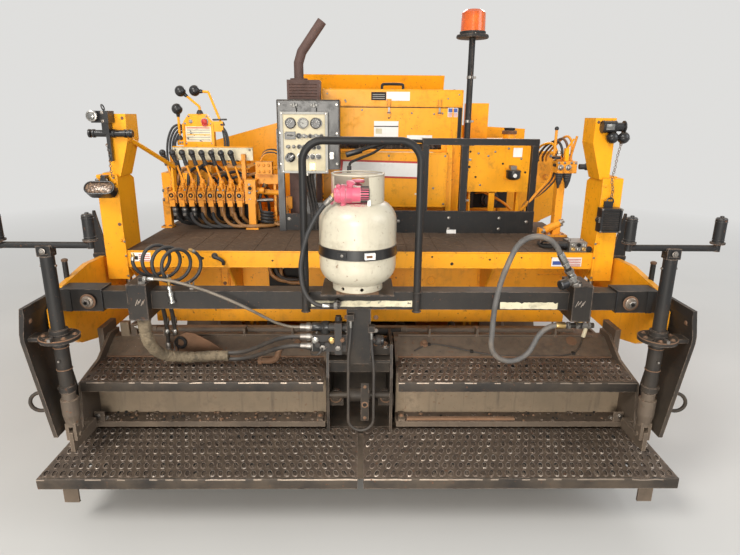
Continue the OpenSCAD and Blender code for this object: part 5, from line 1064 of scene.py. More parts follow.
def beam_details():
    """Bolts, clamp plates, fittings and bare stickers along the cross beam."""
    k = Kit("cross_beam_details", "screed", "black_steel", "black", "rusty", "steel", "cream", "chrome", "brass",
            "dark", "plastic", "bright")
    for s in (-1, 1):
        k.lathe((s * 1095, 278, 927), REAR, [(31, 0), (31, 3), (29, 4)], 1, 30)
        k.lathe((s * 1095, 274, 927), REAR, [(24, 0), (24, 4), (22, 6), (14, 7)], 8, 28)
        k.nut((s * 1095, 268, 927), REAR, [(15, 0), (15, 11), (12, 13)], 2)
        k.lathe((s * 1095, 256, 927), REAR, [(8, 0), (8, 4), (5, 4.5), (5, 1)], 6, 16)
        k.box(s * 1045 - 2, s * 1045 + 2, 290, 386, 880, 974, 7)
        k.box(s * 1180 - 12, s * 1180 + 12, 288, 292, 880, 974, 6)
        # Folded edges and set screws of the clamp
        for z in (1002, 857):
            k.rod((s * 851, 256, z), (s * 927, 256, z), 3, 0, 10)
        for x in (852, 926):
            k.rod((s * x, 256, 857), (s * x, 256, 1002), 3, 0, 10)
        for z in (905, 948):
            k.bolt((s * 928, 330, z), (s, 0, 0), 6, 1)
        # Worn patch where the chain rubs
        for i in range(5):
            k.box(s * 880 + i * 7 - 14, s * 880 + i * 7 - 11, 253.8, 256, 916 + (i % 3) * 6, 944 - (i % 2) * 7, 8,
                    Matrix.Rotation(math.radians(24), 3, "Y"))
    # Long stickers, bare, with torn edges
    rng = random.Random(21)
    for x0, x1, z0, z1 in ((-204, 208, 900, 928), (569, 806, 892, 923)):
        n = 24
        low = [(x0 + (x1 - x0) * i / n, z0 + rng.uniform(0, 2.4)) for i in range(n + 1)]
        high = [(x0 + (x1 - x0) * i / n, z1 - rng.uniform(0, 2.8) - (5 if rng.random() < 0.08 else 0))
                for i in range(n, -1, -1)]
        k.plate(low + high, "y", 298.6, 300.5, 3)
    # Grey collar pieces on the pressure hose's fitting: nuts, ferrules, valve and elbow
    d = (Vector((776, 250, 1140)) - Vector((862, 268, 1005))).normalized()
    a = Vector((862, 268, 1005))
    for at, prof, m, n, smooth in ((2, [(19, 0), (19, 14), (16, 16)], 2, 6, False), (20, [(12, 0), (12, 12)], 4, 18,
            True), (34, [(17, 0), (17, 16), (14, 17)], 4, 6, False), (52, [(13, 0), (15, 2), (15, 10), (13, 12)],
            4, 20, True), (66, [(18, 0), (18, 15)], 2, 6, False), (84, [(12.5, 0), (12.5, 22)], 4, 20, True),
            (108, [(16, 0), (16, 9)], 4, 6, False), (119, [(14, 0), (14.6, 2), (14.6, 36), (13.4, 42)], 4, 22,
            True)):
        k.lathe(a + d * at, d, prof, m, n, smooth=smooth)
    k.nut((866, 269, 1004), UP, [(20, 0), (20, 12), (16, 14)], 2)
    # Side branch with its black cap
    b = a + d * 24
    e = Vector((-0.93, -0.3, -0.2)).normalized()
    k.rod(b, b + e * 34, 9, 2, 16)
    k.nut(b + e * 18, e, [(15, 0), (15, 12)], 2)
    k.lathe(b + e * 34, e, [(19, 0), (20, 3), (20, 30), (17, 34), (8, 35)], 7, 22)
    # Its lower end
    k.nut((905, 300, 855), DOWN, [(19, 0), (19, 14), (16, 15)], 5)
    k.nut((866, 300, 822), LEFT, [(16, 0), (16, 10), (14, 12)], 2)
    k.lathe((846, 300, 822), LEFT, [(13.6, 0), (14.4, 2), (14.4, 34), (13, 38)], 5, 20)
    k.nut((888, 300, 822), RIGHT, [(17, 0), (17, 16), (13, 18), (13, 50), (16, 52), (16, 62), (10, 64)], 2)
    # Steel line's first and last fittings
    k.nut((-870, 270, 1004), UP, [(15, 0), (15, 12), (12, 13)], 2)
    k.nut((-862, 270, 1024), RIGHT, [(12, 0), (12, 12)], 4)
    k.lathe((-846, 270, 1024), RIGHT, [(8.4, 0), (9, 1.5), (9, 24), (8, 27)], 4, 18)
    # Coupler that hangs over the beam on its short chain, and a hook on the beam's top
    k.lathe((-770, 296, 962), (0.16, -0.12, -1), [(9, -26), (12, -24), (12, -10), (9, -8), (9, 0), (14, 1),
            (14, 16), (11, 17), (11, 34), (15, 36), (15, 46), (10, 48)], 4, 20)
    k.lathe((-774, 302, 986), (0.1, -0.2, 1), [(7, 0), (7, 22), (10, 23), (10, 34), (6, 36)], 5, 16)
    k.torus((-776, 300, 1026), (1, 0.3, 0), 9, 2.4, 2, 20, 8)
    k.box(-700, -684, 320, 356, 965, 971, 2)
    for s in (0, 1):
        k.rod((-696 + s * 8, 330, 968), (-700 + s * 18, 326, 996), 3.2, 2, 10)
    # Foot of the hoop and its welds
    for x in (-225, 225):
        k.torus((x, 287, 967), UP, 16, 3.4, 0, 22, 8)
        k.torus((x, 287, 887), UP, 16, 3.4, 0, 22, 8)
    k.nut((-109, 240, 925), RIGHT, [(16, 0), (16, 14), (13, 15)], 2)
    k.lathe((-125, 240, 925), LEFT, [(10.8, 0), (11.4, 2), (11.4, 26), (10.2, 29)], 4, 18)
    k.nut((-95, 262, 925), FRONT, [(16, 0), (16, 12)], 2)
    k.done(0.5, 34)


def deck_tread_plates():
    """Raised anti-slip plates on the deck."""
    k = Kit("deck_tread_plates", "tractor", "deck_tread", "deck")
    rng = random.Random(31)
    nx, gap = 15, 3.2
    for j, (y0, y1) in enumerate(((709, 850), (850, 991), (991, 1132))):
        for i in range(nx):
            x0 = -1084 + 2168 * i / nx
            z = DECK_Z + 2.4 + rng.uniform(-0.5, 0.5)
            k.box(x0 + gap, x0 + 2168 / nx - gap, y0 + gap, y1 - gap, DECK_Z - 1, z)
            for a in range(3):
                for b in range(3):
                    x, y = x0 + 26 + a * 46, y0 + 24 + b * 46
                    k.box(x - 13, x + 13, y - 2.2, y + 2.2, z - 0.5, z + 1.3, 0, Matrix.Rotation(math.radians(45
                            if (a + b) % 2 else -45), 3, "Z"))
    k.done(0.5)


def deck_edge_details():
    """Rolled edges, rust spots and bare stickers on the deck's rear band, and the bulkhead's posts."""
    k = Kit("deck_edge_details", "tractor", "yellow_paint", "orange", "dark", "white", "red", "blue", "rusty")
    y = DECK_EDGE
    k.rod((-1096, y + 1, DECK_Z - 2), (1096, y + 1, DECK_Z - 2), 3.4, 0, 10)
    k.rod((-1096, y + 2, 958), (1096, y + 2, 958), 3.4, 0, 10)
    for x, z, r in ((-838, 1006, 4), (-420, 990, 5), (-60, 1020, 3), (335, 1012, 5), (430, 978, 8), (610, 1000, 5),
            (760, 1010, 4), (700, 985, 5), (-760, 1004, 9), (-748, 1000, 7), (905, 1010, 4), (40, 980, 4)):
        k.lathe((x, y - 0.6, z), FRONT, [(r, 0), (r, 2)], 1, 16)
    # Bare stickers with plain bands near both ends
    for x0, x1, z0, z1, bands in ((-1080, -990, 984, 1026, ((3, 12, 21, 30))), (905, 1048, 968, 1012,
            (2, 10, 18, 26, 34))):
        k.box(x0, x1, y - 1.4, y + 0.5, z0, z1, 2)
        for n, b in enumerate(bands):
            k.box(x0 + (x1 - x0) * 0.38, x1 - 4, y - 2, y, z0 + b, z0 + b + 3.6, 3)
        k.box(x0 + 5, x0 + (x1 - x0) * 0.34, y - 2, y, z0 + 8, z0 + 26, 4 if x0 > 0 else 1)
    # Bolts and channel posts on the bulkhead, under the deck
    for x in (-1000, -720, -430, 60, 300, 560, 830, 1010):
        k.bolt((x, 1000, 930), REAR, 6, 5 if x in (-720, 560) else 0)
    for x in (-724, 648):
        k.box(x - 26, x + 26, 990, 1001, 640, 950)
        k.box(x - 20, x - 16, 984, 1001, 640, 950)
        k.box(x + 16, x + 20, 984, 1001, 640, 950)
        for z in (664, 790, 924):
            k.bolt((x, 990, z), REAR, 6, 5)
    for s in (-1, 1):
        k.box(s * 1000 - 60, s * 1000 + 60, 994, 1001, 840, 846)
    k.done(0.6)


def window_lines():
    """Lines seen through the window in the bulkhead, with a near-black back and walls as painted shade inside it.
    """
    k = Kit("window_lines", "tractor", "rubber", "oily", "brass", "dark", "rubber")
    for i in range(4):
        z = 888 + i * 10
        k.tube([(-345, 1052 + 4 * i, z + 6), (-318, 1034, z), (-285, 1024 + 3 * i, z - 5 + 2 * i),
                (-250, 1028, z - 4), (-226, 1046, z + 4)], 7 - i % 2, 0 if i % 2 == 0 else 3, 10, 4)
    # A near-black back and walls round the window's lines: painted shade inside the window.
    k.box(-352, -218, 1060, 1066, 874, 932, 2)
    k.box(-349, -345, 1009, 1066, 876, 930, 2)
    k.box(-225, -221, 1009, 1066, 876, 930, 2)
    k.box(-349, -221, 1009, 1066, 872, 877, 2)
    k.box(-349, -221, 1009, 1066, 928, 933, 2)
    k.done(0.4)


def tower_lamp_details():
    """Lamp lens and cable head on the left tower, louvred light and horns on the right."""
    k = Kit("tower_lamp_details", "tractor", "black_steel", "plastic", "lamp", "chrome", "steel", "rubber", "rusty",
            "clear")
    y = DECK_EDGE
    tilt = Matrix.Rotation(math.radians(-32), 3, "X")
    c = Vector((-(TOWER_IN + TOWER_OUT) / 2 - 12, y - 44, 1325))
    # Oblong lens in its recess, with a dark rim
    n, rim = 32, []
    for i in range(n):
        t = 2 * math.pi * i / n
        rim.append((26 * math.cos(t) + math.copysign(36, math.cos(t)), 26 * math.sin(t)))

    def loop(wide, high, out):
        return [k.vert(tuple(c + tilt @ Vector((p[0] * wide, out, p[1] * high)))) for p in rim]

    lens, inner = loop(0.97, 0.97, -18.5), loop(0.90, 0.88, -20.5)
    mid = k.vert(tuple(c + tilt @ Vector((0, -22.5, 0))))
    for i in range(n):
        j = (i + 1) % n
        k.face([lens[i], lens[j], inner[j], inner[i]], 1, True)
        k.face([inner[i], inner[j], mid], 1, True)
    outer, front = loop(1.08, 1.12, -21), loop(1.0, 1.0, -24)
    for i in range(n):
        j = (i + 1) % n
        k.face([outer[i], outer[j], front[j], front[i]], 0, True)
        k.face([front[i], front[j], lens[j], lens[i]], 0, True)
    k.rod(c + Vector((0, 6, 24)), c + Vector((0, 30, 58)), 7, 0, 14)
    for s in (-1, 1):
        k.bolt(tuple(c + Vector((s * 20, 16, 40))), REAR, 5, 3)
    # Cable head: rings, winding and clamp screws
    z0 = 1650 - 84
    for x in (-1206, -1188, -1100, -1050, -1030):
        k.lathe((x, y + 4, z0), RIGHT, [(18.5, 0), (18.5, 9), (16, 10)], 0, 24)
    k.lathe((-1149, y - 74, z0 + 74), REAR, [(23, 0), (23, 6), (17, 8), (17, 3)], 2, 26)
    k.lathe((-1149, y - 80, z0 + 74), REAR, [(15, 0), (13, 5), (4, 7)], 6, 20)
    for z in (z0 + 54, z0 + 88):
        k.bolt((-1118, y - 46, z), REAR, 4.5, 3)
    k.torus((-1121, y - 22, z0 + 110), (1, 0, 0.3), 12, 3, 4, 20, 8)
    # Right tower: louvred front, bracket and screws of the floodlight, horns' rims
    x0 = TOWER_IN - 15
    for i in range(9):
        z = 1157 + i * 10.4
        k.box(x0 + 8, x0 + 87, y - 58.5, y - 53, z, z + 4.6, 0, Matrix.Rotation(math.radians(20), 3, "X"))
    for s in (x0 - 3, x0 + 95):
        k.box(s - 2, s + 4, y - 48, y - 16, 1188, 1214, 3)
        k.nut((s + (4 if s > x0 else -2), y - 32, 1200), (1 if s > x0 else -1, 0, 0), [(11, 0), (11, 5), (8, 8)])
    k.torus((x0 + 47, y - 25, 1284), FRONT, 15, 3.4, 0, 22, 8)
    for x in (x0 + 3, x0 + 92):
        for z in (1149, 1251):
            k.bolt((x, y - 62, z), REAR, 3.2, 3)
    for x in (TOWER_IN + 12, TOWER_IN + 62):
        k.ball((x, y - 8, 1566), 26.4, 0, 22, (1, 1, 1))
        k.torus((x, y - 8, 1566), (0.2, 0, 1), 26.6, 2.4, 0, 30, 8)
        k.lathe((x, y - 8, 1590), UP, [(8, 0), (8, 6), (4, 8)], 3, 12)
    for x in (TOWER_IN - 38, TOWER_IN + 16, TOWER_IN + 56):
        k.lathe((x, y - 6.3, 1612), RIGHT, [(27.6, 0), (27.6, 5), (25, 6)], 0, 26)
    k.lathe((TOWER_IN + 60, y - 6.3, 1612), RIGHT, [(17, 0), (20, 1), (20, 6), (12, 8)], 2, 22)
    k.box(TOWER_IN - 30, TOWER_IN + 6, y - 36, y - 30, 1600, 1624, 6)
    k.done(0.4, 36)


def tower_chains():
    """Thin chains down both towers."""
    for side, route in ((1, [(1160, 690, 1540), (1150, 688, 1490), (1146, 690, 1430), (1140, 691, 1380),
            (1150, 692, 1330), (1146, 692, 1290)]), (-1, [(-1128, 690, 1520), (-1120, 689, 1470),
            (-1124, 690, 1420), (-1118, 690, 1372)])):
        k = Kit("tower_chain_" + ("right" if side > 0 else "left"), "tractor", "bare_steel", "steel", "rusty")
        pts = smooth_path(route, 9)
        for i, (a, b) in enumerate(zip(pts[::2], pts[2::2])):
            k.torus((a + b) / 2, (1, 0.2, 0) if i % 2 else (0.1, 1, 0.1), 5.4, 1.5, 1 if i % 3 == 0 else 0, 12, 6)
        k.rod(pts[0] + Vector((0, 12, 0)), pts[0], 4, 0, 10)
        k.rod(pts[-1] + Vector((0, 10, 0)), pts[-1], 4, 0, 10)
        k.done()


def tower_details():
    """Folded edges, bolts and rust spots of the towers, and the strut from the left head."""
    y = DECK_EDGE
    k = Kit("tower_details", "tractor", "yellow_paint", "orange", "rusty", "steel", "dark", "orange_dirty")
    for s in (-1, 1):
        for z in (1085, 1160, 1290, 1350):
            k.bolt((s * (TOWER_IN + 12), y, z), REAR, 5, 1 if z == 1160 else 0)
        for z in (915, 1012, 1080):
            k.bolt((s * (TOWER_IN - 4.3), y - 8.3, z), REAR, 3.4, 2)
        k.rod((s * TOWER_IN, y + 2, 1000), (s * TOWER_IN, y + 2, 1382), 2.6, 0, 10)
        k.rod((s * TOWER_OUT, y + 2, 900), (s * TOWER_OUT, y + 2, 1382), 2.6, 0, 10)
        k.box(s * 1150 - 30, s * 1150 + 30, y + 30, y + 150, 1384, 1391)
        for x in (1060, 1120):
            k.bolt((s * x, y + 20, 1632), REAR, 4.4, 1)
    k.rod((-1052, 760, 1540), (-1002, 1180, 1380), 11, 0, 14)
    k.lathe((-1055, 735, 1549), (0.12, 1, -0.38), [(19, 0), (19, 20), (14, 24)], 4, 18)
    k.bolt((-1002, 1180, 1380), RIGHT, 9, 2)
    k.box(-1014, -1004, 1160, 1205, 1250, 1400)
    k.done(0.6)


def coupler_block():
    """Coupler block with its hoses on the deck's right corner."""
    k = Kit("coupler_block", "tractor", "bare_steel", "steel", "dark", "plastic", "chrome", "brass", "rusty",
            "orange")
    k.box(986, 1068, 706, 800, DECK_Z + 1, 1085)
    k.box(1062, 1100, 716, 790, DECK_Z + 1, 1062, 6)
    for x in (1002, 1028, 1053):
        for z in (1052, 1072):
            k.lathe((x, 707, z), REAR, [(9, 0), (9, 9), (6, 10), (6, 4)], (1, 3, 4)[(x + z) % 3], 16)
    for x in (996, 1058):
        k.bolt((x, 750, 1085), UP, 6, 0)
    k.lathe((986, 740, 1062), LEFT, [(17, 0), (17, 16), (14, 18), (14, 40), (18, 42), (18, 64), (12, 66)], 2, 20)
    k.nut((986, 776, 1060), LEFT, [(13, 0), (13, 12), (10, 14), (10, 30)])
    k.lathe((1080, 712, 1050), REAR, [(15, 0), (15, 6), (8, 8)], 1, 20)
    for i, (x, z) in enumerate(((940, 1048), (962, 1056), (948, 1070))):
        k.tube([(x + 40, 750 + 8 * i, z), (x + 12, 744 + 8 * i, z + 3), (x - 20, 752 + 10 * i, z + 4),
                (x - 52, 782 + 12 * i, z - 2), (x - 60, 830, 1046 + 2 * i), (x - 40, 900, 1044 + 2 * i)], 7 - i, 2
                if i else 1, 10, 4)
    k.done(0.8)


def side_valve_details():
    """Boots, nuts and rods of the side valve, and the small leaning cylinder beside it."""
    k = Kit("side_valve_details", "tractor", "yellow_paint", "orange_dirty", "steel", "rubber", "chrome", "brass",
            "black", "orange", "rusty")
    x1 = 1099
    for dx in (-84, -44):
        k.nut((x1 + dx, 1064, 1462), UP, [(18, 0), (18, 8), (12, 10), (12, 22), (7, 24)], 1)
        k.lathe((x1 + dx, 1030, 1376), DOWN, [(21, 0), (22, 3), (19, 8), (21, 12), (17, 18), (19, 22), (14, 30),
                (15, 36), (9, 48), (6, 72), (3, 78)], 2, 20)
        k.lathe((x1 + dx, 1020, 1406), REAR, [(15, 0), (15, 5), (10, 7), (10, 16), (6, 18)], 1, 18)
    for dx in (-94, -64, -30, -8):
        k.bolt((x1 + dx, 1020, 1428), REAR, 4.2, 1)
        k.bolt((x1 + dx, 1020, 1384), REAR, 4.2, 0)
    k.rod((x1 - 112, 1050, 1416), (x1 + 4, 1050, 1400), 8, 5, 14)
    k.lathe((x1 - 100, 1050, 1446), UP, [(22, 0), (22, 12), (14, 14)], 5, 20)
    k.box(x1 - 60, x1 - 40, 1040, 1064, 1436, 1500, 6)
    k.rod((x1 - 50, 1046, 1498), (x1 - 30, 1020, 1548), 5, 6, 12)
    # Rod, nuts and pins of the small leaning cylinder
    k.lathe((x1 - 126, 1080, 1062), (0.883, 0, 0.469), [(23, 0), (23, 10), (20.6, 12)], 1, 22)
    k.lathe((x1 - 40, 1080, 1108), (0.883, 0, 0.469), [(23, 0), (23, 12), (12, 14), (12, 26)], 3, 22)
    k.rod((x1 - 133, 1050, 1062), (x1 - 133, 1110, 1062), 7, 1, 12)
    for y in (1070, 1124):
        k.bolt((x1 - 20, y, 1047), UP, 6, 7)
        k.bolt((x1 - 92, y, 1047), UP, 6, 1)
    for i in range(4):
        k.tube([(x1 - 100 + 12 * i, 1100, 1376), (x1 - 106 + 10 * i, 1122, 1330), (x1 - 150 + 8 * i, 1150, 1262),
                (x1 - 200, 1170 + 10 * i, 1190), (x1 - 232 + 10 * i, 1230, 1120),
                (x1 - 240 + 12 * i, 1320, 1052)], 8.4, 2 if i % 2 else 0, 10, 4)
    k.done(0.6)


def tank_and_kick_plate_details():
    """Bolts of the fuel tank, spin-on filter, and the kick plate's lip and cleat."""
    k = Kit("tank_and_kick_plate_details", "tractor", "yellow_paint", "dark", "chrome", "white", "plastic",
            "orange", "steel", "rusty", "black")
    for x, z in ((650, 1450), (700, 1440), (760, 1425), (800, 1450), (690, 1300), (720, 1252), (880, 1470),
            (960, 1410), (640, 1340), (990, 1330), (850, 1380)):
        k.bolt((x, TANK_Y, z), REAR, 4, 0 if x % 20 else 5)
    k.lathe((648, TANK_Y, 1360), REAR, [(8, 0), (8, 2)], 0, 16)
    k.box(908, 962, 1546, 1551, 1420, 1474, 2)
    # Spin-on filter with its white band
    k.lathe((905, 1500, 1300), UP, [(40, 0), (42, 4), (42, 34), (44, 36), (44, 44), (38, 48)], 3, 28)
    k.lathe((905, 1500, 1290), UP, [(24, 0), (34, 6), (40, 12)], 3, 28)
    k.box(888, 922, 1496, 1556, 1344, 1372, 5)
    k.lathe((905, 1457.2, 1318), REAR, [(12, 0), (11, 1.4)], 2, 20)
    k.lathe((930, 1760, 1548), UP, [(46, 0), (46, 18), (40, 22), (12, 24)], 6, 26)
    # Kick plate: bolts with round heads, folded lip, cleat at its foot
    for x, z in ((475, 1120), (750, 1120), (750, 1060), (475, 1060), (-60, 1120), (200, 1100), (900, 1100)):
        k.lathe((x, 1145, z), REAR, [(10, 0), (10, 2), (8, 5), (3, 6.5)], 5 if x > 0 else 7, 20)
    k.rod((-118, 1147, 1155), (940, 1147, 1155), 4, 7, 10)
    k.box(465, 515, 1126, 1145, DECK_Z + 2, 1056, 2)
    k.done(0.5)


def rail_details():
    """Feet and collars of the handrail, and clips, cable and ring of the beacon's mast."""
    k = Kit("rail_details", "tractor", "black_steel", "black", "steel")
    for x in (339, 547, 922):
        k.box(x - 27, x + 27, 1146, 1204, DECK_Z + 1, DECK_Z + 8)
        for dx in (-20, 20):
            for dy in (1154, 1196):
                k.bolt((x + dx, dy, DECK_Z + 8), UP, 4.6, 1)
    for x in (322, 939):
        k.torus((x, 1172, 1523), RIGHT, 15, 3, 0, 20, 8)
    for x in (339, 547, 922):
        k.box(x - 19, x + 19, 1153, 1191, 1500, 1507)
    # Bracket, hose clips and cables on the beacon's mast
    for z in (1200, 1420, 1620, 1840):
        k.lathe((563, 1215, z), UP, [(18.5, 0), (18.5, 14)], 1, 20)
        k.box(578, 592, 1206, 1224, z + 2, z + 12, 1)
    k.tube([(566, 1197, 1100), (566, 1196, 1300), (567, 1197, 1500), (565, 1197, 1700), (566, 1196, 1900),
            (560, 1198, 2030)], 3.4, 0, 8, 4)
    k.box(530, 598, 1180, 1222, 1502, 1512)
    k.lathe((563, 1215, 2034), UP, [(70, 0), (82, 4), (82, 12), (70, 16)], 0, 40)
    for a in range(3):
        t = math.radians(120 * a + 30)
        k.bolt((563 + 72 * math.cos(t), 1215 + 72 * math.sin(t), 2050), UP, 4, 1)
    k.done(0.6)


def on_screed(y):
    """Height of the screed's sloped top at a place along Y."""
    return 570 if y < 530 else 570 + (y - 530) * 0.55 if y < 640 else 630


def screed_fittings():
    """Pipes, clips, a loose bar and plates on the screed's steps."""
    k = Kit("screed_fittings", "screed", "worn_steel", "screed", "rusty", "steel", "dark", "rubber", "cream",
            "chrome", "black", "face")
    # Two pipes with crimped ferrules, from the left clamp down to the screed
    for x, dx in ((-897, 0), (-861, 6)):
        k.tube([(x, 567, 586), (x, 566, 690), (x - 1, 545, 800), (x + 2, 480, 890), (-889 + 3 * dx, 404, 930)], 9.5,
                4, 12, 5)
        for z in (602, 668, 724):
            k.lathe((x, 567, z), UP, [(12, 0), (13.2, 2), (13.2, 26), (11.6, 29)], 6 if z > 610 else 2, 18)
        k.nut((x, 567, 588), UP, [(17, 0), (17, 13), (14, 15)], 2)
    # Bent plate with an eye, leaning on the left slope
    k.plate([(-842, 584), (-846, 640), (-832, 676), (-800, 688), (-764, 680), (-704, 646), (-646, 606), (-622, 578),
            (-700, 577), (-780, 578)], "y", 544, 551, 1)
    k.torus((-832, 540, 640), (0.2, 1, 0), 24, 7, 3, 26, 10)
    k.box(-860, -842, 540, 560, 584, 668, 1)
    for i in range(4):
        k.torus((-846, 548, 604 + 16 * i), RIGHT, 11, 2.6, 3, 18, 8)
    # Rusty elbow and a small pipe end on the left step
    k.tube([(-446, 458, 587), (-404, 458, 588), (-380, 462, 600), (-368, 468, 640)], 14, 1, 14, 5)
    k.lathe((-446, 458, 587), LEFT, [(18, 0), (18, 16), (14, 18)], 1, 20)
    k.lathe((-368, 468, 636), (0.1, 0.15, 1), [(18, 0), (18, 14), (13, 16)], 1, 20)
    # Loose bar on the right ledge, brackets and bolts at the ledge's ends
    k.box(206, 689, 352, 368, 347, 358, 1)
    for s in (-1, 1):
        k.box(s * 1150 - 22, s * 1150 + 22, 346, 352, 347, 392)
        k.bolt((s * 1132, 372, 348), UP, 9, 2)
        k.bolt((s * 1158, 346, 372), REAR, 8, 2)
        k.box(s * 182 - 14, s * 182 + 14, 348, 420, 347, 353)
        k.bolt((s * 182, 384, 353), UP, 7, 1)
        # Brackets, discs and clips along the slope
        for x in (330, 560, 940):
            k.box(s * x - 5, s * x + 5, 640, 690, 629, 668)
        k.lathe((s * 300, 600, 609), (0, -0.5, 0.86), [(20, 0), (20, 5), (12, 7), (12, 20), (6, 22)], 1, 20)
        k.lathe((s * 1010, 618, 618), (0, -0.5, 0.86), [(26, 0), (26, 4), (10, 6)], 1, 24)
        k.rod((s * 180, 648, 634), (s * 1120, 648, 634), 6, 0, 12)
        k.rod((s * 170, 533, 573), (s * 1170, 533, 573), 4, 1, 10)
    # Wire held by clips on the right slope, with its plug
    way = [(250, 562), (323, 596), (400, 590), (520, 560), (640, 540), (760, 536), (900, 538), (1000, 552),
            (1050, 600), (1072, 636)]
    k.tube([(x, y, on_screed(y) + 3.4) for x, y in way], 3.6, 4, 8, 5)
    for x, y in way[1:-1:2]:
        k.box(x - 7, x + 7, y - 9, y + 9, on_screed(y) - 1, on_screed(y) + 8.5, 3)
    k.rod((1072, 636, 632), (1088, 644, 688), 10, 5, 14)
    k.lathe((1087, 643, 682), (0.28, 0.14, 1), [(13, 0), (13, 14), (8, 16)], 6, 16)
    # Light block and fittings by the left end
    k.box(-1145, -1105, 640, 668, 628, 700, 8)
    k.lathe((-1080, 650, 676), (1, 0, -0.3), [(11, 0), (11, 26), (14, 27), (14, 40), (8, 42), (8, 58)], 6, 16)
    k.box(-1096, -1070, 640, 662, 628, 690)
    k.done(0.6)


def asphalt_crumbs():
    """Crumbs of asphalt, caught behind the walkboards and on the steps."""
    k = Kit("asphalt_crumbs", "screed", "worn_steel", "tread", "rusty", "dark")
    rng = random.Random(17)
    for i in range(330):
        s = rng.choice((-1, -1, 1))
        x = s * rng.uniform(175, 1130)
        where = rng.random()
        if where < 0.62:
            y, z = rng.uniform(348, 421), 348
        elif where < 0.82:
            y, z = rng.uniform(498, 529), 571
        else:
            y = rng.uniform(545, 700)
            z = on_screed(y)
        r = rng.uniform(2.2, 7.5 if where < 0.62 else 4.2)
        k.ball((x, y, z + 0.3 * r), r, rng.choice((0, 0, 1, 2)), 6, (rng.uniform(0.8, 1.5), rng.uniform(0.8, 1.3),
                rng.uniform(0.5, 0.9)))
    k.done(angle=20)


def centre_column_details():
    """Clamps, strap and bolts of the centre column, and the ends of its hanging loop."""
    k = Kit("centre_column_details", "screed", "black_steel", "black", "rusty", "steel", "dark", "chrome")
    for s in (-1, 1):
        k.lathe((s * 112, 398, 447), REAR, [(34, 0), (34, 16), (31, 18)], 0, 30)
        ring(k, (s * 112, 380, 447), REAR, 27, 5, 3, 1, 28)
        k.nut((s * 112, 380, 447), REAR, [(13, 0), (13, 8), (6, 10)])
        k.box(s * 112 - 34, s * 112 + 34, 384, 420, 404, 446)
        for z in (720, 780, 840):
            k.bolt((s * 62, 340, z), REAR, 6, 2 if z == 780 else 1)
        k.bolt((s * 104, 412, 690), UP, 9, 1)
        k.bolt((s * 104, 372, 690), UP, 9, 2)
    k.box(0, 34, 297, 303, 378, 556)
    k.rod((17, 303, 455), (17, 424, 447), 11, 0, 14)
    ring(k, (17, 297, 455), REAR, 14, 5, 2, 1, 22)
    # A near-black disc inside the ring stands for the strap's hole: painted shade.
    k.lathe((17, 296.6, 455), REAR, [(8.5, 0), (8.5, 0.8)], 3, 18)
    for z in (392, 540):
        k.bolt((17, 297, z), REAR, 4.5, 1)
    # Chrome fittings and collars at both ends of the hanging loop
    for x, z in ((-43, 848), (43, 798)):
        k.lathe((x, 292, z), DOWN, [(9, 0), (9, 8), (7.4, 9), (7.4, 34), (6.8, 36)], 4, 16)
        k.nut((x, 292, z - 6), UP, [(12, 0), (12, 12), (9, 14)], 2)
    k.done(0.5)


def burner_valve_details():
    """Ferrules, plugs, knobs and a small hose on the burner's valves."""
    k = Kit("burner_valve_details", "screed", "bare_steel", "steel", "plastic", "chrome", "dark", "brass", "rusty",
            "rubber")
    for z in (800, 758, 716):
        k.nut((-222, 330, z), RIGHT, [(16.5, 0), (16.5, 13), (14, 15)])
        k.lathe((-252, 330, z), RIGHT, [(12.4, 0), (13.4, 2), (13.4, 25), (12, 28)], 2, 20)
    k.lathe((-204, 330, 801), RIGHT, [(17, 0), (19, 3), (19, 40), (17, 43), (17, 50), (21, 52), (21, 66), (17, 68),
            (17, 92)], 1, 24)
    k.nut((-108, 330, 801), RIGHT, [(20, 0), (20, 16), (16, 18)], 2)
    k.lathe((-150, 330, 776), UP, [(20, 0), (20, 34), (17, 37), (17, 46), (8, 48)], 3, 22)
    for x, z, r, m in ((-190, 752, 12, 2), (-160, 722, 13, 0), (-122, 752, 11, 4), (-96, 720, 12, 0),
            (-78, 756, 9, 5)):
        k.nut((x, 303, z), REAR, [(r * 1.3, 0), (r * 1.3, 5), (r, 6), (r, 14), (r * 0.5, 15)], m)
    k.box(-202, -150, 296, 303, 704, 744, 3)
    k.box(-116, -66, 298, 303, 730, 772, 3)
    k.tube([(-160, 290, 722), (-170, 276, 708), (-186, 280, 696), (-206, 300, 692), (-212, 330, 694)], 5, 6, 8, 4)
    k.lathe((96, 330, 742), LEFT, [(18, 0), (21, 3), (21, 12), (15, 14)], 1, 22)
    k.nut((60, 330, 742), RIGHT, [(24, 0), (24, 8), (20, 10)], 3)
    for x in (-186, -104):
        k.bolt((x, 330, 775), UP, 6, 0)
    k.done(0.5)


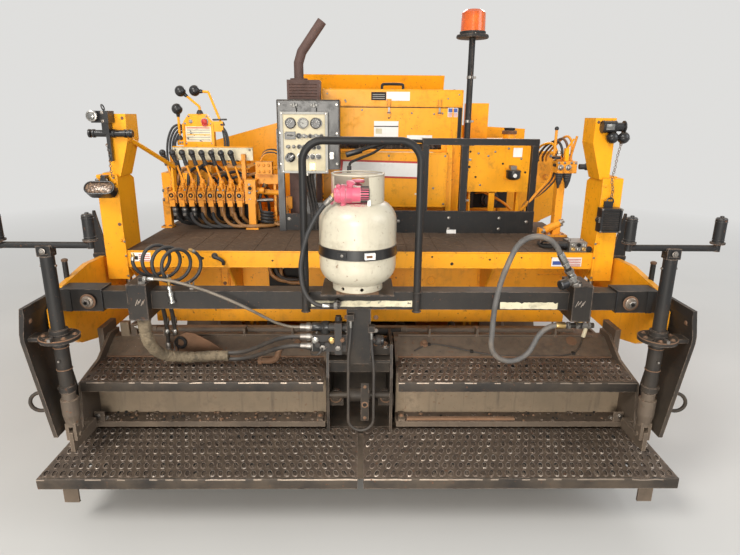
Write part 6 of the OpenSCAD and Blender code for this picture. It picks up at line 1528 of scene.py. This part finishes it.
def arm_and_end_details(s, side):
    """Rings, pins and guards on a tow arm and at the screed's end."""
    k = Kit("arm_and_end_details_" + side, "screed", "black_steel", "black", "rusty", "steel")
    # Pointed guard and a short post on the arm's upper edge
    k.plate([(s * 1276, 985), (s * 1210, 985), (s * 1222, 1096), (s * 1246, 1216), (s * 1256, 1216),
            (s * 1268, 1110)], "y", 742, 753, 0)
    k.box(s * 1243 - 30, s * 1243 + 30, 730, 765, 996, 1012)
    k.rod((s * 1242, 420, 980), (s * 1242, 420, 1064), 11, 0, 16)
    k.lathe((s * 1242, 420, 1056), UP, [(13, 0), (13, 8), (8, 11)], 1, 16)
    # Lifting ring outside the end plate
    k.torus((s * 1284, 176, 536), (0.25 * s, 1, 0), 40, 7.5, 0, 34, 12)
    k.box(s * 1266 - 10, s * 1266 + 10, 168, 186, 566, 596)
    # Disc of the depth screw: ring of bolts, worn rim and a pointer
    for a in range(6):
        t = math.radians(60 * a + 12)
        k.bolt((s * 1150 + 55 * math.cos(t), 140 + 55 * math.sin(t), 838), UP, 6, 1)
    k.torus((s * CRANK_X, CRANK_Y, 836), UP, 71, 2.6, 1, 44, 8)
    k.lathe((s * CRANK_X, CRANK_Y, 838), UP, [(36, 0), (36, 9), (30, 12)], 0, 30)
    k.box(s * 1150 - 6, s * 1150 + 6, 62, 86, 838, 850, 2)
    # Guide tube's band, grease nipple and end-plate bolts
    for z in (620, 700, 792):
        k.torus((s * CRANK_X, CRANK_Y, z), UP, 27.6, 2.2, 1, 30, 8)
    k.lathe((s * 1150, 112, 742), REAR, [(5, 0), (5, 8), (3, 10)], 2, 10)
    for y, z in ((130, 900), (300, 900), (150, 600), (230, 560), (300, 760)):
        k.bolt((s * 1249, y, z), (-s, 0, 0), 8, 1)
    k.done(0.6)


def crank_details(s, side):
    """Grips, caps and collars of a depth crank."""
    k = Kit("crank_details_" + side, "crank_" + side, "black_steel", "plastic", "rusty", "steel", "black")
    for g in (-1, 1):
        x = s * 1150 + g * 165
        for z in (1222, 1290):
            k.torus((x, 140, z), UP, 20.2, 1.6, 0, 28, 8)
        k.lathe((x, 140, 1299), UP, [(20, 0), (17, 5), (7, 7), (7, 11), (3, 12)], 0, 24)
        k.lathe((x, 140, 1206), UP, [(25, 0), (25, 4), (20, 6)], 1, 26)
    k.torus((s * CRANK_X, CRANK_Y, 1160), UP, 25, 3, 3, 28, 8)
    k.torus((s * CRANK_X, CRANK_Y, 846), UP, 25.6, 3.2, 1, 30, 8)
    k.bolt((s * 1150, 114, 1172), REAR, 7, 2)
    k.rod((s * 1150 - 30, 140, 1112), (s * 1150 + 30, 140, 1112), 5, 2, 12)
    k.done(0.5)


def lever_bank_hoses():
    """Hoses behind and under the levers, with the rail and a black plate of painted shade behind them."""
    k = Kit("lever_bank_hoses", "tractor", "rubber", "rubber", "oily", "orange_dirty", "steel", "black")
    y = BANK_Y
    rng = random.Random(44)
    for i in range(7):
        x = LEVER_X + 12 + i * 58
        h = 1330 + rng.uniform(-30, 40)
        k.tube([(x, y + 70, 1262), (x + 6, y + 96, h), (x + 50 + 12 * i, y + 140, h + 20),
                (x + 130, y + 190, h - 60), (x + 180, y + 230, 1180), (x + 190, y + 240, 1070)], 8.6, 0
                if i % 3 else 1, 10, 5)
        k.nut((x, y + 70, 1258), (0, 0.2, 1), [(12, 0), (12, 16), (9.4, 18)], 3)
    for i in range(5):
        x = LEVER_X + 90 + i * 60
        k.tube([(x, y + 20, 1120), (x + 18, y - 4, 1084), (x + 60, y - 20, 1056), (x + 130, y - 14, 1046 + 2 * i),
                (x + 210, y + 30, 1050), (x + 250, y + 100, 1060)], 9.5, 1 if i > 2 else 0, 10, 5)
    for i in range(4):
        k.tube([(-600, 1330 + 14 * i, 1300), (-560, 1350 + 10 * i, 1420 + 6 * i), (-500, 1360, 1440 + 8 * i),
                (-452, 1330, 1420 + 8 * i), (-440, 1250, 1400 + 6 * i)], 5.4, 0 if i % 2 else 2, 8, 5)
    # A black plate behind the levers: painted shade, a dark sheet where the space behind the bank lies in shade.
    k.box(LEVER_X - 50, LEVER_X + 440, y + 118, y + 122, 1060, 1262, 4)
    k.rod((LEVER_X - 46, y + 112, 1256), (LEVER_X + 440, y + 112, 1256), 10, 2, 14)
    k.rod((-640, 1300, 1240), (-470, 1330, 1226), 15, 2, 16)
    k.rod((-650, 1270, 1190), (-500, 1300, 1190), 11, 3, 14)
    k.done(0.5)


def deck_guard_and_bars():
    """Guard plate and pipes behind the panel's post, bars with grips at the rail's left end."""
    k = Kit("deck_guard_and_bars", "tractor", "black_steel", "black", "orange", "plastic", "steel")
    k.box(-424, -205, 1196, 1204, DECK_Z + 2, 1130)
    for x in (-400, -230):
        k.bolt((x, 1196, 1100), REAR, 6, 3)
    k.tube([(322, 1167, 1523), (240, 1160, 1526), (167, 1150, 1524), (90, 1138, 1506), (-10, 1130, 1476)], 9, 0, 12,
            5)
    k.rod((-84, 1130, 1453), (0, 1130, 1478), 15, 2, 18, soft=4)
    k.tube([(150, 1150, 1519), (100, 1142, 1490), (55, 1134, 1462), (-20, 1130, 1432), (-58, 1130, 1414),
            (-66, 1130, 1392)], 7, 0, 12, 5)
    k.rod((-66, 1130, 1396), (-68, 1130, 1356), 12, 2, 16, soft=3)
    for i, x in enumerate((-150, -96)):
        k.tube([(x, 1300, 1040), (x - 6, 1310, 1110), (x + 14, 1320, 1178 - 20 * i), (x + 70, 1330, 1196 - 22 * i),
                (x + 130, 1340, 1180)], 11, 1, 12, 5)
    k.done(0.5)


def pump_under_tank():
    """Pump, lines and bracket under the tank, with a near-black plate of painted shade behind them."""
    k = Kit("pump_under_tank", "tractor", "engine_iron", "engine", "orange", "rubber", "steel", "dark",
            "orange_dirty")
    # A near-black plate behind the pump: painted shade, a dark sheet where the space under the tank lies in shade.
    k.box(630, 1010, 2010, 2050, 1040, 1205, 4)
    k.box(650, 760, 1930, 2012, 1050, 1160)
    k.lathe((705, 1930, 1104), REAR, [(46, 0), (46, 20), (36, 26), (36, 46), (20, 50)], 0, 26)
    k.lathe((880, 1990, 1110), REAR, [(60, 0), (60, 30), (44, 36), (44, 60)], 0, 30)
    k.box(779, 816, 1560, 1572, 1040, 1212, 1)
    k.box(770, 826, 1560, 1640, 1204, 1212, 1)
    for i in range(4):
        k.tube([(720 + 30 * i, 1960, 1150), (760 + 34 * i, 1880, 1180 - 8 * i), (840 + 20 * i, 1800, 1160 - 12 * i),
                (930, 1760 + 16 * i, 1110), (990, 1820, 1060)], 8, 2 if i % 2 else 5, 8, 5)
    k.done(0.6)


def right_box_and_pipes():
    """Box and pipes beside the tank, behind the side valve."""
    k = Kit("right_box_and_pipes", "tractor", "yellow_paint", "orange_dirty", "steel", "rubber", "rusty", "orange")
    k.box(1019, 1172, 1590, 1720, 1262, 1448)
    k.box(1014, 1177, 1584, 1592, 1440, 1454, 4)
    for x in (1040, 1150):
        for z in (1284, 1424):
            k.bolt((x, 1590, z), REAR, 5.5, 1)
    k.nut((1130, 1590, 1300), REAR, [(18, 0), (18, 8), (11, 10), (11, 22)])
    for i, x in enumerate((1010, 1036, 1062, 1084)):
        k.tube([(x, 1080, 1430), (x + 4, 1096, 1480 + 14 * i), (x - 10, 1150, 1520 + 12 * i), (x - 30, 1260, 1500),
                (x - 20, 1400, 1440), (x + 30, 1560, 1400)], 6.5, (4, 2, 3, 0)[i], 10, 5)
        k.nut((x, 1080, 1428), UP, [(11, 0), (11, 12), (8, 14), (8, 24)], 0 if i % 2 else 1)
    k.rod((1000, 1090, 1450), (1000, 1090, 1590), 7, 0, 12)
    k.rod((1082, 1080, 1450), (1098, 1060, 1560), 6, 0, 12)
    k.ball((1000, 1090, 1596), 11, 2, 14)
    k.box(1020, 1090, 1076, 1096, 1436, 1452)
    k.lathe((1120, 1046, 1408), RIGHT, [(14, 0), (14, 30), (18, 32), (18, 46), (10, 48)], 2, 18)
    k.done(0.5)


def bulkhead_window_hoses():
    """Window in the bulkhead with the hoses that come out of it, and the hook over the coil."""
    k = Kit("bulkhead_window_hoses", "tractor", "rubber", "dark", "oily", "orange", "rubber", "rusty", "brass")
    # A near-black sheet fills the window: painted shade inside it.
    k.box(-492, -322, 998, 1000.5, 774, 908)
    for a in ((-498, -490, 992, 1001, 768, 914), (-324, -316, 992, 1001, 768, 914),
            (-498, -316, 992, 1001, 908, 915), (-498, -316, 992, 1001, 766, 774)):
        k.box(*a, 2)
    for i, (x, z) in enumerate(((-476, 886), (-446, 896), (-420, 880))):
        k.tube([(x, 999, z), (x - 4, 972, z - 6), (x + 10, 958, z - 40 - 6 * i), (x + 50, 956, z - 66 - 4 * i),
                (x + 100, 960, z - 74), (-330, 970, z - 80), (-318, 998, z - 84)], 10.5, 1 if i != 1 else 3, 12, 5)
        k.nut((x, 990, z), REAR, [(14, 0), (14, 10), (12, 12)], 5)
    for x, z, r in ((373, 806, 22), (-130, 820, 16)):
        k.torus((x, 999, z), FRONT, r, 2.6, 2, 32, 8)
        k.lathe((x, 1000, z), REAR, [(r * 0.5, 0), (r * 0.45, 2)], 2, 24)
    # A near-black strip along the bulkhead under the deck's band: a painted shadow line.
    k.box(-1060, 1060, 997, 1001, 950, 955)
    # Hook with a grip and a folded tag on the deck's band, above the coil
    k.tube([(-690, 699, 1012), (-686, 682, 1010), (-664, 676, 1004), (-648, 680, 990), (-650, 690, 974)], 8, 3, 12,
            5)
    k.lathe((-690, 700, 1012), REAR, [(15, 0), (15, 4), (9, 5)], 3, 20)
    k.done(0.5)


def wing_details():
    """Rolled lips and bolts of both hopper wings."""
    for s, side in SIDES:
        k = Kit("wing_details_" + side, "wing_" + side, "yellow_paint", "orange", "steel", "rusty")
        k.rod((s * 1473, 2334, 1230), (s * 1473, 3684, 1230), 5, 0, 12)
        k.rod((s * 730, 2332, 1231), (s * 1466, 2332, 1231), 4, 0, 12)
        for i in range(7):
            k.bolt((s * 1468, 2440 + 190 * i, 1186), (-s, 0, 0), 7, 1)
            k.bolt((s * 1468, 2440 + 190 * i, 960), (-s, 0, 0), 7, 2)
        for i in range(5):
            k.bolt((s * (820 + 140 * i), 2338, 1190), FRONT, 7, 1)
        k.done(0.6)


def hopper_details():
    """Liner plates and bolts on the hopper's rear wall."""
    k = Kit("hopper_details", "tractor", "worn_steel", "track", "steel", "orange", "rusty")
    y = HOPPER_WALL_Y
    for x0 in (-560, -190, 190):
        k.box(x0, x0 + 366, y, y + 3, 620, 930)
        for x in (x0 + 26, x0 + 183, x0 + 340):
            for z in (644, 906):
                k.bolt((x, y - 1, z), FRONT, 7, 1)
    for x in (-520, -300, -100, 100, 300, 500):
        k.bolt((x, y - 3, 1420), FRONT, 7, 1 if x % 3 else 3)
        k.bolt((x, y - 3, 1080), FRONT, 7, 1)
    k.rod((-416, 2308, 1921), (571, 2308, 1921), 4, 2, 12)
    k.done(0.6)


def push_beam_details():
    """Bolts and bearing caps of the push beam."""
    k = Kit("push_beam_details", "tractor", "black_steel", "black", "steel", "rusty")
    for x in (-580, -500, -300, -150, 150, 300, 500, 580):
        k.bolt((x, 3790, 485), FRONT, 9, 1)
        k.bolt((x, 3790, 378), FRONT, 9, 2)
    for x in (-545, -35, 475):
        k.bolt((x + 35, 3850, 466), UP, 10, 1)
        for dx in (-1, 1):
            k.lathe((x + 35 + dx * 35, PUSH_Y, PUSH_Z), (dx, 0, 0), [(30, 0), (30, 4), (20, 5)], 0, 26)
    k.done(0.8)


def push_roller_bands():
    """Worn bands and end bolts of both push rollers."""
    for s, side in SIDES:
        k = Kit("push_roller_bands_" + side, "push_roller_" + side, "bare_steel", "steel", "rusty")
        for x in (60, 450):
            k.lathe((s * x, PUSH_Y, PUSH_Z), RIGHT, [(74.2, 0), (74.9, 1), (74.9, 7), (74.2, 8)], 1, 48, caps=False)
        for a in range(6):
            t = math.radians(60 * a)
            for x, d in ((45, -1), (465, 1)):
                k.bolt((s * x, PUSH_Y + 48 * math.cos(t), PUSH_Z + 48 * math.sin(t)), (s * d, 0, 0), 5, 1, False)
        k.done(0.4)


def track_details():
    """Hubs, nuts, frame bolts and grease points of both undercarriages."""
    for s, side in SIDES:
        k = Kit("track_hubs_" + side, "tractor", "track_steel", "track", "steel", "rusty", "orange_dirty")
        for a in range(8):
            t = math.radians(45 * a + 10)
            k.bolt((s * 1026, SPROCKET_Y + 44 * math.cos(t), AXLE_Z + 44 * math.sin(t)), (s, 0, 0), 7, 1)
        k.lathe((s * 1026, SPROCKET_Y, AXLE_Z), (s, 0, 0), [(26, 0), (26, 10), (20, 14), (8, 15)], 2, 26)
        k.lathe((s * 1010, IDLER_Y, AXLE_Z), (s, 0, 0), [(22, 0), (22, 12), (15, 14), (6, 15)], 1, 24)
        k.torus((s * 1006, IDLER_Y, AXLE_Z), RIGHT, 34, 5, 0, 30, 8)
        for i in range(6):
            y = 1860 + 196 * i
            k.nut((s * 1000, y, 148), (s, 0, 0), [(17, 0), (17, 8), (10, 10), (10, 14)], 1)
            k.bolt((s * 1000, y + 90, 300), (s, 0, 0), 8, 3)
        k.box(s * 1003 - 3, s * 1003 + 3, 2560, 2760, 232, 300, 3)
        k.lathe((s * 1006, 2660, 266), (s, 0, 0), [(9, 0), (9, 6), (4, 10)], 1, 12)
        for a in range(12):
            t = math.radians(30 * a)
            k.bolt((s * 1000, SPROCKET_Y + 96 * math.cos(t), AXLE_Z + 96 * math.sin(t)), (s, 0, 0), 5, 2, False)
        k.done(0.6)


def engine_top_details():
    """Cover, injectors, air filter and belt pulleys under the hood."""
    k = Kit("engine_top_details", "tractor", "engine_iron", "engine", "plastic", "chrome", "rubber", "steel",
            "dark")
    k.box(20, 330, 1760, 1990, 1420, 1452)
    k.box(50, 300, 1800, 1950, 1452, 1500)
    for x in (60, 120, 180, 240, 290):
        for y in (1772, 1978):
            k.bolt((x, y, 1452), UP, 6, 4)
    for i in range(4):
        x = 80 + 62 * i
        k.lathe((x, 1850, 1500), UP, [(18, 0), (18, 8), (10, 10), (10, 24)], 4, 18)
        k.tube([(x, 1850, 1522), (x + 6, 1800, 1546), (x - 10, 1750, 1520), (-30 + 14 * i, 1720, 1450)], 3.6, 4, 8,
                4)
    k.lathe((-20, 2040, 1545), RIGHT, [(70, 0), (74, 6), (74, 20), (70, 24), (70, 330), (76, 334), (76, 352),
            (60, 366), (20, 370)], 1, 36)
    k.tube([(-20, 2040, 1545), (-70, 2020, 1540), (-96, 1950, 1510), (-70, 1880, 1480), (20, 1870, 1470)], 30, 3,
            16, 6)
    for x in (40, 250):
        k.torus((x, 2040, 1545), RIGHT, 72, 2.6, 4, 40, 8)
        k.box(x - 12, x + 12, 2030, 2056, 1430, 1476, 4)
    k.lathe((390, 1700, 1440), REAR, [(70, -6), (74, 0), (60, 4), (60, 10), (74, 14), (70, 20), (20, 22)], 0, 36)
    k.lathe((200, 1700, 1400), REAR, [(86, -6), (90, 0), (78, 4), (78, 10), (90, 14), (86, 20), (24, 22)], 0, 36)
    k.lathe((380, 1900, 1420), UP, [(60, 0), (60, 70), (50, 84), (50, 100), (24, 104), (24, 130)], 2, 30)
    k.lathe((380, 1900, 1548), UP, [(34, 0), (34, 10), (28, 14)], 5, 24)
    k.done(0.8)


def hood_side_details():
    """Bolts, handles and hinge plates on the sides of the engine's housing."""
    k = Kit("hood_side_details", "tractor", "yellow_paint", "orange", "steel", "rubber", "rusty", "dark", "black")
    for s, x in ((-1, -236), (1, 600)):
        for y in (1660, 2180):
            for z in (1080, 1400, 1660):
                k.bolt((x, y, z), (s, 0, 0), 6, 1)
        k.tube([(x, 1820, 1130), (x + s * 30, 1820, 1130), (x + s * 34, 1840, 1130), (x + s * 34, 1980, 1130),
                (x + s * 30, 2000, 1130), (x, 2000, 1130)], 8, 5, 12, 3)
    for y in (1700, 1900, 2080):
        k.box(600, 606, y - 30, y + 30, 1020, 1060)
    k.done(0.6)


def hood_lid_top():
    """Handle, bolts and rests on the lid."""
    k = Kit("hood_lid_top", "hood_lid", "yellow_paint", "orange", "steel", "rubber", "black")
    k.tube([(120, 1680, 1799), (120, 1680, 1826), (136, 1680, 1834), (230, 1680, 1834), (246, 1680, 1826),
            (246, 1680, 1799)], 8, 3, 12, 3)
    for x in (-190, 180, 550):
        for y in (1640, 2080):
            k.bolt((x, y, 1800), UP, 6, 1)
    for x in (-120, 480):
        k.lathe((x, 2120, 1800), UP, [(24, 0), (24, 6), (18, 9)], 2, 24)
    k.done(0.6)


def tank_top_details():
    """Caps, screws and level gauges of both tanks."""
    k = Kit("tank_top_details", "tractor", "yellow_paint", "orange", "steel", "plastic", "chrome", "dark", "rusty",
            "white")
    for x in (-1052, -880, -708):
        for y in (1630, 1890, 2150):
            k.bolt((x, y, 1340), UP, 6, 1)
    k.lathe((-900, 1760, 1372), UP, [(50, 0), (50, 16), (46, 20), (16, 22)], 2, 30)
    for a in range(6):
        t = math.radians(60 * a)
        k.box(-900 + 46 * math.cos(t) - 6, -900 + 46 * math.cos(t) + 6, 1760 + 46 * math.sin(t) - 6,
                1760 + 46 * math.sin(t) + 6, 1374, 1392, 2)
    k.lathe((-800, 1960, 1390), UP, [(58, 0), (58, 12), (52, 18), (20, 22)], 3, 30)
    k.box(-1066, -1060, 1800, 1824, 1080, 1260, 6)
    k.box(-1067, -1062, 1806, 1818, 1100, 1240, 4)
    for z in (1076, 1262):
        k.bolt((-1062, 1812, z), LEFT, 8, 1)
    for y in (1600, 1840, 2080):
        for z in (1250, 1460):
            k.bolt((1018, y, z), RIGHT, 6, 1)
    k.box(1018, 1023, 1700, 1730, 1240, 1420, 6)
    k.lathe((930, 1760, 1571), UP, [(30, 0), (34, 4), (34, 14), (12, 16)], 4, 24)
    k.done(0.6)


def screed_end_details():
    """Bolts, rings and skids at the screed's ends."""
    k = Kit("screed_end_details", "screed", "worn_steel", "screed", "steel", "rusty")
    for s in (-1, 1):
        for y, z in ((180, 200), (180, 420), (360, 520), (520, 520), (700, 520), (700, 200), (880, 200),
                (880, 420)):
            k.bolt((s * 1215, y, z), (s, 0, 0), 9, 1 if z > 300 else 2)
        k.torus((s * 1219, 540, 360), RIGHT, 46, 6, 2, 34, 8)
        k.box(s * 1180 - 30, s * 1180 + 30, 96, 107, 120, 190)
    k.done(0.8)


for build in (edge_lips, control_panel_front, panel_box_trim, hood_lid_details, engine_housing_details,
              lever_bank_details, manifold_at_bank, console_details, cylinder_details, beam_details,
              deck_tread_plates, deck_edge_details, window_lines, tower_lamp_details, tower_chains,
              tower_details, coupler_block, side_valve_details, tank_and_kick_plate_details,
              rail_details, screed_fittings, asphalt_crumbs, centre_column_details, burner_valve_details):
    build()
for s, side in SIDES:
    arm_and_end_details(s, side)
    crank_details(s, side)
for build in (lever_bank_hoses, deck_guard_and_bars, pump_under_tank, right_box_and_pipes,
              bulkhead_window_hoses, wing_details, hopper_details, push_beam_details, push_roller_bands,
              track_details, engine_top_details, hood_side_details, hood_lid_top, tank_top_details,
              screed_end_details):
    build()


# Floor and light. The camera, metal and glass see one pale tone, far off on the floor and in the world
PALE = (0.74, 0.735, 0.72)


def seen(g):
    """1 for rays from the camera, off shiny things and through glass."""
    rays = g.n("ShaderNodeLightPath").outputs
    return g.math("MAXIMUM", rays["Is Camera Ray"], g.math("MAXIMUM", rays["Is Glossy Ray"],
            rays["Is Transmission Ray"]))


floor = bpy.data.meshes.new("floor")
floor.from_pydata([(-60, -60, 0), (60, -60, 0), (60, 60, 0), (-60, 60, 0)], [], [(0, 1, 2, 3)])
floor_o = bpy.data.objects.new("floor", floor)
bpy.context.scene.collection.objects.link(floor_o)
g = Graph("pale_floor")
g.put(g.bsdf.inputs["Base Color"], g.mix(g.fit(g.noise(0.8, 3), 0.3, 0.7), (0.55, 0.545, 0.53),
        (0.58, 0.575, 0.56)))
g.bsdf.inputs["Roughness"].default_value = 0.9
away = g.n("ShaderNodeVectorMath", operation="LENGTH")
g.link(g.tc, away.inputs[0])
glow, both = g.n("ShaderNodeEmission"), g.n("ShaderNodeMixShader")
glow.inputs["Color"].default_value = (*PALE, 1)
g.link(g.math("MULTIPLY", g.fit(away.outputs["Value"], 3.0, 8.5), seen(g)), both.inputs[0])
g.link(g.bsdf.outputs[0], both.inputs[1])
g.link(glow.outputs[0], both.inputs[2])
g.link(both.outputs[0], g.t.get_output_node("ALL").inputs[0])
floor.materials.append(g.m)

world = bpy.data.worlds.new("studio")
bpy.context.scene.world = world
world.use_nodes = True
sky = world.node_tree
sky.nodes.clear()
rays = sky.nodes.new("ShaderNodeLightPath").outputs
seen_1, seen_2 = sky.nodes.new("ShaderNodeMath"), sky.nodes.new("ShaderNodeMath")
seen_1.operation = seen_2.operation = "MAXIMUM"
lit, shown = sky.nodes.new("ShaderNodeBackground"), sky.nodes.new("ShaderNodeBackground")
lit.inputs["Color"].default_value, lit.inputs["Strength"].default_value = (0.90, 0.895, 0.88, 1), 0.52
shown.inputs["Color"].default_value, shown.inputs["Strength"].default_value = (*PALE, 1), 1.0
both, out = sky.nodes.new("ShaderNodeMixShader"), sky.nodes.new("ShaderNodeOutputWorld")
for source, target in ((rays["Is Camera Ray"], seen_1.inputs[0]), (rays["Is Transmission Ray"], seen_1.inputs[1]),
                       (seen_1.outputs[0], seen_2.inputs[0]), (rays["Is Glossy Ray"], seen_2.inputs[1]),
                       (seen_2.outputs[0], both.inputs[0]), (lit.outputs[0], both.inputs[1]),
                       (shown.outputs[0], both.inputs[2]), (both.outputs[0], out.inputs[0])):
    sky.links.new(source, target)


def area(name, place, target, size, power, colour=(1, 1, 1)):
    data = bpy.data.lights.new(name, "AREA")
    data.shape, data.size, data.energy, data.color = "DISK", size, power, colour
    o = bpy.data.objects.new(name, data)
    o.location = place
    o.rotation_euler = (Vector(target) - Vector(place)).to_track_quat("-Z", "Y").to_euler()
    bpy.context.scene.collection.objects.link(o)


area("key", (-3.6, -6.2, 6.4), (0, -0.8, 0.7), 2.6, 400, (1, 0.97, 0.92))
area("fill", (5.5, -4.0, 4.0), (0, 0, 0.8), 4.0, 150, (0.93, 0.96, 1))
area("low_fill", (-0.8, -7.0, 1.5), (0, -0.4, 0.75), 2.6, 260, (1, 0.95, 0.87))
area("front", (1.5, 6.5, 5.0), (0, 0, 0.8), 4.0, 260)

bpy.context.scene.view_settings.view_transform = "Standard"

bpy.context.view_layer.update()
